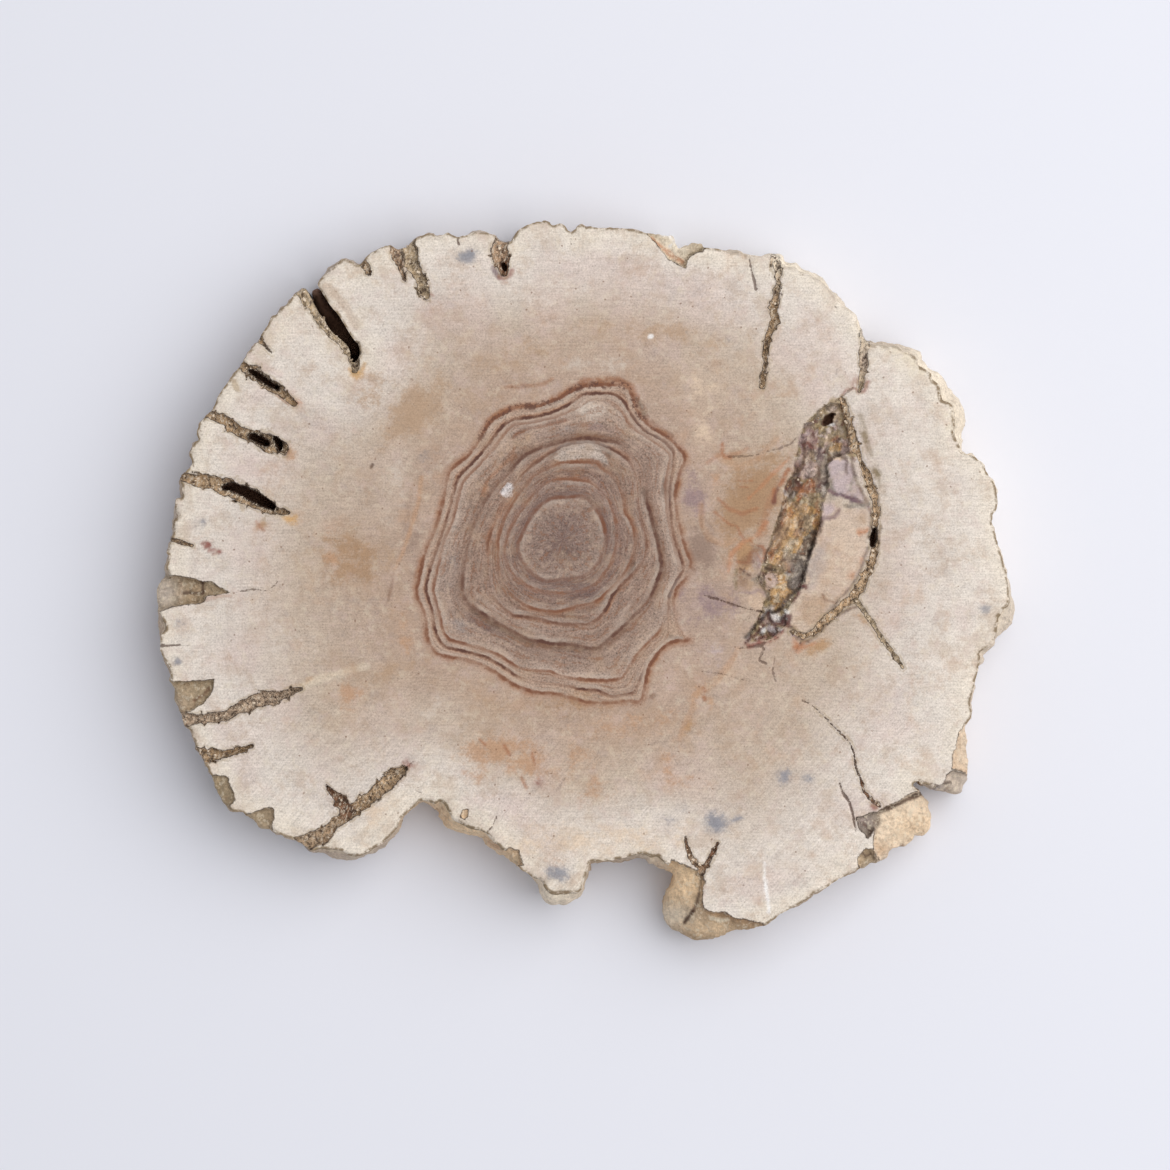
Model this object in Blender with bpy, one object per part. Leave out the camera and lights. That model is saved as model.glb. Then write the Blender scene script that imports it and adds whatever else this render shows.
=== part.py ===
"""Petrified wood slice: one stone slab sawn across a log, with its knot, shrinkage cracks and chipped rim."""

import math

import bmesh
import bpy
from mathutils import Vector, noise

MM = 0.001

# Overall size of the slab, in millimetres as are all the lists below
THICKNESS = 24.0
ABOVE_FACE = 3.0

# The wall: each row's height as a share of the thickness, and how much of the rim's bulge it has
WALL_ROWS = (
    (1.0, 0.0), (0.955, 0.3), (0.74, 0.85), (0.46, 1.0), (0.2, 0.8), (0.03, 0.35), (0.0, 0.0),
)
BASE_INSET = 0.6

# Lumps on the broken wall: how far they stand out, how close they come, and how much they run up the wall
WALL_LUMP = 0.6
LUMP_SCALE = 0.11
LUMP_LENGTHWAYS = 0.6
NORMAL_REACH = 3.5

# The edge of the sawn face, counter-clockwise from the west: x, y, and how far the rock bulges out below it
RIM = (
    # West edge, down to the south-west chips
    (-117.8, 28.3, 1.0), (-117.3, 24.4, 0.8), (-119.3, 23.6, 0.6), (-119.4, 20.5, 0.9),
    (-118.2, 18.6, 2.0), (-119.8, 17.3, 1.0), (-119.8, 14.0, 1.2), (-120.5, 12.3, 0.8),
    (-121.2, 10.5, 0.8), (-121.8, 8.5, 0.5), (-121.2, 7.0, 1.0), (-121.8, 3.5, 0.8), (-121.4, 1.8, 1.5),
    (-124.0, 0.0, 0.3), (-125.2, -4.0, 0.2), (-124.6, -8.0, 0.5), (-123.7, -9.8, 1.5),
    (-122.3, -12.0, 2.8), (-122.0, -14.0, 2.8), (-123.7, -15.6, 0.8), (-124.0, -18.5, 0.5),
    (-123.5, -21.0, 0.3), (-122.5, -23.3, 0.5), (-121.0, -25.5, 1.2), (-120.9, -28.5, 0.6),
    (-120.0, -31.0, 0.4), (-119.0, -35.0, 0.4), (-118.0, -38.0, 0.4), (-117.2, -41.0, 0.4),
    (-115.2, -43.3, 0.6), (-114.5, -45.5, 0.8), (-113.3, -47.5, 0.6), (-112.6, -49.5, 0.5),
    (-111.3, -52.0, 0.5), (-109.8, -54.8, 0.6), (-109.0, -57.0, 0.5), (-107.8, -60.5, 0.5),
    (-105.5, -64.0, 0.6), (-102.8, -66.8, 0.6), (-99.5, -67.3, 0.6), (-97.8, -68.5, 0.6),
    (-95.5, -71.0, 0.4), (-92.3, -72.2, 0.3), (-90.0, -73.0, 0.8), (-87.5, -74.0, 0.8),
    (-84.5, -75.3, 0.4), (-81.5, -77.3, 0.6), (-79.5, -78.3, 0.8), (-77.0, -77.3, 2.2),
    (-73.0, -77.8, 3.2), (-70.0, -79.0, 2.8), (-67.3, -79.8, 1.8), (-65.0, -79.3, 1.3),
    (-62.5, -77.8, 1.5), (-59.5, -76.0, 1.2), (-57.0, -74.0, 1.2), (-55.0, -71.8, 1.0),
    (-54.3, -69.7, 0.8), (-52.3, -67.3, 0.5), (-50.3, -65.7, 0.5),
    # South edge: the shallow bay, the pointed foot and the square notch
    (-48.5, -64.1, 0.8), (-46.0, -64.1, 1.8), (-44.3, -64.4, 2.2), (-42.6, -63.7, 3.5),
    (-41.0, -65.2, 3.5), (-39.5, -67.6, 3.5), (-38.0, -69.3, 3.3), (-35.5, -71.0, 3.0),
    (-32.5, -71.6, 3.0), (-29.5, -73.0, 2.5), (-27.5, -75.0, 2.5), (-24.5, -77.5, 2.3),
    (-22.0, -79.5, 1.5), (-20.2, -82.3, 0.8), (-18.5, -84.4, 0.4), (-15.5, -86.2, 0.6),
    (-13.5, -86.8, 2.0), (-12.0, -88.8, 2.5), (-10.5, -90.2, 4.0), (-8.0, -90.4, 4.3),
    (-5.0, -90.3, 3.5), (-2.5, -90.0, 1.3), (-1.0, -88.3, 0.6), (-0.3, -85.5, 0.5), (0.2, -83.0, 0.4),
    (1.5, -81.2, 1.0), (4.0, -81.5, 0.8), (7.5, -81.1, 1.2), (11.0, -80.5, 1.6), (13.3, -79.5, 2.0),
    (16.0, -79.1, 2.2), (18.5, -79.7, 2.4), (21.5, -80.5, 3.0),
    # The south lobe and the long south-east edge
    (25.5, -85.8, 0.4), (24.0, -89.5, 0.4), (22.6, -92.5, 0.4), (22.2, -95.5, 0.4), (22.8, -98.0, 0.4),
    (24.3, -100.3, 0.4), (27.0, -102.2, 0.4), (30.5, -103.6, 0.4), (33.5, -104.1, 0.4),
    (37.0, -103.2, 0.4), (42.0, -102.0, 0.4), (47.0, -101.0, 0.4), (50.5, -100.2, 0.5),
    (53.0, -98.6, 0.8), (56.5, -96.6, 1.0), (60.0, -94.6, 0.8), (63.5, -92.6, 0.8), (67.0, -90.0, 0.8),
    (71.0, -87.8, 0.7), (75.0, -85.6, 0.7), (78.5, -83.7, 0.8), (81.5, -82.0, 1.0), (84.5, -81.2, 0.6),
    (87.0, -80.2, 0.4), (88.2, -78.3, 0.4), (90.5, -77.5, 0.4), (93.5, -76.6, 0.4), (95.0, -75.2, 0.4),
    (95.6, -73.8, 0.4), (97.5, -74.0, 0.4), (99.0, -72.8, 0.4), (99.8, -70.0, 0.4), (99.5, -67.0, 0.4),
    (98.5, -64.3, 0.4), (97.3, -62.2, 0.4), (95.6, -60.6, 0.3), (94.6, -59.6, 0.2), (95.2, -58.6, 0.2),
    (96.5, -58.2, 0.3), (97.2, -58.9, 0.4), (99.0, -59.3, 0.4), (101.5, -60.1, 0.4),
    (103.5, -60.6, 0.4), (105.5, -61.3, 0.4), (107.3, -61.6, 0.4), (108.8, -60.6, 0.4),
    (109.7, -58.6, 0.4), (110.2, -57.0, 0.4), (110.8, -55.0, 0.4), (110.7, -53.0, 0.4),
    # East edge, up to the bulging flakes on the shoulder
    (110.2, -50.5, 0.4), (110.4, -47.0, 0.4), (110.2, -44.5, 0.4), (109.8, -42.5, 0.4),
    (110.8, -40.8, 0.4), (111.7, -38.3, 0.4), (111.3, -35.0, 0.5), (111.8, -32.0, 0.5),
    (112.6, -29.0, 0.5), (113.5, -26.0, 0.5), (113.9, -23.0, 1.8), (113.8, -21.0, 2.3),
    (114.6, -20.2, 1.8), (116.2, -19.3, 1.0), (117.6, -17.8, 0.6), (118.5, -16.0, 1.5),
    (118.6, -13.5, 3.5), (118.8, -11.0, 5.0), (119.6, -9.0, 5.0), (120.6, -8.0, 4.5),
    (121.6, -7.4, 3.5), (122.4, -5.8, 2.4), (122.6, -3.5, 1.8), (122.3, -1.0, 1.2), (121.8, 1.5, 0.8),
    (121.0, 4.5, 0.6), (120.2, 7.3, 0.5), (119.2, 9.6, 0.5), (119.0, 11.5, 0.5), (118.3, 14.0, 0.5),
    (117.8, 16.5, 0.8), (117.3, 18.8, 1.0), (118.6, 20.3, 0.5), (119.2, 23.0, 0.3), (118.8, 26.0, 0.3),
    (118.0, 28.5, 0.3), (117.0, 30.0, 0.4), (115.5, 32.2, 0.4), (114.0, 34.5, 0.4), (112.5, 36.1, 0.4),
    (110.0, 37.2, 0.5), (108.3, 37.8, 0.8), (107.6, 39.5, 1.5), (106.4, 42.8, 3.2), (106.1, 46.0, 4.3),
    (106.0, 49.5, 4.0), (104.8, 51.6, 3.8), (102.6, 52.8, 4.5), (102.0, 56.3, 3.0), (100.1, 58.2, 3.2),
    (99.8, 60.2, 2.0), (98.3, 61.4, 1.5), (95.8, 62.2, 3.0), (95.8, 64.0, 2.5), (94.4, 65.6, 2.2),
    (91.5, 67.2, 1.8), (88.0, 68.0, 1.5), (86.0, 68.4, 1.2), (83.0, 68.3, 1.4), (81.4, 69.0, 1.0),
    # North edge, westwards from the valley beside the knot
    (80.8, 69.8, 0.3), (79.4, 71.5, 0.8), (78.2, 74.0, 1.3), (78.2, 76.3, 0.5), (76.3, 78.5, 0.5),
    (73.8, 80.2, 1.5), (72.0, 81.8, 1.8), (70.8, 83.8, 1.2), (68.5, 86.0, 1.6), (66.0, 88.0, 1.8),
    (62.5, 89.3, 2.0), (59.0, 90.8, 2.0), (57.0, 91.6, 2.2), (55.8, 92.8, 2.3), (53.8, 94.4, 0.8),
    (51.0, 94.5, 0.4), (48.0, 94.7, 0.4), (45.5, 95.0, 0.9), (43.0, 95.2, 1.2), (41.0, 94.8, 1.6),
    (39.5, 96.2, 0.3), (36.0, 96.5, 0.2), (34.0, 96.7, 0.4), (33.0, 98.2, 0.3), (30.7, 98.3, 0.3),
    (28.5, 97.2, 0.3), (26.3, 96.9, 0.3), (25.6, 98.5, 0.3), (25.0, 99.9, 0.3), (23.2, 100.4, 0.3),
    (20.0, 100.8, 0.3), (17.5, 100.9, 0.3), (15.0, 101.4, 0.4), (12.5, 102.2, 0.3), (8.0, 102.5, 0.2),
    (4.0, 102.6, 0.2), (1.0, 103.0, 0.2), (-0.5, 102.6, 0.4), (-2.0, 103.3, 0.2), (-3.4, 102.2, 0.2),
    (-4.7, 101.0, 0.3), (-5.6, 102.2, 0.2), (-7.0, 103.8, 0.3), (-8.5, 103.5, 0.3), (-10.0, 103.2, 0.4),
    (-11.0, 104.1, 0.3), (-13.2, 104.2, 0.3), (-15.5, 103.8, 0.3), (-17.5, 103.0, 0.5),
    (-19.3, 102.3, 0.7), (-20.5, 101.2, 0.7), (-21.3, 99.5, 0.5), (-22.3, 98.5, 0.3),
    (-24.0, 98.3, 0.3), (-25.5, 98.9, 0.3), (-27.0, 100.3, 0.3), (-28.8, 100.8, 0.3),
    (-31.0, 100.9, 0.5), (-33.5, 101.2, 0.4), (-35.5, 100.5, 0.4), (-37.2, 99.8, 0.3),
    (-38.7, 100.6, 0.3), (-40.2, 101.2, 0.2), (-41.5, 100.5, 0.2), (-43.2, 100.2, 0.3),
    (-45.0, 100.6, 0.7), (-47.2, 100.5, 0.6), (-49.3, 99.8, 0.6), (-50.7, 98.8, 0.6),
    (-51.8, 97.2, 0.4), (-53.5, 96.3, 0.3), (-55.0, 96.5, 0.4), (-57.5, 97.2, 0.3), (-59.3, 96.6, 0.5),
    (-61.3, 95.7, 0.5), (-63.0, 95.0, 0.5), (-64.4, 93.6, 0.5), (-65.2, 92.0, 0.3), (-66.8, 91.5, 0.3),
    (-68.3, 92.5, 0.3), (-70.5, 93.5, 0.3), (-72.3, 92.3, 0.8), (-74.0, 90.5, 0.8), (-75.8, 88.9, 0.8),
    (-77.3, 87.6, 0.5), (-78.2, 86.2, 0.3),
    # The long open slot in the north-west, in along its right side and out along its left
    (-77.8, 85.2, 0.0), (-76.2, 82.6, 0.0), (-74.2, 79.6, 0.0), (-72.0, 77.0, 0.0), (-70.2, 74.2, 0.0),
    (-68.2, 70.8, 0.0), (-66.3, 68.5, 0.0), (-65.9, 66.0, 0.0), (-66.6, 64.3, 0.0), (-67.8, 63.4, 0.0),
    (-68.6, 64.3, 0.0), (-68.8, 66.5, 0.0), (-70.0, 68.8, 0.0), (-71.6, 70.3, 0.0), (-73.6, 71.9, 0.0),
    (-75.2, 73.9, 0.0), (-76.5, 76.2, 0.0), (-78.2, 78.4, 0.0), (-79.4, 80.6, 0.0), (-80.2, 82.5, 0.0),
    (-81.2, 84.2, 0.0),
    # North-west edge, scalloped between the radial cracks
    (-82.2, 84.7, 0.4), (-84.0, 83.8, 0.5), (-85.8, 82.2, 0.5), (-88.3, 79.3, 0.5), (-89.8, 77.6, 0.5),
    (-91.6, 76.4, 0.4), (-92.6, 74.5, 0.4), (-93.8, 72.3, 0.4), (-95.0, 70.3, 0.4), (-96.0, 69.2, 0.3),
    (-96.8, 68.1, 0.3), (-98.0, 66.6, 0.3), (-99.0, 64.8, 0.3), (-100.3, 63.3, 0.3),
    (-101.3, 62.0, 0.3), (-102.2, 60.6, 0.4), (-103.6, 58.4, 0.4), (-104.8, 56.8, 0.4),
    (-106.0, 55.3, 0.4), (-107.4, 53.6, 0.4), (-107.9, 51.5, 0.3), (-108.2, 49.8, 0.3),
    (-110.0, 48.5, 0.3), (-110.8, 47.3, 0.3), (-111.8, 46.0, 0.3), (-112.9, 44.6, 0.3),
    (-113.3, 42.5, 0.2), (-112.6, 40.9, 0.3), (-114.2, 40.0, 0.3), (-114.9, 38.0, 0.3),
    (-115.1, 35.5, 0.3), (-115.0, 33.3, 0.4), (-116.3, 32.0, 0.4), (-117.6, 30.8, 0.4),
    (-118.2, 29.4, 0.4),
)

# Cracks in the face, each with its depth, whether it runs out through the rim, and its line: x, y, half width
CRACKS = {
    "slot_lining": (1.4, True, (
        (-81.5, 83.6, 2.2), (-78.6, 79.4, 2.2), (-75.6, 75.0, 2.4), (-73.2, 72.2, 2.6),
        (-70.6, 69.6, 2.1), (-68.3, 66.5, 2.2), (-67.3, 63.2, 2.1), (-67.2, 61.3, 1.2),
    )),
    "tooth_crack": (1.3, True, (
        (-101.0, 62.8, 1.3), (-97.6, 61.0, 1.7), (-94.0, 58.8, 1.7), (-90.6, 56.5, 1.4),
        (-86.8, 54.1, 0.7),
    )),
    "upper_nick": (1.0, True, ((-95.6, 70.6, 0.8), (-93.5, 68.5, 0.7), (-91.5, 66.2, 0.4))),
    "upper_west_crack": (1.5, True, (
        (-109.6, 48.4, 1.1), (-106.0, 47.0, 1.4), (-103.0, 44.9, 1.6), (-99.0, 42.8, 1.6),
        (-95.0, 41.0, 2.1), (-91.0, 39.8, 2.6), (-88.6, 38.8, 1.6),
    )),
    "middle_west_crack": (1.5, True, (
        (-117.6, 30.1, 1.5), (-112.0, 29.0, 1.9), (-108.0, 28.5, 1.8), (-103.0, 27.0, 2.0),
        (-98.0, 24.6, 2.3), (-93.0, 22.1, 1.9), (-89.6, 20.6, 0.9), (-86.6, 19.8, 0.4),
    )),
    "west_nick": (0.9, True, ((-120.5, 12.1, 0.6), (-117.0, 11.0, 0.5), (-114.5, 10.2, 0.3))),
    "lower_west_crack": (2.0, True, (
        (-116.6, -40.4, 2.2), (-110.0, -39.8, 1.4), (-105.0, -39.0, 1.6), (-101.0, -37.0, 1.9),
        (-97.0, -35.1, 2.4), (-92.0, -34.0, 1.8), (-87.0, -32.5, 1.2), (-83.0, -31.3, 0.5),
    )),
    "short_west_crack": (2.0, True, (
        (-112.2, -50.2, 1.9), (-106.5, -50.5, 1.4), (-102.0, -49.5, 1.1), (-97.3, -47.8, 0.6),
    )),
    "south_west_crack": (2.2, True, (
        (-82.6, -77.0, 2.6), (-78.0, -74.0, 2.3), (-75.0, -72.0, 1.8), (-72.0, -69.5, 1.6),
        (-68.0, -67.0, 1.5), (-65.0, -64.5, 1.7), (-62.0, -62.0, 1.9), (-59.0, -59.5, 2.1),
        (-56.8, -57.2, 2.2), (-54.5, -55.6, 1.3), (-52.5, -54.5, 0.6),
    )),
    "south_west_branch": (1.4, False, (
        (-70.0, -67.2, 1.5), (-71.5, -64.0, 1.3), (-73.5, -61.8, 0.8), (-75.6, -59.2, 0.3),
    )),
    "notch_crack": (1.2, True, (
        (32.6, -84.9, 1.4), (33.6, -83.6, 1.1), (35.4, -80.8, 0.6), (36.8, -78.3, 0.6),
        (38.0, -76.0, 0.3),
    )),
    "notch_branch": (1.0, False, (
        (33.4, -83.4, 0.7), (31.5, -82.0, 0.8), (30.0, -80.0, 0.9), (29.0, -77.0, 0.5),
        (28.5, -74.3, 0.3),
    )),
    "south_east_crack": (1.0, False, (
        (84.8, -65.2, 1.3), (82.0, -63.0, 1.0), (80.3, -61.0, 0.7), (79.5, -57.5, 0.6),
        (78.0, -54.0, 0.5), (77.5, -50.0, 0.4), (76.3, -47.0, 0.4), (74.0, -44.5, 0.4),
        (70.0, -40.5, 0.35), (66.5, -37.0, 0.25),
    )),
    "knot_rim_groove": (1.6, False, (
        (74.4, 52.4, 1.3), (75.1, 48.2, 1.8), (77.3, 41.2, 1.8), (79.3, 34.6, 1.8), (81.7, 29.3, 1.8),
        (83.3, 24.0, 1.7), (83.9, 19.8, 1.6), (83.6, 15.7, 1.5), (83.2, 8.0, 1.6), (82.0, 3.8, 1.8),
        (79.7, -0.9, 2.0), (76.7, -5.0, 2.0), (72.2, -8.6, 1.9), (68.6, -11.5, 1.7), (65.7, -14.8, 1.5),
        (62.7, -16.2, 1.2), (59.2, -14.6, 0.9),
    )),
    "knot_branch": (0.8, False, (
        (78.4, -6.2, 1.0), (81.6, -10.4, 0.9), (84.6, -15.1, 0.9), (88.2, -20.2, 0.8),
        (91.7, -25.2, 0.5),
    )),
    "valley_crack": (1.2, True, (
        (80.9, 69.8, 1.3), (80.3, 66.0, 1.2), (80.2, 61.0, 1.1), (79.5, 57.0, 0.9), (79.0, 55.2, 0.5),
    )),
    "north_crack": (1.3, True, (
        (54.4, 94.0, 1.0), (55.5, 90.0, 1.2), (55.5, 86.0, 0.9), (54.5, 82.0, 1.0), (54.3, 79.0, 1.2),
        (54.4, 75.4, 1.6), (52.6, 71.0, 0.8), (51.4, 66.0, 0.9), (51.9, 63.5, 0.9), (51.0, 60.0, 0.7),
        (50.7, 56.5, 0.5),
    )),
    "tooth_notch": (1.2, True, ((-65.2, 92.4, 1.0), (-63.5, 90.5, 0.9), (-62.8, 88.7, 0.4))),
    "left_wedge_crack": (1.2, True, ((-55.2, 96.4, 2.0), (-54.5, 92.0, 0.9), (-53.0, 87.5, 0.4))),
    "right_wedge_crack": (1.5, True, (
        (-51.8, 97.6, 2.0), (-51.0, 92.0, 1.8), (-49.5, 90.0, 1.6), (-48.5, 87.0, 1.5),
        (-47.4, 84.0, 1.8), (-46.5, 82.6, 0.9),
    )),
    "red_crack": (1.5, True, (
        (-24.8, 98.8, 2.0), (-25.8, 96.0, 2.3), (-25.0, 93.0, 2.4), (-24.3, 91.0, 1.5),
        (-24.4, 89.3, 0.7),
    )),
}

# Slots that open deep into the stone: the depth and the line, as above
DEEP_SLOTS = {
    "tooth_slot": (16.0, ((-98.5, 61.3, 0.6), (-96.5, 60.1, 0.8), (-94.0, 58.6, 0.8), (-90.4, 56.4, 0.4))),
    "west_slot_outer": (18.0, ((-97.4, 42.0, 0.7), (-95.3, 41.1, 1.0), (-93.3, 40.1, 0.9))),
    "west_slot_inner": (14.0, ((-90.4, 41.4, 0.6), (-89.4, 40.0, 0.9), (-89.1, 38.4, 0.6))),
    "middle_slot": (21.0, (
        (-105.4, 27.2, 0.5), (-103.0, 27.3, 1.0), (-100.0, 26.2, 1.2), (-96.5, 24.4, 1.2),
        (-93.3, 22.7, 1.2), (-91.1, 21.5, 0.7),
    )),
    "knot_pit": (9.0, ((69.0, 45.9, 0.7), (70.1, 46.9, 1.2), (71.2, 48.2, 0.6))),
    "knot_slot": (12.0, ((83.4, 15.0, 0.4), (83.0, 12.5, 0.8), (82.7, 10.4, 0.5))),
    "red_crack_hole": (7.0, ((-24.3, 92.0, 0.5), (-24.0, 91.2, 0.8), (-23.9, 90.4, 0.5))),
}

# Flakes broken from the face and the rim: x, y and the depth of the broken floor at that corner
CHIPS = {
    "west_chip": (
        (-103.6, -3.4, 0.8), (-107.0, -1.6, 1.2), (-109.0, -0.2, 1.5), (-111.0, -0.3, 2.5),
        (-113.0, 0.5, 3.0), (-115.5, 1.0, 3.5), (-119.0, 1.5, 4.0), (-121.6, 1.9, 4.5),
        (-127.0, 3.0, 6.0), (-130.0, -4.0, 7.0), (-128.0, -9.5, 6.0), (-123.2, -8.8, 4.5),
        (-120.5, -7.6, 4.0), (-115.0, -7.0, 3.5), (-111.0, -6.0, 2.5), (-110.6, -4.2, 1.8),
        (-106.0, -4.0, 1.2),
    ),
    "lower_west_chip": (
        (-108.2, -28.6, 1.5), (-115.0, -29.0, 2.5), (-120.8, -29.0, 3.0), (-125.0, -30.5, 5.0),
        (-122.0, -39.2, 5.0), (-116.6, -38.4, 2.5), (-114.0, -37.0, 2.0), (-111.0, -35.4, 1.8),
        (-109.3, -33.3, 1.5), (-108.4, -31.0, 1.5),
    ),
    "south_west_chip": (
        (-104.0, -57.0, 1.5), (-107.0, -56.4, 1.5), (-112.5, -56.6, 3.5), (-112.0, -63.0, 4.5),
        (-106.5, -68.5, 4.5), (-101.8, -63.5, 1.5), (-103.2, -59.8, 1.2),
    ),
    "south_west_flake": (
        (-91.0, -66.2, 1.5), (-92.5, -65.8, 1.5), (-95.0, -66.3, 1.8), (-97.5, -67.2, 2.0),
        (-101.5, -69.5, 4.0), (-97.0, -75.0, 4.0), (-92.0, -75.0, 3.0), (-91.0, -69.3, 1.5),
    ),
    "bay_pit": (
        (-38.4, -71.0, 1.2), (-36.0, -66.2, 1.0), (-34.0, -67.3, 1.0), (-36.0, -71.5, 1.2),
    ),
    "foot_chip": (
        (-24.6, -79.6, 2.0), (-23.0, -77.6, 1.4), (-19.5, -78.0, 1.2), (-18.6, -82.4, 2.0),
        (-22.6, -83.0, 2.4),
    ),
    "south_facet": (
        (24.4, -80.4, 1.0), (28.5, -82.5, 1.0), (31.5, -83.8, 1.0), (33.6, -84.6, 1.2),
        (34.2, -87.0, 1.6), (33.5, -90.0, 2.0), (33.2, -93.0, 2.2), (34.0, -95.0, 1.8),
        (36.5, -96.0, 1.4), (40.0, -96.0, 1.2), (43.0, -97.6, 1.0), (46.0, -98.3, 0.9),
        (51.0, -99.0, 0.8), (51.5, -102.5, 8.0), (42.0, -105.0, 11.0), (34.0, -107.0, 13.0),
        (25.0, -103.5, 14.0), (19.5, -99.0, 15.0), (19.5, -93.0, 14.0), (22.5, -86.0, 10.0),
    ),
    "south_east_ledge": (
        (84.5, -66.5, 2.5), (88.0, -64.8, 3.0), (91.5, -63.0, 3.5), (95.0, -61.2, 5.0),
        (98.5, -60.2, 8.0), (103.0, -66.0, 10.0), (102.5, -76.5, 12.0), (95.0, -80.0, 12.0),
        (88.0, -83.5, 10.0), (83.7, -79.8, 4.0), (83.0, -76.0, 3.0), (83.2, -72.5, 2.5),
        (84.2, -69.5, 2.5),
    ),
    "grey_pit": (
        (78.0, -68.7, 1.0), (80.5, -68.3, 1.2), (82.5, -67.0, 1.5), (84.9, -66.9, 2.2),
        (84.7, -70.0, 2.2), (83.5, -72.3, 2.0), (81.5, -74.3, 1.5), (80.0, -73.0, 1.2),
        (78.5, -71.0, 1.0),
    ),
    "edge_pit": (
        (78.4, -80.6, 1.5), (79.4, -79.0, 1.4), (81.0, -77.5, 1.3), (83.6, -78.2, 1.8),
        (84.2, -82.6, 3.0), (79.6, -85.4, 3.0),
    ),
    "grey_corner": (
        (104.3, -56.0, 1.5), (103.3, -58.8, 1.6), (101.2, -60.0, 3.0), (100.5, -63.0, 4.5),
        (110.0, -64.5, 5.0), (113.5, -57.0, 4.0), (106.0, -55.0, 1.5),
    ),
    "east_flake": (
        (109.4, -41.4, 1.0), (108.0, -44.0, 1.0), (107.0, -47.0, 1.2), (106.2, -50.5, 1.5),
        (105.8, -54.4, 1.6), (114.0, -56.4, 5.0), (114.0, -50.0, 5.0), (113.4, -42.0, 3.5),
    ),
    "north_chip": (
        (17.0, 102.4, 1.6), (18.0, 99.6, 0.9), (20.0, 98.0, 1.2), (22.0, 95.5, 1.5), (23.5, 93.3, 1.6),
        (26.5, 91.5, 1.6), (28.8, 90.3, 1.2), (29.2, 93.0, 1.5), (30.5, 94.5, 1.5), (33.7, 95.7, 1.2),
        (35.0, 99.5, 2.6), (30.0, 101.0, 3.6), (25.0, 103.0, 4.0),
    ),
}

# The knot's crumbled pocket: its outline, and the depth and roughness of its floor
KNOT_POCKET = (
    (66.9, 49.4), (62.7, 44.7), (61.5, 41.1), (59.7, 32.2), (56.8, 25.1), (55.6, 19.8), (52.1, 9.2),
    (50.9, 5.0), (48.9, 0.3), (52.1, -3.2), (50.9, -8.6), (47.3, -14.5), (46.0, -17.6), (53.2, -17.3),
    (57.6, -13.2), (58.6, -8.0), (62.7, -0.9), (63.9, 5.0), (65.7, 10.9), (68.0, 16.9), (68.6, 22.8),
    (70.4, 27.5), (69.8, 32.8), (71.6, 35.8), (76.6, 36.9), (75.6, 46.5), (74.3, 51.4), (70.4, 52.0),
)
KNOT_DEPTH = 2.0
KNOT_ROUGHNESS = 1.1
KNOT_LUMPS_PER_METRE = 180.0
KNOT_LONGEST_FACET = 4.5
FLOOR_SLACK = 0.01

# A crack or slot narrows to this share of its width at its floor, and widens as it runs out past the rim
CRACK_FLOOR = 0.55
SLOT_FLOOR = 0.7
RIM_OVERRUN = 6.0
MOUTH_WIDENING = 1.2

STONE_COLOUR = (0.62, 0.51, 0.38, 1.0)
STONE_ROUGHNESS = 0.62


def clear_scene():
    for thing in list(bpy.data.objects):
        bpy.data.objects.remove(thing)


def outward_normals(points, reach):
    """The outward direction at each point of a closed outline, across a chord so that small jags don't turn it."""
    count = len(points)
    normals = []
    for index in range(count):
        back = ahead = index
        gone = 0.0
        while gone < reach:
            gone += math.dist(points[back % count], points[(back - 1) % count])
            back -= 1
        gone = 0.0
        while gone < reach:
            gone += math.dist(points[ahead % count], points[(ahead + 1) % count])
            ahead += 1
        chord = Vector(points[ahead % count]) - Vector(points[back % count])
        normals.append(Vector((chord.y, -chord.x)).normalized())
    return normals


def wall_row(height_share, bulge_share):
    """One closed row of the wall's points, in millimetres."""
    outline = [(x, y) for x, y, _ in RIM]
    normals = outward_normals(outline, NORMAL_REACH)
    height = THICKNESS * height_share
    row = []
    for (x, y, bulge), normal in zip(RIM, normals):
        step = bulge * bulge_share
        rough = bulge > 0.0
        if rough and height_share < 1.0:
            step += WALL_LUMP * noise.noise(Vector((x, y, height * LUMP_LENGTHWAYS)) * LUMP_SCALE)
        if rough and height_share == 0.0:
            step -= BASE_INSET
        row.append(Vector((x + normal.x * step, y + normal.y * step, height)))
    return row


def stone_slab():
    """The slab before anything is broken from it: rows of wall points between two sawn faces."""
    mesh = bmesh.new()
    rows = [[mesh.verts.new(point * MM) for point in wall_row(*row)] for row in WALL_ROWS]
    count = len(RIM)
    for upper, lower in zip(rows, rows[1:]):
        for index in range(count):
            after = (index + 1) % count
            mesh.faces.new((upper[index], lower[index], lower[after], upper[after]))
    mesh.faces.new(rows[0])
    mesh.faces.new(reversed(rows[-1]))
    return mesh


def prism(outline, floor_heights, top_height):
    """A closed cutter: an outline with its own floor height at each corner, flat on top."""
    mesh = bmesh.new()
    floor = [mesh.verts.new((x * MM, y * MM, z * MM)) for (x, y), z in zip(outline, floor_heights)]
    lid = [mesh.verts.new((x * MM, y * MM, top_height * MM)) for x, y in outline]
    count = len(outline)
    for index in range(count):
        after = (index + 1) % count
        mesh.faces.new((floor[index], floor[after], lid[after], lid[index]))
    mesh.faces.new(lid)
    base = mesh.faces.new(floor)
    bmesh.ops.triangulate(mesh, faces=[base])
    bmesh.ops.recalc_face_normals(mesh, faces=mesh.faces)
    return mesh


def chip_cutter(corners):
    outline = [(x, y) for x, y, _ in corners]
    heights = [THICKNESS - depth for _, _, depth in corners]
    return prism(outline, heights, THICKNESS + ABOVE_FACE)


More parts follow.
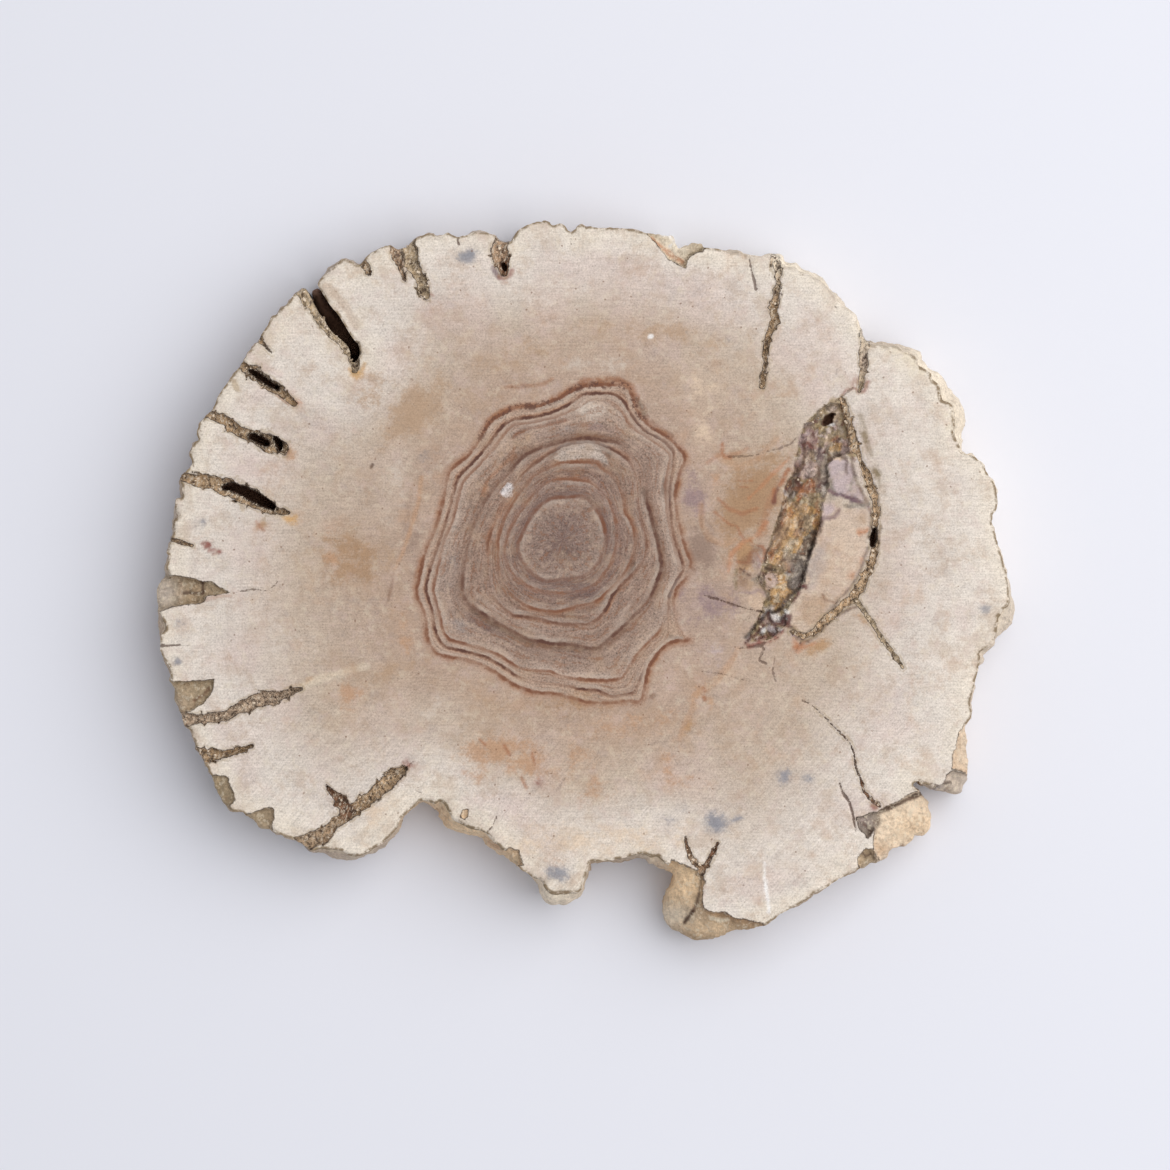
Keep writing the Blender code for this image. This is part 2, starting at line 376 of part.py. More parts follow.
def line_normals(points):
    """The left-hand direction at each point of an open line."""
    sides = []
    for index in range(len(points)):
        before = Vector(points[max(index - 1, 0)])
        after = Vector(points[min(index + 1, len(points) - 1)])
        along = (after - before).normalized()
        sides.append(Vector((-along.y, along.x)))
    return sides


def groove_cutter(line, depth, floor_share, opens_at_rim):
    """A wedge-sided trench along a crack's line, its half width given at the face."""
    line = list(line)
    if opens_at_rim:
        first, second = Vector(line[0][:2]), Vector(line[1][:2])
        outer = first + (first - second).normalized() * RIM_OVERRUN
        line.insert(0, (outer.x, outer.y, line[0][2] * MOUTH_WIDENING))
    sides = line_normals([point[:2] for point in line])
    rise = min(depth, ABOVE_FACE)
    lid_share = 1.0 + (1.0 - floor_share) * rise / depth
    mesh = bmesh.new()
    sections = []
    for (x, y, half), side in zip(line, sides):
        section = []
        for reach, height in (
            (-half * floor_share, THICKNESS - depth),
            (half * floor_share, THICKNESS - depth),
            (half * lid_share, THICKNESS + rise),
            (-half * lid_share, THICKNESS + rise),
        ):
            section.append(mesh.verts.new(Vector((x + side.x * reach, y + side.y * reach, height)) * MM))
        sections.append(section)
    for near, far in zip(sections, sections[1:]):
        for index in range(len(near)):
            after = (index + 1) % len(near)
            mesh.faces.new((near[index], near[after], far[after], far[index]))
    mesh.faces.new(sections[0])
    mesh.faces.new(reversed(sections[-1]))
    bmesh.ops.recalc_face_normals(mesh, faces=mesh.faces)
    return mesh


def knot_cutter():
    """The knot's pocket: a cutter with a flat lid, whose floor is split into facets and roughened."""
    floor_height = THICKNESS - KNOT_DEPTH
    mesh = prism(KNOT_POCKET, [floor_height] * len(KNOT_POCKET), THICKNESS + ABOVE_FACE)
    on_floor = [face for face in mesh.faces if face.calc_center_median().z < (floor_height + FLOOR_SLACK) * MM]
    outer = {edge for edge in mesh.edges if any(face not in on_floor for face in edge.link_faces)}
    inner = {edge for face in on_floor for edge in face.edges} - outer
    long_edges = [edge for edge in inner if edge.calc_length() > KNOT_LONGEST_FACET * MM]
    bmesh.ops.subdivide_edges(mesh, edges=long_edges, cuts=2)
    bmesh.ops.triangulate(mesh, faces=mesh.faces)
    fixed = {vertex for edge in outer if edge.is_valid for vertex in edge.verts}
    for vertex in mesh.verts:
        if vertex not in fixed:
            vertex.co.z += KNOT_ROUGHNESS * MM * noise.noise(vertex.co * KNOT_LUMPS_PER_METRE)
    bmesh.ops.recalc_face_normals(mesh, faces=mesh.faces)
    return mesh


def add_object(name, mesh, collection):
    data = bpy.data.meshes.new(name)
    mesh.to_mesh(data)
    mesh.free()
    thing = bpy.data.objects.new(name, data)
    collection.objects.link(thing)
    return thing


def add_cutter(name, mesh, collection):
    cutter = add_object("cut_" + name, mesh, collection)
    cutter.hide_render = True
    cutter.display_type = "WIRE"


def make_cutters():
    """Everything that is missing from the slab, gathered for one Boolean."""
    cutters = bpy.data.collections.new("broken_away")
    bpy.context.scene.collection.children.link(cutters)
    for name, corners in CHIPS.items():
        add_cutter(name, chip_cutter(corners), cutters)
    for name, (depth, opens_at_rim, line) in CRACKS.items():
        add_cutter(name, groove_cutter(line, depth, CRACK_FLOOR, opens_at_rim), cutters)
    for name, (depth, line) in DEEP_SLOTS.items():
        add_cutter(name, groove_cutter(line, depth, SLOT_FLOOR, False), cutters)
    add_cutter("knot_pocket", knot_cutter(), cutters)
    return cutters


def stone_material():
    material = bpy.data.materials.new("petrified_wood")
    material.use_nodes = True
    shader = material.node_tree.nodes["Principled BSDF"]
    shader.inputs["Base Color"].default_value = STONE_COLOUR
    shader.inputs["Roughness"].default_value = STONE_ROUGHNESS
    shader.inputs["Metallic"].default_value = 0.0
    return material


def make_slice():
    """The whole slice: the slab with its cracks, chips, deep slots and knot pocket cut in."""
    piece = add_object("petrified_wood_slice", stone_slab(), bpy.context.scene.collection)
    piece.data.materials.append(stone_material())
    cut = piece.modifiers.new("broken_away", "BOOLEAN")
    cut.operation = "DIFFERENCE"
    cut.solver = "EXACT"
    cut.operand_type = "COLLECTION"
    cut.collection = make_cutters()
    return piece


clear_scene()
make_slice()
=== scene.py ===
"""Petrified wood slice, dressed: one stone with its rings, stains, filled cracks, knot and broken rim."""

import itertools
import math

import bpy
import numpy as np
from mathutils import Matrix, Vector
from mathutils.geometry import delaunay_2d_cdt


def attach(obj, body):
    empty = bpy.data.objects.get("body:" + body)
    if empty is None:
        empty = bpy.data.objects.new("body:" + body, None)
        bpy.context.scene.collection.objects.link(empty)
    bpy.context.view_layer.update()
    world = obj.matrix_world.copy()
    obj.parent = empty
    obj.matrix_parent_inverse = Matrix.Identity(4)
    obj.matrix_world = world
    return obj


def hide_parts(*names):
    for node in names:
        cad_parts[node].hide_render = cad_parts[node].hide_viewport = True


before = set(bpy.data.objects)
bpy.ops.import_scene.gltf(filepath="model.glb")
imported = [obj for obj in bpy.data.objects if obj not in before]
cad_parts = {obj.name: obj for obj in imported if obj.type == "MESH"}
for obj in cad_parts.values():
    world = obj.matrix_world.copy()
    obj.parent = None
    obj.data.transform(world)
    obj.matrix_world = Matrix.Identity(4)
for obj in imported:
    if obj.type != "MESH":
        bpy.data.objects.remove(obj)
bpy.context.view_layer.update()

MM = 0.001

# Size of the slab and its wall profile, in millimetres as are all the lists below
THICKNESS = 24.0
WALL_PROFILE = ((0.0, 0.0), (0.045, 0.3), (0.26, 0.85), (0.54, 1.0), (0.8, 0.8), (0.97, 0.35), (1.0, 0.0))
BASE_INSET = 0.6
NORMAL_REACH = 3.5
RIM_OVERRUN = 6.0

# The middle line of the long open slot and how far its sediment reaches to each side
SLOT_PLUG = (
    (-79.8, 85.4, 2.2), (-78.2, 82.5, 2.4), (-76.4, 79.4, 2.5), (-74.4, 76.5, 2.5), (-72.5, 73.8, 2.6),
    (-70.2, 70.8, 2.5), (-68.2, 68.3, 2.4), (-67.3, 66, 2.1), (-67.6, 63.8, 1.6),
)

# The edge of the sawn face, counter-clockwise from the west: x, y, and how far the rock bulges out below it
RIM = (
    (-117.8, 28.3, 1), (-117.3, 24.4, 0.8), (-119.3, 23.6, 0.6), (-119.4, 20.5, 0.9), (-118.2, 18.6, 2),
    (-119.8, 17.3, 1), (-119.8, 14, 1.2), (-120.5, 12.3, 0.8), (-121.8, 8.5, 0.5), (-121.2, 7, 1),
    (-121.8, 3.5, 0.8), (-121.4, 1.8, 1.5), (-124, 0, 0.3), (-125.2, -4, 0.2), (-124.6, -8, 0.5),
    (-122.3, -12, 2.8), (-122, -14, 2.8), (-123.7, -15.6, 0.8), (-124, -18.5, 0.5), (-123.5, -21, 0.3),
    (-122.5, -23.3, 0.5), (-121, -25.5, 1.2), (-120.9, -28.5, 0.6), (-120, -31, 0.4), (-119, -35, 0.4),
    (-117.2, -41, 0.4), (-115.2, -43.3, 0.6), (-114.5, -45.5, 0.8), (-113.3, -47.5, 0.6),
    (-112.6, -49.5, 0.5), (-109.8, -54.8, 0.6), (-107.8, -60.5, 0.5), (-105.5, -64, 0.6),
    (-102.8, -66.8, 0.6), (-99.5, -67.3, 0.6), (-97.8, -68.5, 0.6), (-95.5, -71, 0.4), (-92.3, -72.2, 0.3),
    (-90, -73, 0.8), (-87.5, -74, 0.8), (-84.5, -75.3, 0.4), (-81.5, -77.3, 0.6), (-79.5, -78.3, 0.8),
    (-77, -77.3, 2.2), (-73, -77.8, 3.2), (-70, -79, 2.8), (-67.3, -79.8, 1.8), (-65, -79.3, 1.3),
    (-62.5, -77.8, 1.5), (-59.5, -76, 1.2), (-57, -74, 1.2), (-55, -71.8, 1), (-54.3, -69.7, 0.8),
    (-52.3, -67.3, 0.5), (-50.3, -65.7, 0.5), (-48.5, -64.1, 0.8), (-46, -64.1, 1.8), (-44.3, -64.4, 2.2),
    (-42.6, -63.7, 3.5), (-41, -65.2, 3.5), (-39.5, -67.6, 3.5), (-38, -69.3, 3.3), (-35.5, -71, 3),
    (-32.5, -71.6, 3), (-29.5, -73, 2.5), (-27.5, -75, 2.5), (-24.5, -77.5, 2.3), (-22, -79.5, 1.5),
    (-20.2, -82.3, 0.8), (-18.5, -84.4, 0.4), (-15.5, -86.2, 0.6), (-13.5, -86.8, 2), (-12, -88.8, 2.5),
    (-10.5, -90.2, 4), (-8, -90.4, 4.3), (-5, -90.3, 3.5), (-2.5, -90, 1.3), (-1, -88.3, 0.6),
    (0.2, -83, 0.4), (1.5, -81.2, 1), (4, -81.5, 0.8), (11, -80.5, 1.6), (13.3, -79.5, 2), (16, -79.1, 2.2),
    (18.5, -79.7, 2.4), (21.5, -80.5, 3), (25.5, -85.8, 0.4), (22.6, -92.5, 0.4), (22.2, -95.5, 0.4),
    (22.8, -98, 0.4), (24.3, -100.3, 0.4), (27, -102.2, 0.4), (30.5, -103.6, 0.4), (33.5, -104.1, 0.4),
    (42, -102, 0.4), (50.5, -100.2, 0.5), (56.5, -96.6, 1), (63.5, -92.6, 0.8), (67, -90, 0.8),
    (71, -87.8, 0.7), (78.5, -83.7, 0.8), (81.5, -82, 1), (84.5, -81.2, 0.6), (87, -80.2, 0.4),
    (88.2, -78.3, 0.4), (93.5, -76.6, 0.4), (95, -75.2, 0.4), (95.6, -73.8, 0.4), (97.5, -74, 0.4),
    (99, -72.8, 0.4), (99.8, -70, 0.4), (99.5, -67, 0.4), (98.5, -64.3, 0.4), (97.3, -62.2, 0.4),
    (94.6, -59.6, 0.2), (95.2, -58.6, 0.2), (96.5, -58.2, 0.3), (97.2, -58.9, 0.4), (105.5, -61.3, 0.4),
    (107.3, -61.6, 0.4), (108.8, -60.6, 0.4), (110.2, -57, 0.4), (110.8, -55, 0.4), (110.7, -53, 0.4),
    (110.2, -50.5, 0.4), (110.4, -47, 0.4), (110.2, -44.5, 0.4), (109.8, -42.5, 0.4), (110.8, -40.8, 0.4),
    (111.7, -38.3, 0.4), (111.3, -35, 0.5), (111.8, -32, 0.5), (113.5, -26, 0.5), (113.9, -23, 1.8),
    (113.8, -21, 2.3), (114.6, -20.2, 1.8), (116.2, -19.3, 1), (117.6, -17.8, 0.6), (118.5, -16, 1.5),
    (118.6, -13.5, 3.5), (118.8, -11, 5), (119.6, -9, 5), (120.6, -8, 4.5), (121.6, -7.4, 3.5),
    (122.4, -5.8, 2.4), (122.6, -3.5, 1.8), (121.8, 1.5, 0.8), (120.2, 7.3, 0.5), (119.2, 9.6, 0.5),
    (119, 11.5, 0.5), (118.3, 14, 0.5), (117.3, 18.8, 1), (118.6, 20.3, 0.5), (119.2, 23, 0.3),
    (118.8, 26, 0.3), (118, 28.5, 0.3), (114, 34.5, 0.4), (112.5, 36.1, 0.4), (108.3, 37.8, 0.8),
    (106.4, 42.8, 3.2), (106.1, 46, 4.3), (106, 49.5, 4), (104.8, 51.6, 3.8), (102.6, 52.8, 4.5),
    (102, 56.3, 3), (100.1, 58.2, 3.2), (99.8, 60.2, 2), (98.3, 61.4, 1.5), (95.8, 62.2, 3),
    (95.8, 64, 2.5), (94.4, 65.6, 2.2), (91.5, 67.2, 1.8), (86, 68.4, 1.2), (83, 68.3, 1.4), (81.4, 69, 1),
    (80.8, 69.8, 0.3), (79.4, 71.5, 0.8), (78.2, 74, 1.3), (78.2, 76.3, 0.5), (76.3, 78.5, 0.5),
    (73.8, 80.2, 1.5), (72, 81.8, 1.8), (70.8, 83.8, 1.2), (68.5, 86, 1.6), (66, 88, 1.8), (59, 90.8, 2),
    (57, 91.6, 2.2), (55.8, 92.8, 2.3), (53.8, 94.4, 0.8), (51, 94.5, 0.4), (48, 94.7, 0.4),
    (43, 95.2, 1.2), (41, 94.8, 1.6), (39.5, 96.2, 0.3), (36, 96.5, 0.2), (34, 96.7, 0.4), (33, 98.2, 0.3),
    (30.7, 98.3, 0.3), (28.5, 97.2, 0.3), (26.3, 96.9, 0.3), (25, 99.9, 0.3), (23.2, 100.4, 0.3),
    (17.5, 100.9, 0.3), (15, 101.4, 0.4), (12.5, 102.2, 0.3), (4, 102.6, 0.2), (1, 103, 0.2),
    (-0.5, 102.6, 0.4), (-2, 103.3, 0.2), (-4.7, 101, 0.3), (-7, 103.8, 0.3), (-10, 103.2, 0.4),
    (-11, 104.1, 0.3), (-13.2, 104.2, 0.3), (-15.5, 103.8, 0.3), (-19.3, 102.3, 0.7), (-20.5, 101.2, 0.7),
    (-21.3, 99.5, 0.5), (-22.3, 98.5, 0.3), (-24, 98.3, 0.3), (-25.5, 98.9, 0.3), (-27, 100.3, 0.3),
    (-28.8, 100.8, 0.3), (-31, 100.9, 0.5), (-33.5, 101.2, 0.4), (-37.2, 99.8, 0.3), (-40.2, 101.2, 0.2),
    (-41.5, 100.5, 0.2), (-43.2, 100.2, 0.3), (-45, 100.6, 0.7), (-47.2, 100.5, 0.6), (-49.3, 99.8, 0.6),
    (-50.7, 98.8, 0.6), (-51.8, 97.2, 0.4), (-53.5, 96.3, 0.3), (-55, 96.5, 0.4), (-57.5, 97.2, 0.3),
    (-63, 95, 0.5), (-64.4, 93.6, 0.5), (-65.2, 92, 0.3), (-66.8, 91.5, 0.3), (-68.3, 92.5, 0.3),
    (-70.5, 93.5, 0.3), (-72.3, 92.3, 0.8), (-75.8, 88.9, 0.8), (-77.3, 87.6, 0.5), (-78.2, 86.2, 0.3),
    (-77.8, 85.2, 0), (-74.2, 79.6, 0), (-72, 77, 0), (-68.2, 70.8, 0), (-66.3, 68.5, 0), (-65.9, 66, 0),
    (-66.6, 64.3, 0), (-67.8, 63.4, 0), (-68.6, 64.3, 0), (-68.8, 66.5, 0), (-70, 68.8, 0),
    (-73.6, 71.9, 0), (-75.2, 73.9, 0), (-76.5, 76.2, 0), (-78.2, 78.4, 0), (-81.2, 84.2, 0),
    (-82.2, 84.7, 0.4), (-84, 83.8, 0.5), (-85.8, 82.2, 0.5), (-89.8, 77.6, 0.5), (-91.6, 76.4, 0.4),
    (-95, 70.3, 0.4), (-98, 66.6, 0.3), (-99, 64.8, 0.3), (-101.3, 62, 0.3), (-104.8, 56.8, 0.4),
    (-107.4, 53.6, 0.4), (-108.2, 49.8, 0.3), (-110, 48.5, 0.3), (-112.9, 44.6, 0.3), (-113.3, 42.5, 0.2),
    (-112.6, 40.9, 0.3), (-114.2, 40, 0.3), (-114.9, 38, 0.3), (-115.1, 35.5, 0.3), (-115, 33.3, 0.4),
    (-117.6, 30.8, 0.4), (-118.2, 29.4, 0.4),
)

# Cracks in the face: depth, whether each runs out through the rim, and its line: x, y, half width
CRACKS = {
    "slot_lining": (1.4, True, (
        (-81.5, 83.6, 2.2), (-78.6, 79.4, 2.2), (-75.6, 75, 2.4), (-73.2, 72.2, 2.6), (-70.6, 69.6, 2.1),
        (-68.3, 66.5, 2.2), (-67.3, 63.2, 2.1), (-67.2, 61.3, 1.2),
    )),
    "tooth_crack": (1.3, True, (
        (-101, 62.8, 1.4), (-97.6, 61, 1.9), (-94, 58.7, 2), (-90.6, 56.2, 1.9), (-87.2, 53.4, 1.1),
        (-84.8, 51.2, 0.5),
    )),
    "upper_nick": (1, True, ((-95.6, 70.6, 0.8), (-93.5, 68.5, 0.7), (-91.5, 66.2, 0.4))),
    "upper_west_crack": (1.5, True, (
        (-109.6, 48.4, 1.1), (-106, 47, 1.4), (-103, 44.9, 1.6), (-99, 42.8, 1.6), (-95, 41, 2.4),
        (-91, 39.6, 3), (-88.4, 38.5, 1.9),
    )),
    "middle_west_crack": (1.5, True, (
        (-117.6, 30.1, 1.5), (-112, 29, 1.9), (-108, 28.3, 1.9), (-103, 26.8, 2.5), (-98, 24.2, 2.8),
        (-93, 21.8, 2.4), (-89.6, 20.4, 1.2), (-86.6, 19.8, 0.4),
    )),
    "west_nick": (0.9, True, ((-120.5, 12.1, 0.6), (-117, 11, 0.5), (-114.5, 10.2, 0.3))),
    "lower_west_crack": (2, True, (
        (-116.6, -40.4, 2.2), (-110, -39.8, 1.4), (-105, -39, 1.6), (-101, -37, 1.9), (-97, -35.1, 2.4),
        (-92, -34, 1.8), (-87, -32.5, 1.2), (-83, -31.3, 0.5),
    )),
    "short_west_crack": (2, True, (
        (-112.2, -50.2, 1.9), (-106.5, -50.5, 1.4), (-102, -49.5, 1.1), (-97.3, -47.8, 0.6),
    )),
    "south_west_crack": (2.2, True, (
        (-82.6, -77, 2.6), (-78, -74, 2.3), (-75, -72, 1.8), (-72, -69.5, 1.6), (-68, -67, 1.5),
        (-65, -64.5, 1.7), (-62, -62, 1.9), (-59, -59.5, 2.1), (-56.8, -57.2, 2.2), (-54.5, -55.6, 1.3),
        (-52.5, -54.5, 0.6),
    )),
    "south_west_branch": (1.4, False, (
        (-70, -67.2, 1.5), (-71.5, -64, 1.3), (-73.5, -61.8, 0.8), (-75.6, -59.2, 0.3),
    )),
    "notch_crack": (1.2, False, (
        (32.6, -84.9, 1.19), (33.6, -83.6, 0.94), (35.4, -80.8, 0.51), (36.8, -78.3, 0.51), (38, -76, 0.26),
    )),
    "notch_branch": (1, False, (
        (33.4, -83.4, 0.7), (31.5, -82, 0.8), (30, -80, 0.9), (29, -77, 0.5), (28.5, -74.3, 0.3),
    )),
    "south_east_crack": (0.6, False, (
        (84.8, -65.2, 0.6), (82, -63, 0.5), (80.3, -61, 0.35), (79.5, -57.5, 0.26), (78, -54, 0.22),
        (77.5, -50, 0.18), (76.3, -47, 0.18), (74, -44.5, 0.16), (70, -40.5, 0.12), (66.5, -37, 0.08),
    )),
    "knot_rim_groove": (1.1, False, (
        (74.4, 52.4, 0.86), (75.1, 48.2, 1.19), (77.3, 41.2, 1.19), (79.3, 34.6, 1.19), (81.7, 29.3, 1.19),
        (83.3, 24, 1.12), (83.9, 19.8, 1.06), (83.6, 15.7, 0.99), (83.2, 8, 1.06), (82, 3.8, 1.19),
        (79.7, -0.9, 1.32), (76.7, -5, 1.32), (72.2, -8.6, 1.25), (68.6, -11.5, 1.12), (65.7, -14.8, 0.99),
        (62.7, -16.2, 0.79), (59.2, -14.6, 0.59),
    )),
    "knot_branch": (0.6, False, (
        (78.4, -6.2, 0.8), (81.6, -10.4, 0.72), (84.6, -15.1, 0.72), (88.2, -20.2, 0.64),
        (91.7, -25.2, 0.4),
    )),
    "valley_crack": (1.2, True, (
        (80.9, 69.8, 1.3), (80.3, 66, 1.2), (80.2, 61, 1.1), (79.5, 57, 0.9), (79, 55.2, 0.5),
    )),
    "north_crack": (1.3, True, (
        (54.4, 94, 1), (55.5, 90, 1.2), (55.5, 86, 0.9), (54.5, 82, 1), (54.3, 79, 1.2), (54.4, 75.4, 1.6),
        (52.6, 71, 0.8), (51.4, 66, 0.9), (51.9, 63.5, 0.9), (51, 60, 0.7), (50.7, 56.5, 0.5),
    )),
    "tooth_notch": (1.2, True, ((-65.2, 92.4, 1), (-63.5, 90.5, 0.9), (-62.8, 88.7, 0.4))),
    "left_wedge_crack": (1.2, True, ((-55.2, 96.4, 2), (-54.5, 92, 0.9), (-53, 87.5, 0.4))),
    "right_wedge_crack": (1.5, True, (
        (-51.8, 97.6, 2), (-51, 92, 1.8), (-49.5, 90, 1.6), (-48.5, 87, 1.5), (-47.4, 84, 1.8),
        (-46.5, 82.6, 0.9),
    )),
    "red_crack": (1.5, True, (
        (-24.8, 98.8, 2), (-25.8, 96, 2.3), (-25, 93, 2.4), (-24.3, 91, 1.5), (-24.4, 89.3, 0.7),
    )),
}

# Slots that open deep into the stone: the depth and the line, as above
DEEP_SLOTS = {
    "tooth_slot": (9, ((-97.6, 60.9, 0.5), (-95.6, 59.7, 0.8), (-93, 57.9, 0.7), (-90, 56.1, 0.5))),
    "west_slot_outer": (10, ((-97.4, 42, 0.7), (-95.3, 41.1, 1), (-93.3, 40.1, 0.9))),
    "west_slot_inner": (9, ((-90.4, 41.4, 0.6), (-89.4, 40, 0.9), (-89.1, 38.4, 0.6))),
    "middle_slot": (12, (
        (-105.4, 27.2, 0.5), (-103, 27.3, 1), (-100, 26.2, 1.2), (-96.5, 24.4, 1.2), (-93.3, 22.7, 1.2),
        (-91.1, 21.5, 0.7),
    )),
    "knot_pit": (6, ((69, 45.9, 0.7), (70.1, 46.9, 1.2), (71.2, 48.2, 0.6))),
    "knot_slot": (8, ((83.4, 15, 0.4), (83, 12.5, 0.8), (82.7, 10.4, 0.5))),
    "red_crack_hole": (7, ((-24.3, 92, 0.5), (-24, 91.2, 0.8), (-23.9, 90.4, 0.5))),
}

# Flakes broken from the face and the rim: x, y and the depth of the broken floor at that corner
CHIPS = {
    "west_chip": (
        (-103.6, -3.4, 0.8), (-107, -1.6, 1.2), (-109, -0.2, 1.5), (-111, -0.3, 2.5), (-113, 0.5, 3),
        (-115.5, 1, 3.5), (-119, 1.5, 4), (-121.6, 1.9, 4.5), (-127, 3, 6), (-130, -4, 7), (-128, -9.5, 6),
        (-123.2, -8.8, 4.5), (-120.5, -7.6, 4), (-115, -7, 3.5), (-111, -6, 2.5), (-110.6, -4.2, 1.8),
        (-106, -4, 1.2),
    ),
    "lower_west_chip": (
        (-108.2, -28.6, 1.5), (-115, -29, 2.5), (-120.8, -29, 3), (-125, -30.5, 5), (-122, -39.2, 5),
        (-116.6, -38.4, 2.5), (-114, -37, 2), (-111, -35.4, 1.8), (-109.3, -33.3, 1.5), (-108.4, -31, 1.5),
    ),
    "south_west_chip": (
        (-104, -57, 1.5), (-107, -56.4, 1.5), (-112.5, -56.6, 3.5), (-112, -63, 4.5), (-106.5, -68.5, 4.5),
        (-101.8, -63.5, 1.5), (-103.2, -59.8, 1.2),
    ),
    "south_west_flake": (
        (-91, -66.2, 1.5), (-92.5, -65.8, 1.5), (-95, -66.3, 1.8), (-97.5, -67.2, 2), (-101.5, -69.5, 4),
        (-97, -75, 4), (-92, -75, 3), (-91, -69.3, 1.5),
    ),
    "bay_pit": (
        (-36.9, -68.6, 0.5), (-36.2, -66.5, 0.5), (-34.6, -66.3, 0.4), (-34.4, -68, 0.5),
        (-35.4, -69.2, 0.5),
    ),
    "foot_chip": (
        (-24.6, -79.6, 2), (-23, -77.6, 1.4), (-19.5, -78, 1.2), (-18.6, -82.4, 2), (-22.6, -83, 2.4),
    ),
    "south_facet": (
        (24.4, -80.4, 1), (28.5, -82.5, 1), (31.5, -83.8, 1), (33.6, -84.6, 1.2), (34.2, -87, 1.6),
        (33.5, -90, 2), (33.2, -93, 2.2), (34, -95, 1.8), (36.5, -96, 1.4), (40, -96, 1.2), (43, -97.6, 1),
        (46, -98.3, 0.9), (51, -99, 0.8), (51.5, -102.5, 8), (42, -105, 11), (34, -107, 13),
        (25, -103.5, 14), (19.5, -99, 15), (19.5, -93, 14), (22.5, -86, 10),
    ),
    "south_east_ledge": (
        (84.5, -66.5, 2.5), (88, -64.8, 3), (91.5, -63, 3.5), (95, -61.2, 5), (98.5, -60.2, 8),
        (103, -66, 10), (102.5, -76.5, 12), (95, -80, 12), (88, -83.5, 10), (83.7, -79.8, 4), (83, -76, 3),
        (83.2, -72.5, 2.5), (84.2, -69.5, 2.5),
    ),
    "grey_pit": (
        (78, -68.7, 1), (80.5, -68.3, 1.2), (82.5, -67, 1.5), (84.9, -66.9, 2.2), (84.7, -70, 2.2),
        (83.5, -72.3, 2), (81.5, -74.3, 1.5), (80, -73, 1.2), (78.5, -71, 1),
    ),
    "edge_pit": (
        (78.4, -80.6, 1.5), (79.4, -79, 1.4), (81, -77.5, 1.3), (83.6, -78.2, 1.8), (84.2, -82.6, 3),
        (79.6, -85.4, 3),
    ),
    "grey_corner": (
        (104.3, -56, 1.5), (103.3, -58.8, 1.6), (101.2, -60, 3), (100.5, -63, 4.5), (110, -64.5, 5),
        (113.5, -57, 4), (106, -55, 1.5),
    ),
    "east_flake": (
        (109.4, -41.4, 1), (108, -44, 1), (107, -47, 1.2), (106.2, -50.5, 1.5), (105.8, -54.4, 1.6),
        (114, -56.4, 5), (114, -50, 5), (113.4, -42, 3.5),
    ),
    "north_chip": (
        (17, 102.4, 1.6), (18, 99.6, 0.9), (20, 98, 1.2), (22, 95.5, 1.5), (23.5, 93.3, 1.6),
        (26.5, 91.5, 1.6), (28.8, 90.3, 1.2), (29.2, 93, 1.5), (30.5, 94.5, 1.5), (33.7, 95.7, 1.2),
        (35, 99.5, 2.6), (30, 101, 3.6), (25, 103, 4),
    ),
}

# The outline of the knot's crumbled pocket
KNOT_POCKET = (
    (66.9, 49.4), (62.7, 44.7), (61.5, 41.1), (59.7, 32.2), (56.8, 25.1), (55.6, 19.8), (52.1, 9.2),
    (50.9, 5), (48.9, 0.3), (52.1, -3.2), (50.9, -8.6), (47.3, -14.5), (46, -17.6), (53.2, -17.3),
    (57.6, -13.2), (58.6, -8), (62.7, -0.9), (63.9, 5), (65.7, 10.9), (68, 16.9), (68.6, 22.8),
    (70.4, 27.5), (69.8, 32.8), (71.6, 35.8), (76.6, 36.9), (75.6, 46.5), (74.3, 51.4), (70.4, 52),
)

# What fills each crack that doesn't hold the usual brown sediment
CRACK_PAINTS = {
    "tooth_slot": "black", "west_slot_outer": "black", "west_slot_inner": "black", "middle_slot": "black",
    "knot_pit": "black", "knot_slot": "black", "red_crack_hole": "black", "valley_crack": "khaki",
    "red_crack": "tan", "south_east_crack": "brown", "notch_crack": "brown", "notch_branch": "brown",
    "south_west_branch": "brown", "knot_branch": "khaki", "knot_rim_groove": "groove",
    "slot_lining": "khaki", "left_wedge_crack": "tan", "lower_west_crack": "sand",
    "right_wedge_crack": "khaki",
}

# How dark the thin outline of these cracks is, where every other one is 1. The outline is partly painted
# shade at the crack's edge.
SOFT_OUTLINES = {
    "knot_branch": 0.1, "knot_rim_groove": 0.35, "valley_crack": 0.4, "south_east_crack": 0.3,
    "slot_lining": 0.5,
}

# The colours of these chips, where every other one is khaki
CHIP_PAINTS = {
    "south_east_ledge": "bright_cream", "south_facet": "crack_fill", "grey_pit": "slate",
    "grey_corner": "ash", "bay_pit": "tan", "west_chip": "khaki", "east_flake": "warm_cream",
    "foot_chip": "sand",
}
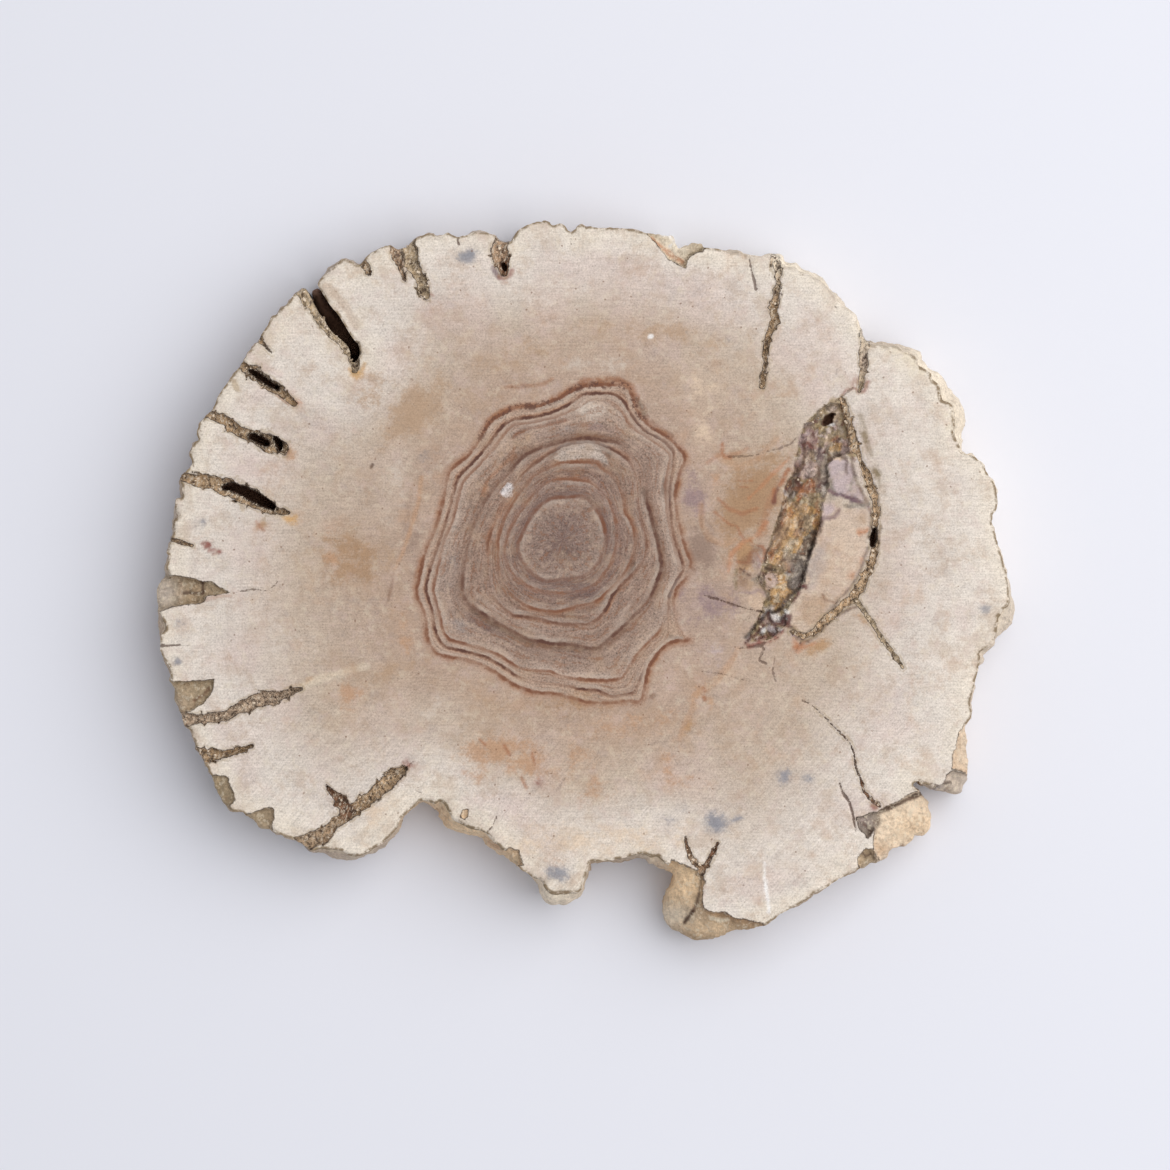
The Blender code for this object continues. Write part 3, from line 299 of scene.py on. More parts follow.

# Dark seams in the broken rock, and painted shadow in a recess and an undercut: paint, half width, strength
# and the line
ROCK_SEAMS_AND_PAINTED_SHADOWS = (
    ("umber", 0.25, 0.75, (
        (33.4, -84.6), (33, -88), (32.4, -91), (31.6, -94.5), (30.4, -97), (28.2, -99.8),
    )),
    ("dark_brown", 0.3, 0.85, ((30.8, -95.8), (29.4, -97.8), (28.4, -99.2))),
    ("dark_brown", 0.2, 0.7, ((34.5, -95), (38, -95.8), (42, -96.6), (46, -97.8), (51, -99))),
    ("yellow_cream", 0.4, 0.8, ((36, -98), (39, -98.6), (41, -98.2))),
    # Painted shadow along the lower side of the west chip's small recess
    ("umber", 0.25, 0.85, ((-117.4, -3.4), (-112.4, -3.4))),
    ("sienna", 0.6, 0.6, ((18.6, 99.4), (21.5, 97), (24.5, 94.6), (27.5, 92.6))),
    ("chalk", 0.3, 0.7, ((21, 100.6), (24, 100.2), (25.4, 98.4), (24, 97.2))),
    ("olive", 0.3, 0.6, ((29.4, 94.6), (31.6, 95), (33.6, 96.6))),
    # Painted shadow along the right side of the west chip's small recess
    ("dark_brown", 0.45, 0.9, ((-111.6, -0.4), (-111.4, -3.6))),
    ("sand", 0.5, 0.6, ((-118.4, 0.6), (-117.8, -2), (-118.2, -6))),
    ("brown", 0.3, 0.7, ((-114, -34.6), (-111, -33), (-109.6, -31))),
    # Painted shadow in the undercut between the face's edge and the south-east ledge
    ("dark_brown", 0.7, 0.85, ((85.6, -66.6), (89, -65.4), (92, -64), (95.5, -62.4), (98, -61.6))),
    ("brown", 0.5, 0.7, ((92, -77), (91, -78.6), (93.4, -79))),
    ("umber", 0.3, 0.7, ((101.6, -57.6), (103.6, -58.8), (105.4, -58.4))),
    ("umber", 0.3, 0.8, ((79.4, -78.6), (81, -80), (82.4, -79), (83.4, -80.6))),
    ("dark_brown", 0.3, 0.7, ((80, -70), (81.4, -71.6), (82.8, -73.6))),
)

# The broken rock's colour round the rim, with painted light: x, y, reach along and across, turn, paint and
# strength. The 'sunlit' and 'facet' spots are painted light, brightening walls and facets as if the lamp
# fell on them.
ROCK_STAINS_AND_PAINTED_LIGHT = (
    (114, 30, 16, 60, 0, "sunlit", 0.9), (99, 62, 14, 14, 0, "sunlit", 0.85),
    (60, 92, 22, 7, -25, "sunlit", 0.95), (78, 76, 5, 10, 25, "sunlit", 0.8),
    (97, -70, 12, 9, 20, "apricot", 0.8), (104, -40, 14, 26, 0, "warm_cream", 0.5),
    (26.5, -88.5, 7.5, 8.5, 10, "facet", 1), (25, -97.5, 7, 4, 0, "sunlit", 0.7),
    (18.6, -92, 3, 9, 0, "sunlit", 0.8), (35, -101, 8, 2.4, -8, "facet", 0.8),
    (43, -97.4, 10, 1.8, -14, "ochre", 0.8), (-36, -74, 26, 8, -30, "facet", 0.85),
    (-27, -76.6, 3, 1.2, -35, "rust", 0.5), (-9, -90, 9, 6, 0, "sunlit", 0.9),
    (-122.5, -3.5, 4, 6, 0, "cream", 0.75), (-114, -3, 5, 3, 0, "sand", 0.4),
    (-113.6, -3.4, 3, 3.2, 0, "crack_fill", 0.6), (80.5, -69.5, 2, 1.6, 0, "rose", 0.5),
    (81, 64, 2, 4, 0, "rose", 0.5), (-23.4, 91, 1.6, 3, 0, "sienna", 0.5),
    (-80, -75, 16, 10, -30, "sand", 0.4), (60, -90, 25, 8, 15, "sand", 0.5),
    (-108, -62, 4, 5, 0, "olive", 0.35), (-118, -36, 4, 4, 0, "sand", 0.5),
    (86, -78, 3, 3, 0, "ochre", 0.5), (95, -66, 6, 4, 0, "bright_cream", 0.4),
    (101, -60, 3, 2, 0, "cool_grey", 0.6), (81.5, -70.5, 2.6, 3, 0, "grey", 0.5),
    (82.5, -73.5, 1, 2, 0, "dark_brown", 0.6), (-20, -80.5, 3, 2, 0, "khaki", 0.5),
    (25, 97, 6, 5, -30, "sunlit", 0.85),
)

# Growth rings from the pith outwards, counter-clockwise from the top: x, y, and how dark the line is there
RINGS = (
    (
        (-4.8, 24.3, 0.7), (-9.2, 24.1, 0.8), (-12.1, 23, 0.7), (-15.7, 19.4, 0.6), (-19.5, 11.9, 0.6),
        (-20, 8.9, 0.6), (-18.6, 5.4, 0.5), (-16.6, 2.8, 0.6), (-14, 0.9, 0.7), (-11.7, 0.2, 0.8),
        (-4.4, 0.8, 0.7), (-1, 1.6, 0.6), (1.4, 3.2, 0.6), (3.8, 6.2, 0.6), (5.1, 9.7, 0.7),
        (5.4, 12.9, 0.8), (4.9, 16.2, 0.9), (3.6, 19.4, 0.7), (2, 21.9, 0.6), (0.2, 23.7, 0.6),
        (-1.9, 24.5, 0.8),
    ),
    (
        (-7.7, 29.5, 0.5), (-11.2, 28.7, 0.4), (-14.2, 26.4, 0.3), (-17.4, 22.7, 0.3), (-20.4, 18.4, 0.3),
        (-22.6, 13.9, 0.4), (-23.8, 8.9, 0.4), (-22.9, 4.4, 0.3), (-20.1, 0.7, 0.3), (-16.1, -1.9, 0.4),
        (-11.7, -3.1, 0.3), (-6.7, -3.4, 0.3), (-1.6, -2.6, 0.3), (2.4, -0.6, 0.3), (5.5, 2.9, 0.3),
        (7.5, 6.9, 0.4), (8.5, 11.9, 0.5), (8.3, 16.9, 0.4), (6.8, 21.9, 0.3), (4.8, 25.4, 0.3),
        (1.8, 28.1, 0.4), (-0.5, 29, 0.7),
    ),
    (
        (-7.7, 34.2, 0.7), (-15, 30.6, 0.5), (-18.1, 27.4, 0.4), (-21.2, 22.9, 0.4), (-23.6, 18.7, 0.5),
        (-25.4, 13.4, 0.6), (-25.8, 8.9, 0.5), (-25.6, 3.9, 0.3), (-24.6, -0.1, 0.1), (-22.1, -3.6, 0.1),
        (-18.6, -6.6, 0.3), (-15, -8.1, 0.7), (-11.7, -8.6, 0.5), (-8.3, -8.8, 0.7), (-2.9, -7.4, 0.9),
        (2.4, -5.9, 1), (5.6, -3.3, 0.8), (7.1, -2.1, 0.4), (9.8, 0.9, 0.3), (12.3, 4.9, 0.5),
        (13.5, 8.9, 0.4), (13.9, 12.6, 0.5), (13.5, 15.1, 0.8), (12.5, 17.6, 0.8), (11, 20.1, 0.5),
        (10.3, 24.9, 0.3), (8.2, 29.5, 0.4), (3.9, 33.1, 0.7), (1.8, 34.3, 0.6), (-4.1, 34.4, 0.8),
    ),
    (
        (-7.7, 38.9, 0.9), (-13.7, 35.1, 0.6), (-17.1, 32.4, 0.4), (-20.6, 28.4, 0.2), (-24.1, 23.4, 0.2),
        (-26.6, 17.9, 0.4), (-28.2, 12.9, 0.5), (-29.1, 7.9, 0.3), (-28.8, 2.9, 0.1), (-28.1, -2.1, 0.1),
        (-26.6, -5.6, 0.2), (-22.6, -9.1, 0.8), (-20.6, -10.1, 0.9), (-14.7, -10.7, 0.4),
        (-11.7, -11.6, 0.5), (-8.3, -12.3, 0.9), (-1, -12.6, 1), (2, -11.9, 1), (5.3, -8.4, 1),
        (7.3, -4.4, 1), (8.7, -2.8, 0.9), (9.7, -1.4, 0.6), (14.9, 3.9, 0.4), (16.7, 7.4, 0.3),
        (17.2, 11.5, 0.5), (15.3, 19.1, 0.3), (14.7, 23.9, 0.1), (14.3, 28.9, 0.1), (12.8, 33.9, 0.4),
        (10.3, 36.3, 0.7), (6, 38.9, 0.8), (2, 40.2, 1), (-0.5, 40.4, 1), (-5.5, 39.7, 1),
    ),
    (
        (-7.7, 40.3, 0.8), (-15, 37.9, 0.6), (-19.2, 35.4, 0.7), (-22.1, 31.9, 0.4), (-26.1, 27.9, 0.3),
        (-29.6, 22.9, 0.4), (-32.1, 17.9, 0.3), (-34.2, 11.9, 0.2), (-35.6, 5.9, 0.2), (-36, -1.6, 0.6),
        (-35.4, -5.1, 0.8), (-31.6, -8.6, 0.9), (-24.6, -12.8, 0.9), (-18.3, -16.4, 1), (-15.7, -17.3, 0.9),
        (-13.3, -17.4, 1), (-10.7, -18.1, 1), (-4.4, -18.4, 1), (2.4, -19.6, 0.6), (6.3, -16.8, 1),
        (11.7, -12.1, 0.9), (13, -10.4, 1), (16.1, -7.8, 0.6), (17.4, -6.1, 0.5), (18.7, -3.8, 0.7),
        (21.1, 2.2, 1), (21.6, 3.9, 1), (20.7, 10.1, 0.8), (18.5, 18.7, 0.8), (17.9, 20.9, 0.9),
        (17.2, 23.4, 0.7), (17, 28.9, 0.1), (15.8, 33.9, 0), (12.3, 37.9, 0), (9.7, 39.7, 0.2),
        (7.4, 40.4, 0.7), (0.2, 41.3, 1), (-4.8, 41, 0.9),
    ),
    (
        (-3, 50.3, 0.4), (-8.5, 47.8, 0.5), (-12.1, 46.9, 0.8), (-18.1, 45.6, 0.7), (-21.6, 45.1, 0.8),
        (-25, 41.2, 0.9), (-26.8, 38.9, 0.6), (-30, 35.1, 0.6), (-32.9, 32, 0.7), (-34.8, 30.2, 0.5),
        (-36.5, 27.3, 0.6), (-37.8, 21.9, 1), (-39.2, 16.9, 0.8), (-41.9, 10.1, 0.6), (-43.5, 2.2, 0.6),
        (-44.4, -1.4, 0.7), (-44.4, -3.8, 0.8), (-42.9, -9.4, 0.8), (-41.6, -14.4, 0.5),
        (-40.4, -16.4, 0.9), (-38.4, -17.4, 0.9), (-29.9, -19.8, 0.9), (-25.3, -21.6, 0.9),
        (-23.3, -22.9, 1), (-19.6, -25.1, 0.5), (-14.3, -26, 0.6), (-10.7, -26.2, 0.5), (-7, -27.6, 0.6),
        (0.6, -28.6, 0.8), (6.3, -28.8, 0.8), (9, -28.4, 0.6), (10.7, -27.4, 0.5), (14.3, -21.4, 0.8),
        (18.4, -17.1, 0.7), (20.7, -14.8, 0.6), (22, -12.1, 0.1), (23, -6.1, 0.1), (23.6, -3.1, 0.1),
        (26.2, 1.9, 0.1), (26.7, 4.9, 0.3), (24.8, 11.4, 0.7), (23.4, 18.7, 0.6), (22.8, 25.9, 1),
        (22.9, 29.5, 1), (24.1, 35.3, 0.5), (23.2, 37.5, 0.3), (16.9, 42.1, 0.5), (13.9, 43.9, 0.5),
        (11.9, 45.7, 0.8), (11.3, 47.2, 0.8), (9.3, 49.9, 0.2), (5.3, 52.2, 0.1), (1.4, 52.7, 0.1),
    ),
    (
        (-3, 52.7, 0.9), (-8.5, 49.5, 1), (-15.7, 47.5, 1), (-20.6, 47, 0.8), (-24.4, 45, 1),
        (-28.5, 39.7, 1), (-33.1, 34.4, 1), (-37.2, 30.2, 0.8), (-38.8, 24.8, 0.7), (-40.4, 18.7, 0.8),
        (-42.8, 11.5, 0.9), (-45.4, 3.9, 0.9), (-46.6, -1.4, 0.9), (-46.4, -3.8, 0.8), (-44.9, -8.4, 0.9),
        (-44, -14.4, 0.8), (-41.4, -18.8, 0.7), (-36.9, -20, 0.9), (-29.9, -21.8, 0.9), (-25.6, -24, 0.8),
        (-21.3, -27, 0.7), (-18.6, -28.4, 0.1), (-14.7, -29.5, 0.1), (-9.7, -29.9, 0.2), (-4.7, -30.5, 0.6),
        (-2.6, -31.2, 0.8), (3.4, -31.9, 0.8), (7, -33.4, 0.8), (11.7, -32.8, 0.8), (13.7, -32.1, 0.7),
        (15.5, -28.1, 0.7), (16.6, -25.1, 0.2), (18, -21.7, 0), (20.4, -18.9, 0), (23, -16.7, 0.1),
        (23.5, -12.1, 0.1), (23.6, -7.9, 0.8), (24.2, -3.4, 1), (27.4, 2.5, 0.7), (27.9, 4.5, 0.9),
        (25.2, 12.7, 1), (24.4, 18.9, 0.8), (24, 25.9, 0.9), (25.1, 33.8, 0.8), (25.2, 36.3, 0.9),
        (24.7, 38.2, 0.8), (21.2, 41.3, 0.8), (18.2, 42.7, 0.8), (14.3, 46.1, 1), (10.7, 52, 1),
        (8.9, 53.4, 0.6), (6.8, 54.4, 0.7), (0.6, 54.3, 1), (-1.5, 54.1, 0.8),
    ),
    (
        (-1.6, 56.2, 0.8), (-3.7, 55.7, 1), (-7.4, 53.4, 1), (-12.1, 51.5, 1), (-14.2, 50.7, 0.8),
        (-19.9, 50.5, 0.6), (-24.2, 48.7, 0.9), (-28.2, 45.9, 0.9), (-31.4, 40.7, 0.8), (-34.8, 36, 0.8),
        (-39, 32.7, 0.7), (-40.4, 30.2, 0.7), (-41.9, 22.3, 0.8), (-44, 15.1, 0.9), (-46.9, 8.3, 0.9),
        (-48.9, -0.1, 0.9), (-49.4, -2.4, 0.7), (-48.9, -5.4, 0.6), (-46.9, -10.1, 0.8),
        (-46.4, -16.1, 0.7), (-44.4, -20.1, 0.6), (-41.9, -21.6, 0.8), (-34.6, -23, 0.7),
        (-28.6, -25.3, 0.7), (-21.9, -29.6, 0.8), (-16.6, -31.8, 0.8), (-14, -32.4, 0.9),
        (-8.3, -32.8, 0.9), (0.3, -35.1, 1), (6.3, -35.3, 1), (11, -34.8, 1), (15.2, -35.1, 0.8),
        (16.1, -33.7, 0.8), (16.6, -30.8, 1), (18.4, -24.1, 1), (22.1, -19.4, 1), (25.1, -17.6, 1),
        (27.4, -17.4, 0.9), (29.8, -17, 0.4), (28.4, -15.6, 0), (26.6, -12.6, 0), (25.1, -7.1, 0.5),
        (25.2, -4.5, 0.7), (26.2, -2.1, 0.7), (27.7, -0.3, 0.6), (29.2, 2.1, 0.2), (30.1, 5.2, 0.4),
        (29.1, 7.9, 0.7), (28, 11.3, 0.8), (26.2, 18.7, 0.4), (25.8, 22.3, 0.4), (25.5, 25.2, 0.9),
        (26.4, 29.5, 1), (27.2, 32.4, 0.7), (28.2, 34.5, 0.8), (28.2, 36.3, 0.9), (25.5, 39.9, 0.9),
        (21.2, 43.1, 0.8), (19, 44.4, 1), (16.4, 46.6, 0.9), (14.8, 48.9, 1), (13.9, 50.7, 0.7),
        (13.3, 53.3, 0.9), (12.2, 55.5, 0.5), (9.9, 56.9, 0.3), (6.8, 56.8, 0.9), (1.4, 56.8, 0.9),
    ),
)

# Paints matched to the stone, as 0 to 255 screen values
PAINTS = {
    "cream": (216, 203, 191), "pale_cream": (224, 212, 200), "warm_cream": (222, 198, 172),
    "bright_cream": (236, 218, 195), "buff": (204, 190, 176), "sand": (194, 170, 146),
    "tan": (178, 149, 122), "ochre": (176, 137, 98), "orange": (186, 145, 112), "ring_rust": (150, 98, 64),
    # sunlit and facet are painted light: brighter than the rock, for walls and facets lit by the lamp
    "sunlit": (252, 238, 216), "ash": (190, 179, 170), "chalk": (246, 242, 238),
    "crescent": (182, 166, 154), "stripe": (106, 94, 86), "dun": (166, 131, 98), "facet": (250, 218, 178),
    "groove": (198, 168, 134), "edge": (140, 121, 96), "rust": (158, 98, 62), "red": (142, 84, 72),
    "dark_red": (92, 46, 44), "brown": (122, 86, 64), "dark_brown": (84, 58, 46),
    "ring_brown": (120, 76, 54), "ring_dark": (92, 58, 46), "black": (38, 28, 26), "hole": (124, 90, 70),
    "olive": (120, 102, 68), "khaki": (184, 163, 134), "crack_fill": (178, 150, 118),
    "moss": (164, 144, 110), "umber": (96, 76, 64), "slate": (136, 126, 116), "gold": (204, 160, 104),
    "sienna": (188, 122, 80), "peach": (212, 184, 158), "beige": (206, 184, 164), "grey": (150, 138, 132),
    "cool_grey": (152, 144, 146), "blue_grey": (136, 136, 144), "smudge": (112, 112, 124),
    "apricot": (240, 208, 170), "mauve": (146, 122, 124), "purple": (104, 76, 86), "lilac": (188, 170, 170),
    "pink": (198, 172, 160), "white": (214, 206, 204), "yellow_cream": (228, 214, 190),
    "rose": (208, 184, 176), "heart": (146, 122, 108), "pale_heart": (166, 144, 130), "dusk": (112, 90, 84),
}

# The face's colour at the inner and the outer edge of each band between two rings, pith outwards
BANDS = (
    ((126, 104, 96), (146, 123, 110)),
    ((124, 99, 88), (136, 112, 101)),
    ((132, 108, 98), (136, 110, 96)),
    ((132, 107, 93), (148, 123, 110)),
    ((150, 126, 112), (142, 115, 100)),
    ((140, 115, 101), (170, 147, 132)),
    ((166, 141, 124), (160, 133, 116)),
    ((176, 151, 133), (168, 139, 119)),
)

# Outside the last ring: the share of the way to the rim, and the colour there
OUTSIDE_THE_RINGS = (
    (0, (180, 155, 137)), (0.18, (182, 158, 139)), (0.5, (194, 176, 158)), (0.75, (217, 206, 195)),
    (1, (230, 220, 208)),
)

# Soft stains in the sawn face: x, y, reach along and across, turn in degrees, paint and strength
STAINS = (
    # Inside the rings
    (-7, 12, 7, 8, 0, "dusk", 0.45), (-6.5, 2.8, 8, 1.6, 0, "pale_heart", 0.35),
    (-7, 22.5, 6, 1.8, 0, "pale_heart", 0.45), (-18, 7, 2, 4, 20, "pale_heart", 0.3),
    (-2, -3.5, 10, 3.4, 5, "dusk", 0.7), (5, 1, 5, 3, 40, "dusk", 0.45), (-6, -7.6, 9, 1.3, 3, "dusk", 0.5),
    (-4, 31.5, 7.5, 2.2, 0, "brown", 0.4), (-12, 30, 4, 1.6, 30, "brown", 0.35),
    (-27.8, 10, 1.6, 7, 5, "brown", 0.45), (-26.5, 16, 2, 3, 15, "tan", 0.3),
    (-9, 26.8, 7, 1.2, 0, "heart", 0.4), (8.5, 24, 2.5, 8, 20, "heart", 0.3),
    (-6, -14.6, 10, 1.4, 2, "pale_heart", 0.4), (-17, -13, 6, 1.6, -25, "pale_heart", 0.6),
    (-28, -7, 6, 1.3, -36, "pale_heart", 0.65), (10.5, -9, 7, 1.5, 52, "pale_heart", 0.7),
    (-40, 2, 3.5, 8, -10, "grey", 0.4), (-37, -13, 5, 3, -35, "grey", 0.4),
    (-29, -13.5, 8, 1.6, -32, "dusk", 0.6), (-17, -19.6, 8, 1.6, -14, "dusk", 0.65),
    (-3, -21.6, 8, 1.5, -3, "dusk", 0.5), (-15, -21, 12, 3.4, -14, "heart", 0.7),
    (1, 49.2, 7, 3.2, -5, "buff", 0.6), (7, 46, 5, 2, -25, "sand", 0.3), (-9, 43, 9, 2, 10, "grey", 0.35),
    (3, 44.5, 7, 1.8, -10, "mauve", 0.3), (-20, 39.5, 8, 2.2, 32, "tan", 0.35),
    (-31, 28, 4, 8, -30, "tan", 0.3), (14, 42, 5, 2, -30, "tan", 0.3), (19, 33, 4, 7, 0, "heart", 0.45),
    (22, 3.5, 1.6, 8, -10, "pale_heart", 0.5), (22.5, -8, 2.5, 6, -12, "pale_heart", 0.5),
    # Around the rings
    (-56, 30, 5, 24, -8, "buff", 0.35), (-58, 4, 4, 18, 8, "tan", 0.4), (-51, 49, 13, 8, 45, "tan", 0.8),
    (-50, 50, 6, 3, 40, "orange", 0.4), (-56, 41, 5, 9, -10, "tan", 0.35), (-62, 56, 9, 7, 30, "tan", 0.45),
    (-46, 35, 4.5, 6, -30, "grey", 0.3), (-20, 66, 16, 5, 14, "tan", 0.4), (2, 63, 14, 3.5, 0, "buff", 0.4),
    (22, 72, 26, 4, -6, "tan", 0.5), (33, 57, 10, 5, -35, "warm_cream", 0.35),
    (34, 44, 4, 9, 5, "warm_cream", 0.4), (31, 25, 4.5, 8, 10, "mauve", 0.55),
    (33, 9, 6, 9, -5, "heart", 0.75), (35, -6, 9, 7, 0, "mauve", 0.55),
    (38, -9, 6, 2.2, -10, "lilac", 0.35), (29, -11, 4, 4, 0, "mauve", 0.3),
    (36, -22, 8, 5, 20, "lilac", 0.3), (24, -30, 5, 8, -10, "pink", 0.3),
    (12, -42, 22, 5, 8, "orange", 0.35), (-28, -36, 14, 4, -20, "tan", 0.4),
    (-53, -14, 3, 12, 15, "orange", 0.35), (-60, -27, 14, 3.5, 15, "tan", 0.5),
    (-45, -38, 10, 6, 10, "buff", 0.3), (-4, -36, 16, 4.5, 2, "dun", 0.45),
    (-50, 9, 3.5, 18, 5, "heart", 0.35),
    # The orange ground south of the rings
    (-26, -49, 12, 5.5, 12, "orange", 0.65), (-17, -53, 11, 5, -15, "orange", 0.6),
    (-14, -58.5, 2.4, 1.8, 0, "red", 0.5), (-31, -56, 5, 3.5, 0, "orange", 0.5),
    (3, -62, 10, 5.5, 0, "orange", 0.3), (-3, -52, 10, 6, 0, "orange", 0.35),
    (23, -54, 3.4, 6, 20, "orange", 0.5), (29, -60, 8, 5, 0, "orange", 0.3),
    (32, -32, 2.2, 4.5, -35, "orange", 0.65), (36.5, -36, 1.6, 4, 20, "orange", 0.45),
    (29.5, -41.5, 1.5, 3.6, -30, "ochre", 0.6), (38.4, -42.5, 1.6, 2.6, 10, "orange", 0.4),
    (41, -27, 1.8, 5, -35, "warm_cream", 0.4), (46, -40, 7, 7, 0, "pink", 0.3),
    # West side
    (-68.5, -33.5, 4.5, 5, 0, "orange", 0.55), (-74.5, 16, 3, 3, 0, "sienna", 0.35),
    (-74.5, 8, 2.5, 3, 0, "rust", 0.35), (-69, 6, 11, 9, 0, "dun", 0.6),
    (-73.5, 6.5, 3.6, 4, 20, "orange", 0.7), (-64.5, 8, 3.4, 5, 10, "ochre", 0.45),
    (-67, 15, 4, 5, 0, "tan", 0.35), (-80, 3, 8, 5, 0, "sand", 0.3), (-67, 60, 4, 2.4, 30, "gold", 0.55),
    (-85, 52.6, 4, 2, -40, "sienna", 0.55), (-86, 37, 2.4, 3.4, 0, "orange", 0.5),
    (-86, 18, 4.6, 2, -30, "gold", 0.4), (-94.5, 15.5, 3, 1.6, 20, "orange", 0.5),
    (-110, 10.5, 1.8, 1, 10, "red", 0.7), (-106.5, 8.6, 1.4, 0.9, 0, "red", 0.6),
    (-100, 10, 12, 6, 0, "cream", 0.4), (-105, -14, 12, 6, 0, "cream", 0.3),
    (-90, -18, 14, 8, 0, "cream", 0.35), (-60, -66, 8, 5, 30, "warm_cream", 0.45),
    (-52, -53.5, 2.6, 1.8, 25, "red", 0.55), (-74, -64.5, 3.5, 1.8, -50, "mauve", 0.35),
    (-82.5, -29.8, 6, 1.4, 20, "ochre", 0.35), (-70, -26.5, 8, 1.2, 12, "ochre", 0.3),
    (-119, -23.2, 2, 1.6, 0, "blue_grey", 0.75), (-118.2, -12.2, 2.4, 2, 10, "blue_grey", 0.65),
    (-112.2, 17, 2.4, 1.6, 30, "blue_grey", 0.7),
    # North side
    (-34.5, 94.5, 3.4, 2, 20, "blue_grey", 0.9), (-53.5, 93.5, 1.8, 4, 10, "ochre", 0.5),
    (-73, 79, 2, 5.5, -38, "tan", 0.35), (40.5, 70, 2, 1.6, 0, "blue_grey", 0.35),
    (44, 68, 1.6, 1.4, 0, "blue_grey", 0.3), (-10, 85, 30, 10, 0, "pale_cream", 0.3),
    (68, 66, 8, 10, 20, "buff", 0.3), (81, 57.5, 1, 4, 5, "red", 0.4),
    # Around the knot and the east side
    (48, 24, 16, 9, 62, "dun", 0.9), (50, 29, 6, 8, -10, "ochre", 0.55), (43, 20, 4, 9, 10, "ochre", 0.55),
    (51, 17, 3, 7, -15, "orange", 0.5), (46, 8, 9, 3, 80, "ochre", 0.75), (56, 12, 7, 2.4, 72, "tan", 0.6),
    (55, 31, 2, 5, -25, "rust", 0.4), (44, 36, 7, 3, 10, "tan", 0.6), (37, 28, 2, 4, 0, "orange", 0.4),
    (50, 33, 8, 3, 20, "tan", 0.6), (58, 38, 3, 2, 30, "tan", 0.4), (47, -1, 4, 3, 0, "tan", 0.5),
    (80.6, 41, 1.4, 7, 12, "olive", 0.4), (84.3, 31, 1.5, 4.6, 10, "olive", 0.5),
    (86.2, 26.5, 1.2, 2.4, 0, "olive", 0.35), (67, -19, 5, 2.4, 30, "ochre", 0.7),
    (92, 66, 10, 4, -35, "yellow_cream", 0.5), (106, 45, 3, 8, 30, "yellow_cream", 0.4),
    (61.5, -18.8, 3, 1.2, 20, "rust", 0.5), (79, -10, 4, 1.6, -40, "ochre", 0.35),
    (96, 40, 10, 14, 20, "cream", 0.3), (115, -8, 2.4, 2, 0, "blue_grey", 0.45),
    (37.3, -70.2, 4.2, 3.2, 15, "blue_grey", 0.85), (38, -70.6, 2.2, 1.6, 15, "smudge", 0.6),
    (44, -69, 3, 1, 15, "blue_grey", 0.6), (57.5, -57, 3.2, 2.6, 10, "blue_grey", 0.7),
    (64, -57.5, 2.4, 2.4, 20, "blue_grey", 0.65), (28, -66, 1.4, 1.2, 0, "blue_grey", 0.7),
    (23, -69.5, 4, 2.4, 0, "blue_grey", 0.35), (-8.5, -84.6, 4.6, 2.6, -10, "blue_grey", 0.7),
    (-10, -81, 7, 2, 0, "orange", 0.45), (83.5, -65.5, 1.4, 1.2, 0, "red", 0.6),
    (60, -80, 16, 8, 15, "pale_cream", 0.3), (0, -75, 44, 6, 2, "warm_cream", 0.45),
)

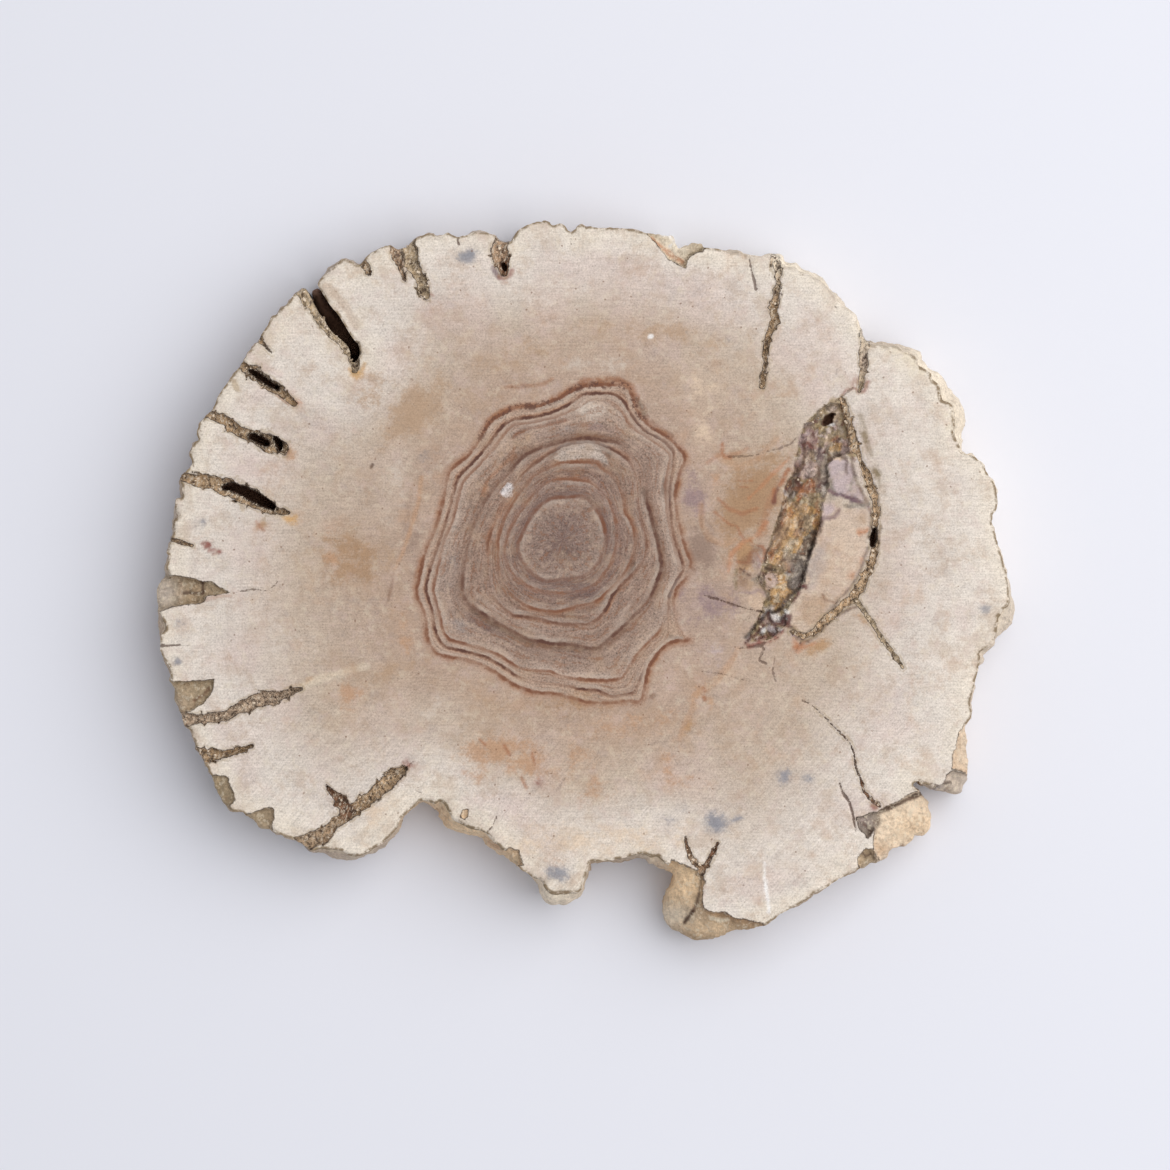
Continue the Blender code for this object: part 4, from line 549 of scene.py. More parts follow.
# Small crisp marks: paint, half width, strength and the line that the mark follows
STREAKS = (
    ("ring_brown", 0.5, 0.75, (
        (-6.3, 46.7), (-9.2, 46.1), (-12.1, 45.4), (-15.7, 44.7), (-18, 44.2), (-20, 42.8), (-21.5, 41.6),
    )),
    ("ring_brown", 0.6, 0.7, ((14.6, 53.6), (15.7, 51.5), (17, 49.3), (17.5, 45.9))),
    ("ring_brown", 0.4, 0.5, ((-2.3, 57.4), (3.3, 58.2), (7.8, 58.3), (11, 57.6), (13.2, 55.4))),
    ("dark_brown", 0.35, 0.7, ((24, -16.3), (27.3, -16.6))),
    ("dark_brown", 0.6, 0.7, ((12.1, 2.2), (13.2, 3.6), (13.4, 5.1))),
    ("brown", 0.4, 0.6, (
        (-21, -9.9), (-18.5, -10.1), (-16.5, -9.7), (-13.5, -9.7), (-10, -10.2), (-6.7, -10.4),
        (-3.4, -10.6), (1.7, -11.4),
    )),
    ("orange", 0.5, 0.6, ((-48, 30), (-49, 22), (-51.6, 13.7), (-53.5, 8), (-55.8, 3.1))),
    ("brown", 0.5, 0.55, ((5.9, 36.7), (7, 33.6))), ("brown", 0.7, 0.7, ((18.8, -33.5), (19.2, -33.6))),
    ("rust", 0.6, 0.7, ((34, -31.2), (34.2, -31.8))), ("rust", 0.6, 0.7, ((34, -33.8), (34.2, -34.4))),
    ("rust", 0.35, 0.75, ((39.2, 39.5), (39.3, 37), (39.8, 35.8), (41.5, 35.8))),
    ("rust", 0.25, 0.6, ((44, 29.2), (45.2, 29.1), (46, 28.8), (48, 29.2))),
    ("rust", 0.2, 0.5, ((44.5, 27.5), (46.5, 27.2))),
    ("brown", 0.25, 0.5, ((33.3, 22), (33, 18), (33.5, 14.5), (35, 12), (37.5, 10.8))),
    ("rust", 0.3, 0.55, ((37, 20), (40, 17.5), (41.5, 16.3), (43.5, 16), (44.5, 13.5), (45.5, 12.2))),
    ("rust", 0.35, 0.75, ((47.2, 11.8), (48.5, 10.5), (50.8, 10), (51.5, 9), (51.2, 6.5))),
    ("rust", 0.3, 0.6, ((43.5, 5.6), (45.5, 5.4), (46.8, 5.2), (47.4, 8.4), (49.2, 8.6), (50.8, 5.4))),
    ("olive", 0.3, 0.6, ((43.4, 3.4), (43, 1), (43.2, -2.4))),
    ("dark_brown", 0.2, 0.8, ((44.4, 3.6), (45.4, 2.8), (47.4, 1.4))),
    ("dark_brown", 0.2, 0.8, ((45.8, 3.6), (45.2, 2.2))),
    ("mauve", 0.25, 0.6, ((44, -3.4), (46.4, -3.2), (47.6, -3.6), (50, -2.6), (52.8, -5))),
    ("brown", 0.3, 0.45, ((25.8, 14), (27, 9), (29, 5.4), (31, 3))),
    ("orange", 0.8, 0.5, ((44, -20), (40, -26), (34.9, -31.7))),
    ("orange", 0.8, 0.45, ((31, -36), (28.5, -41), (26.7, -46))),
    ("rust", 0.6, 0.8, ((54.3, 26.5), (54.2, 23.5))),
    ("rust", 0.4, 0.8, ((56, 27.8), (57, 29.6), (58.4, 32.4))),
    ("yellow_cream", 1, 0.4, ((-84, -31.6), (-78, -28.7), (-72, -26.7), (-64, -24.6))),
    ("rust", 0.5, 0.4, ((-110.5, -5.2), (-107, -4.4), (-103.5, -4.2))),
    ("red", 0.3, 0.7, ((-111.6, 10.8), (-110.4, 11.2), (-109.2, 10.2), (-110.8, 9.6))),
    ("red", 0.3, 0.7, ((-109.6, 8.8), (-108, 9.2), (-106.6, 8.4), (-108.4, 7.8))),
    ("brown", 0.3, 0.5, ((-55.8, 3.1), (-57, -3), (-58.5, -8))),
    ("chalk", 0.3, 1, ((51.5, -81.5), (51.5, -86), (52.3, -92), (52.7, -96))),
    ("chalk", 0.5, 0.9, ((18.4, 71), (18.7, 71))),
    ("dark_brown", 0.7, 0.75, ((-13, 51.2), (-10, 51.8), (-7.5, 53), (-4.5, 55.4))),
    ("dark_brown", 0.5, 0.8, ((-2, 56.9), (2, 57.3), (7, 57.1))),
    ("ring_rust", 0.6, 0.6, ((-2, 58), (4, 58.8), (9, 58.5), (13, 56.4), (15, 53))),
    ("dark_brown", 0.6, 0.8, ((14.2, 53), (15.4, 51), (16.4, 48.5))),
    ("ring_rust", 0.8, 0.7, ((-28, 46.6), (-25, 49), (-20, 50.6), (-15, 51))),
    ("brown", 0.7, 0.6, ((19, 46), (22, 43.6), (24.4, 42))),
    ("dark_brown", 0.5, 0.8, ((22.6, 29), (22.4, 25.5))),
    ("dark_brown", 0.5, 0.8, ((25.6, 28), (25.4, 25))),
    ("dark_brown", 0.6, 0.75, (
        (-10.5, 36), (-8.5, 38.4), (-5.5, 40.2), (-1, 40.8), (3, 40.2), (5.6, 38.6), (6.6, 36.4),
    )),
    ("umber", 0.7, 0.7, ((-33, -8.5), (-29, -11.4), (-25, -13.6), (-20.5, -16.4), (-16, -18.2))),
    ("umber", 0.5, 0.6, ((-14, -18.4), (-8, -19.2), (-1, -19.8), (3.5, -19.6))),
    ("ring_rust", 0.5, 0.5, ((-25, 56), (-20, 56.4), (-13, 57), (-10, 58.5))),
    ("ring_rust", 0.5, 0.5, ((-30, 25), (-29, 29), (-25, 33), (-21, 36.5))),
    ("ring_rust", 0.5, 0.5, ((-28.6, 8), (-28, 14), (-25, 20), (-21, 25.5))),
    ("umber", 0.5, 0.6, ((16.2, 27), (18, 20), (20.6, 12), (21.2, 5))),
    ("umber", 0.5, 0.7, ((2.5, -5.2), (5.5, -3.8), (9, -2.4))),
    ("dark_brown", 0.2, 0.9, ((-62.7, 33), (-62.2, 33.8))),
    ("brown", 0.25, 0.7, ((-51.2, 58.6), (-50.6, 58.3))),
    ("umber", 0.3, 0.7, ((-8.7, -60.7), (-6.5, -57.4))),
    ("yellow_cream", 0.6, 0.8, ((-87.8, 19.8), (-87.2, 19.8))),
    ("tan", 1.4, 0.4, ((-75.5, 85), (-70, 80), (-67, 74))),
    ("rust", 0.3, 0.6, ((-31, -46), (-29.6, -47.4))), ("rust", 0.3, 0.6, ((-24, -47.6), (-22.4, -50.4))),
    ("rust", 0.25, 0.6, ((-16, -50), (-15, -53.6))), ("rust", 0.3, 0.6, ((-19, -57), (-17.6, -60))),
    ("sienna", 0.5, 0.5, ((60, -16.8), (61, -20.4), (63.4, -19), (66, -18))),
    ("sienna", 0.5, 0.5, ((41, 3), (42, 8), (45, 11), (49, 13), (52, 17))),
    ("sienna", 0.4, 0.45, ((47, 24), (50, 27), (54, 31), (58, 35))),
    ("rust", 0.3, 0.5, ((38, 24), (41, 21), (45, 19.4), (49, 21))),
    ("rust", 0.9, 0.3, ((59, 32), (55.6, 28), (53.2, 24), (51.8, 18.4), (50.6, 13))),
    ("dark_red", 0.5, 0.6, ((55.4, 27), (54.6, 25), (54.2, 23))),
    ("orange", 0.9, 0.35, ((55, 41), (49, 35), (44, 33), (38, 36))),
    ("orange", 0.7, 0.35, ((33, 22), (33.4, 16), (35.6, 12.4), (40, 10.4), (43, 12))),
    ("hole", 1.6, 0.5, ((49, 9.2), (48.4, 7), (46, 5.6))), ("hole", 1, 0.35, ((44.6, 2.6), (45.6, -1))),
    ("rust", 0.5, 0.35, ((46.6, 38.6), (43.6, 37), (38, 36.4), (35, 34.4))),
    ("purple", 0.6, 0.7, ((-27.2, 91), (-26.6, 89.6), (-25.6, 88))),
    ("red", 0.6, 0.7, ((-25.4, 88), (-24, 87.6), (-22.4, 88.6), (-21.8, 90))),
    ("rust", 0.4, 0.5, ((-24.6, 86.4), (-23, 86.6))), ("red", 0.35, 0.6, ((-45.8, 83.4), (-44.6, 82.8))),
    ("olive", 0.5, 0.4, ((79.2, 48), (80.6, 44.6), (81.2, 40.4), (82.6, 36.4))),
    ("olive", 0.4, 0.4, ((83, 33), (84.6, 30.4), (85, 27))),
    ("rose", 0.9, 0.4, ((-98, 66), (-94, 62), (-89, 60))),
    ("gold", 0.4, 0.7, ((-69, 61.5), (-67.5, 60), (-65.4, 60.6), (-64.4, 63))),
    ("rust", 0.35, 0.7, ((-87.5, 54), (-85.8, 52.6), (-84.6, 51.6))),
    ("rust", 0.3, 0.6, ((-90, 54), (-88, 52.4), (-86.6, 51.4))),
    ("rust", 0.3, 0.5, ((-87.4, 39), (-86.6, 37.2), (-86.8, 36))),
    ("gold", 0.35, 0.6, ((-88, 18.4), (-86, 17.8), (-84.4, 18.8))),
    ("rust", 0.3, 0.5, ((-96, 17.4), (-94.8, 15.6), (-93.6, 14.6))),
)

# Hairline cracks in the sawn face: half width, darkness and the line
HAIRLINES = (
    (0.25, 0.8, ((-103.5, -3.3), (-100, -3), (-97, -2.4), (-93, -2.9), (-91, -1.6), (-89.8, -0.2))),
    (0.15, 0.5, ((-92.6, -2.6), (-91, -3.2))), (0.55, 1, ((-117, -3.5), (-111.5, -2.5), (-111, -0.5))),
    (0.5, 0.9, ((-124, -18.8), (-121, -18.8), (-118, -18.5))), (0.2, 0.6, ((-118, -18.5), (-113, -19))),
    (0.2, 0.7, ((-52.5, -54.5), (-50.5, -52.3))),
    (0.2, 0.6, ((-55, -57.5), (-52.5, -59.3), (-50, -60.5), (-48, -61.5))),
    (0.4, 0.9, ((-29, -72.8), (-27.3, -71), (-26.3, -68.3))),
    (0.3, 0.9, ((66.5, -37.2), (65, -35.8), (62.3, -34.6))),
    (0.4, 0.8, ((97, -58), (100, -58.8), (103, -60))),
    (0.45, 1, ((73.2, -58.5), (74, -61), (76, -64), (77, -67), (77.5, -70), (78, -72.5))),
    (0.2, 0.6, ((77, 56), (74, 53.5), (72, 52))),
    (0.1, 0.3, ((72.2, 61.3), (73.5, 62), (74.8, 61.2), (75, 60), (73.6, 59), (72.1, 60), (72.2, 61.3))),
    (0.45, 0.9, ((47, 93.5), (47.7, 90), (48.5, 87), (49, 84.7))),
    (0.7, 0.9, ((-37.5, 99.5), (-37.3, 97.5))), (0.3, 0.7, ((-4.7, 99.5), (-4.6, 97.8))),
    (0.5, 0.8, ((72, 79.7), (72.2, 79.3))),
    (0.2, 0.65, ((41, 36), (48, 36.3), (52, 37.5), (56, 38.5), (59, 39.8), (61.5, 42.3))),
    (0.22, 0.95, ((33, -3.9), (38, -5.3), (42, -6.8), (47, -8.2), (51, -9))),
    (0.12, 0.4, (
        (44.2, -9.4), (45.6, -8.2), (47.3, -9.2), (47, -11), (45.4, -11.5), (44.2, -10.6), (44.2, -9.4),
    )),
    (0.2, 0.8, ((48, -19), (50, -18.8), (51.5, -19.5), (50.5, -21.5), (49.8, -23), (52, -24))),
    (0.16, 0.6, ((27.8, -26.3), (33, -26.2), (39, -26.9), (44, -28.4), (48.5, -29.3))),
    (0.2, 0.8, ((57, -15.5), (53, -17.5), (48, -19), (44, -19.6))),
    (0.2, 0.7, ((62, -17.5), (60.5, -20.5), (61.5, -23))),
    (0.2, 0.8, ((50.5, -14), (48, -16), (45.5, -18.3))),
    (0.2, 0.7, ((54.5, -22), (53.8, -26), (54.6, -29))),
)

# Flakes with crisp edges let into the sawn face: paint, strength and outline
FLAKES = (
    ("khaki", 0.7, ((-103.4, 58.6), (-101.6, 58.6), (-100.8, 56.4), (-101, 54.8), (-102.6, 55.6))),
    ("khaki", 0.6, ((-100.9, 23.6), (-99.4, 23.8), (-99, 21), (-99.8, 19.6), (-100.8, 21))),
    ("khaki", 0.6, ((-94.4, 18.4), (-93.2, 18.6), (-93, 16.4), (-94, 15.4), (-94.8, 16.6))),
    ("hole", 0.5, (
        (43.5, 4), (45, 5), (46.8, 5), (47.5, 8.5), (50.5, 8), (51.5, 9.5), (48, 11.5), (44.5, 10.5),
        (43.3, 7.5),
    )),
    ("mauve", 0.6, ((47.5, 8.3), (49, 8.3), (51, 5), (50.5, 3.5), (47.5, 3.2), (47, 5))),
    ("hole", 0.45, ((43.2, 3), (45, 3.5), (47.5, 2.8), (48, 0), (47.5, -2.5), (44, -3.2), (43, -0.5))),
    ("peach", 0.7, ((47, -4), (50, -3), (52.5, -5), (52, -8), (49, -8.5), (46.5, -6.5))),
    ("white", 0.95, (
        (-25.3, 25.8), (-24.4, 27.2), (-23.3, 28), (-21.8, 28.5), (-21.7, 26.3), (-21.3, 24.3),
        (-23.7, 24.2),
    )),
    ("crescent", 0.95, (
        (-9.7, 35.3), (-8.6, 37), (-7, 38.1), (-4, 39.3), (-1, 39.9), (1.3, 39.4), (3.7, 38.6), (4.7, 36.7),
        (6, 34.9), (6.9, 33.2), (5.3, 34), (2.7, 35.2), (-1, 35.6), (-5.3, 34.9), (-8, 34.6),
    )),
)
# The knot's patches: depth below the face, or -1 for rubble on its rough floor, paint and corners
KNOT_PATCHES = (
    (-1, "moss", (
        (66, 46), (68, 50), (71, 53), (75, 53), (76, 46), (78, 40), (79, 37), (76, 36), (73, 37), (70, 36),
        (67, 37), (66, 40),
    )),
    (-1, "khaki", ((66, 48.5), (68, 50.3), (71, 50.5), (71.5, 48), (69, 45.8), (66.5, 45.5))),
    (-1, "mauve", (
        (61.5, 42.5), (65, 44.5), (67, 42), (67.5, 39), (66, 37), (64, 36), (63.5, 33), (62, 30),
        (60, 30.5), (60, 33), (62, 37), (61.3, 40),
    )),
    (-1, "slate", (
        (66, 39), (69.5, 38.5), (70, 34), (69.5, 30), (70.5, 27), (68.5, 23), (66, 24), (67, 29), (66, 32),
    )),
    (-1, "khaki", ((64, 33.5), (66, 34), (66, 38), (65, 37.5))),
    (-1, "stripe", (
        (57, 26), (58.5, 29.5), (61.5, 30.5), (62, 28), (60.5, 25), (59.5, 23.5), (57.5, 24.5),
    )),
    (-1, "sienna", (
        (60.3, 23), (61.5, 26.5), (63, 28.5), (65.5, 29.8), (67, 28), (66, 25.5), (63.5, 25), (61.5, 22.8),
    )),
    (-1, "moss", ((62, 22.5), (63.5, 25.3), (67.5, 25.5), (68.5, 22.5), (66, 20.5))),
    (-1, "gold", (
        (57, 22), (60, 23), (66, 21.5), (68, 20), (67.5, 15), (65, 10), (62, 8), (60, 6), (57, 4), (55, 5),
        (52.5, 5), (53.5, 9), (55, 14), (56.3, 19),
    )),
    (-1, "khaki", ((58.5, 12.5), (60.5, 12), (60, 8), (58.5, 4.5), (56.5, 3.5), (56.5, 7), (57.5, 10))),
    (-1, "khaki", ((62.5, 19), (66, 19), (66, 15), (63, 13.5))),
    (-1, "stripe", (
        (67.5, 14.5), (65.5, 15), (63, 12), (61, 8), (58.5, 6), (58, 3), (56.5, 0), (57, -3), (60, -3),
        (62.5, -1), (63.5, 3), (65, 7), (66.5, 11),
    )),
    (-1, "gold", (
        (55, 2), (57, 2.5), (58, -1), (60, -3), (57, -6), (55.5, -8.5), (53.5, -8.5), (52.8, -5),
        (54, -1.5),
    )),
    (0.6, "pink", (
        (51.2, 1.8), (52.4, 3), (54.6, 2.4), (55.4, -0.5), (54.3, -2.4), (52.4, -1.8), (51.4, 0),
    )),
    (0.8, "chalk", ((53, -9.6), (55, -9), (56.6, -10.4), (56, -12), (54.2, -12.2), (53, -11.2))),
    (0.8, "chalk", ((50, -13.4), (51.6, -13.6), (52, -15), (51, -15.8), (49.8, -15))),
    (0.8, "cool_grey", ((52, -12.6), (54, -12.8), (54.6, -14.2), (53.2, -15.2), (52, -14.4))),
    (0.7, "chalk", ((55, -13.4), (56.4, -13.8), (56, -14.8), (54.8, -14.7))),
    (0.7, "chalk", ((57, -8), (58.6, -8.6), (58.4, -10), (57, -9.6))),
    (0.9, "rose", ((63.4, 32.8), (65.4, 33.2), (67, 32), (66.6, 30.4), (64.5, 29.6), (63, 30.5))),
    (0, "beige", (
        (73, 21.3), (80.5, 21), (82.2, 17), (81.2, 11), (80, 7), (77, 0), (72, -6), (66, -13), (62, -16),
        (59, -13.5), (59.5, -8), (60.5, -5), (62.5, -1), (64, 5), (67, 13), (69, 18.3), (71, 18.4),
    )),
    (0.3, "lilac", (
        (70, 34), (72, 36), (74, 36), (76, 34.5), (77.5, 31), (79, 27.5), (81, 22.7), (79, 22.3),
        (76, 24.5), (73, 25.5), (71.5, 27), (70.2, 30), (69.6, 32),
    )),
    (0.5, "rose", ((68.7, 22.6), (71, 23), (73.4, 21.2), (72, 19.5), (70, 18.6), (68.7, 19.2))),
)

# Flecks all over the knot's rubble: paint, size, threshold, strength, and the lowest and highest y
KNOT_FLECKS = (
    ("umber", 2.2, 0.45, 0.4, -20, 54), ("purple", 2.4, 0.25, 0.55, 27, 48),
    ("dark_red", 1.7, 0.3, 0.85, 26, 47), ("rose", 1.5, 0.35, 0.8, 34, 46),
    ("slate", 1.8, 0.3, 0.7, 34, 54), ("cream", 1.3, 0.4, 0.85, 24, 52), ("rust", 1.9, 0.4, 0.5, 2, 30),
    ("yellow_cream", 1.6, 0.4, 0.6, -9, 26), ("dark_red", 1.4, 0.1, 0.85, -20, -8),
    ("white", 1.5, 0.3, 0.9, -18, -8),
)

# Rough colours in and beside the knot, and one painted glint: x, y, reach along and across, turn, paint and
# strength
KNOT_SPOTS = (
    (65.5, 41.5, 2.4, 3, 0, "red", 0.3), (64, 36, 2, 2.4, -20, "peach", 0.35),
    (68, 32, 2.4, 4, -10, "sand", 0.3), (64, 26, 2.4, 2, 0, "rust", 0.35),
    (61.5, 2, 2.2, 4, -15, "ash", 0.5), (62, 17, 3, 5, -20, "apricot", 0.2),
    (72, 49, 2.4, 3, 0, "peach", 0.4), (57, 5, 2, 3, -20, "peach", 0.3), (53, -12, 3, 3, 0, "rose", 0.3),
    (71, 45.4, 1.2, 0.6, 40, "chalk", 0.9), (66.4, 43, 0.6, 1.1, 0, "rose", 0.9),
    (64, 42.6, 0.8, 0.7, 0, "lilac", 0.8), (65.6, 42, 0.6, 1.4, 20, "dark_red", 0.8),
    (65, 39.4, 2, 0.6, -40, "red", 0.7), (72.5, 39, 2, 1.2, 20, "gold", 0.8),
    (76, 38.5, 0.8, 2, 30, "red", 0.6), (77, 36, 0.6, 1.4, 40, "dark_red", 0.6),
    (78.4, 34.8, 0.6, 0.9, 20, "white", 0.8), (72, 41.6, 1.4, 0.8, 20, "sienna", 0.6),
    (70, 39, 0.7, 1.6, 0, "slate", 0.7), (73.5, 44.5, 1.6, 1, 0, "slate", 0.5),
    (61.5, 29.8, 0.9, 0.8, 0, "black", 0.7), (57.6, 25.8, 0.5, 1.2, 30, "white", 0.6),
    (60.6, 32, 0.8, 1.6, -10, "umber", 0.6), (53.5, 7, 0.8, 1.8, -25, "rust", 0.7),
    (55, 10, 0.8, 2, -25, "rust", 0.7), (56, 12.6, 0.6, 1.2, -20, "rust", 0.6),
    (58.4, 14, 1.2, 6, -22, "gold", 0.7), (58.6, 20, 1, 2, -20, "sienna", 0.6),
    (57, 17, 0.8, 2.4, -20, "sienna", 0.7), (62.6, 15, 0.6, 0.5, 0, "umber", 0.8),
    (62.4, 15.2, 0.5, 3, 0, "umber", 0.5), (64.8, 9, 0.8, 4.5, -22, "umber", 0.6),
    (62.8, 3, 0.5, 3, -10, "umber", 0.5), (58.2, 2, 0.8, 0.6, 0, "white", 0.6),
    (58, 8, 0.5, 2.4, -25, "yellow_cream", 0.7), (55.8, 0.4, 0.4, 1.4, -30, "yellow_cream", 0.8),
    (59, -4.6, 0.6, 1.6, -40, "slate", 0.8), (51, 2, 1.2, 0.6, 10, "dark_red", 0.8),
    (50.2, 1, 1.2, 1.6, 30, "slate", 0.5), (58.8, -13.4, 2.6, 0.9, -15, "tan", 0.7),
    (61, -16.2, 2.6, 0.6, -8, "mauve", 0.9), (57, -6.8, 1.6, 0.5, 40, "slate", 0.8),
    # The white spot at (73.4, 25) is a painted glint
    (73.4, 25, 0.8, 0.4, 0, "white", 0.9), (77, 23.6, 3.6, 1, -22, "slate", 0.8),
    (71, 24.6, 0.6, 2, -30, "slate", 0.6), (72.4, 35.8, 2, 0.7, 10, "peach", 0.8),
    (67, 5, 2.6, 8, -18, "cool_grey", 0.45), (70.5, 20.6, 1.6, 1.4, 0, "lilac", 0.7),
    (71, 6, 2.4, 8, -25, "peach", 0.35), (66, -8, 4, 6, -35, "dun", 0.5),
    (80, 14.4, 2, 1, 30, "sienna", 0.8), (79.8, 18, 0.7, 3, 0, "tan", 0.6),
    (79.4, 6.2, 0.8, 1.8, -20, "sienna", 0.6), (76.4, 1.6, 1, 1.8, -15, "sienna", 0.6),
    (78.6, 4, 1, 5, -24, "tan", 0.5), (74, -4, 1.4, 3, -40, "orange", 0.35),
    (68, -12, 1.2, 2, -40, "ochre", 0.5), (77.6, -2.6, 1, 2, -40, "cool_grey", 0.6),
    (70.6, -11, 1.2, 0.8, 30, "slate", 0.6), (81.6, 27, 0.5, 3, 20, "yellow_cream", 0.6),
    (80.4, 30.4, 0.8, 1.6, 20, "olive", 0.5), (83.2, 21, 0.5, 1.6, 0, "umber", 0.7),
)

# Outlines in and round the knot: paint, half width, strength and the line
KNOT_LINES = (
    ("dark_brown", 0.25, 0.9, (
        (57.5, 23.5), (56.3, 20), (55.5, 16.5), (54.4, 13), (53.2, 10), (52, 7.6), (51.7, 5.5),
    )),
    ("dark_red", 0.25, 0.7, ((57.6, 21.5), (56.8, 18.5), (56, 15.5))),
    ("umber", 0.3, 0.8, ((63, 38.5), (63, 36), (62.4, 33.6), (61, 31))),
    ("black", 0.35, 0.9, (
        (67.6, 14.6), (66.4, 13), (65.4, 10.6), (64.6, 8.4), (63.6, 4), (62.6, 1), (62.2, -1.4),
    )),
    ("dark_brown", 0.3, 0.8, ((68.3, 18), (67.6, 15.5), (66.8, 14))),
    ("dark_brown", 0.25, 0.8, ((70.2, 35.2), (71.6, 36.6), (73.6, 36.9), (75, 35.4))),
    ("slate", 0.3, 0.9, ((69.6, 33), (70.2, 29.6), (71.4, 26.6), (72.4, 25))),
    ("purple", 0.35, 0.8, ((70.4, 26.2), (72.8, 25), (75, 24.6), (77.4, 23.9), (79.6, 22.5), (81.6, 21.3))),
    ("purple", 0.3, 0.75, ((75.4, 24.2), (77.6, 23.1), (79, 22.4))),
    ("dark_brown", 0.2, 0.7, ((75.2, 34.6), (75, 32.6), (75.3, 31))),
    ("slate", 0.2, 0.7, ((77.4, 30), (76.6, 28), (76.3, 26.4))),
    ("umber", 0.25, 0.8, ((76.6, 35.4), (77.4, 31), (78.6, 28), (80.4, 24.6), (81.6, 22))),
    ("slate", 0.35, 0.9, ((81.6, 22.2), (80.2, 21.8), (78, 22), (76.4, 21.4), (75, 21.8))),
    ("purple", 0.3, 0.75, ((68.6, 18.5), (70, 18), (71.6, 18.4), (72.8, 19.4), (73.4, 20.8))),
    ("black", 0.3, 0.8, ((51.8, 3.8), (53, 3.4), (54.4, 3.4))),
    ("black", 0.35, 0.8, ((50.2, 1), (50.6, -0.8), (51.6, -2.6), (52.2, -3.6), (53, -5.4))),
    ("slate", 0.3, 0.8, ((48.2, 0.6), (49.2, 0.2), (49.6, -1), (48.6, -0.6))),
    ("black", 0.35, 0.85, ((62.2, -1.6), (60.6, -3), (58.6, -4), (57.4, -6), (56.2, -8.2), (54, -9))),
    ("dark_red", 0.2, 0.85, ((61.6, -3.4), (60.8, -4.6), (59.8, -6))),
    ("dark_red", 0.22, 0.85, ((62, -1.2), (63.2, -1.2), (63.6, -2))),
    ("black", 0.3, 0.8, (
        (53, -8.6), (51.6, -9.6), (51, -11), (49.6, -12.2), (48.2, -13.4), (47.4, -15), (46, -16.4),
    )),
    ("dark_red", 0.25, 0.9, (
        (52.6, -9.4), (53, -11), (54.2, -12.2), (56, -12.4), (57.4, -12.6), (59, -13.4),
    )),
    ("dark_red", 0.25, 0.9, ((59, -10), (57.6, -10.4), (56.8, -11.6), (58.6, -12.2), (59, -10))),
    ("dark_red", 0.25, 0.85, ((51.2, -13), (50, -14), (48.8, -15.8), (47.2, -16.6), (46, -18.2))),
    ("dark_red", 0.28, 0.85, ((56.6, -14.4), (54.8, -15.6), (53, -15.4))),
    ("red", 0.3, 0.9, ((51.8, -16.2), (50, -16.6), (49.4, -18), (47.8, -19), (46.6, -19))),
    ("red", 0.25, 0.8, ((56.4, -15), (54.6, -16.6), (52.6, -17.6), (50, -18))),
    ("dark_red", 0.2, 0.8, ((54.8, -12.6), (54.6, -13.6), (55.6, -14.8))),
    ("dark_brown", 0.2, 0.8, ((59, -13.4), (60.8, -14.8), (62.6, -15.8), (64, -15.2))),
    ("dark_brown", 0.25, 0.8, (
        (61, -16.8), (64, -17.4), (66, -16.4), (67.4, -14.6), (69.6, -12.4), (72.4, -10), (76, -8.2),
        (79, -7), (80.4, -8.4),
    )),
    ("umber", 0.2, 0.7, (
        (64, -15.2), (66.2, -13.4), (68.6, -11), (70.6, -8.8), (72.4, -6.4), (75, -3.4), (77, -0.8),
        (78.6, 1.4), (80, 5), (81.4, 9.6),
    )),
    ("umber", 0.22, 0.8, (
        (77, -5.4), (79.2, -2), (81.2, 0.6), (82.4, 4.4), (83.6, 7.6), (84.4, 11), (85, 16),
    )),
    ("brown", 0.15, 0.7, ((68.2, -4), (69.4, -5.4), (71.6, -6.2))),
    ("umber", 0.2, 0.7, ((85, 20), (84, 25), (82.4, 28.6), (80.8, 33), (79, 37), (78.2, 41), (76.6, 45))),
    ("white", 0.3, 0.7, ((77.2, 46), (78.8, 41), (79.4, 37.4), (81, 33), (83, 28.6))),
    ("dark_brown", 0.25, 0.8, ((82, 20.4), (82.6, 18), (82.4, 15.4), (81.8, 12.6))),
    ("rose", 0.3, 0.9, ((77.4, 38.6), (76, 38), (74.6, 38.6), (74.6, 37))),
    ("rose", 0.25, 0.8, ((63, 30), (62.8, 31.8), (64, 33.4), (66, 33.6))),
    ("khaki", 0.35, 0.8, ((67, 39.4), (69, 40.8), (71.4, 42))),
    ("red", 0.18, 0.7, ((73.8, 54), (75.4, 55.4), (77.6, 55.8), (79, 54.8), (80.4, 55), (81.4, 58))),
    ("red", 0.18, 0.6, ((77, 56.4), (77.6, 58.6), (78.6, 57.2), (79, 59), (80.2, 57))),
)

# Each ring's line: half width, paint, reach of the stain outside it and the stain's paint
RING_LINES = (
    (0.6, "ring_brown", 2.8, "dusk"), (0.35, "ring_brown", 1.6, "ring_rust"),
    (0.4, "ring_brown", 1.8, "ring_rust"), (0.45, "ring_dark", 1.6, "ring_rust"),
    (0.55, "ring_dark", 2.8, "brown"), (0.4, "ring_brown", 1.4, "ring_rust"),
    (0.4, "ring_dark", 1.3, "ring_rust"), (0.5, "ring_brown", 2.3, "ring_rust"),
)

# The stage
FLOOR_COLOUR = (0.80, 0.81, 0.87)
FILL_COLOUR = (0.95, 0.96, 1.0)
FILL_STRENGTH = 0.47
LIGHTS = (("key", (1.0, 0.35, 1.45), 2.3, 33.5, (1.0, 0.99, 0.98)),)
FRAME_WIDTH = 0.3393
FRAME_CENTRE = (-0.00058, -0.00116)

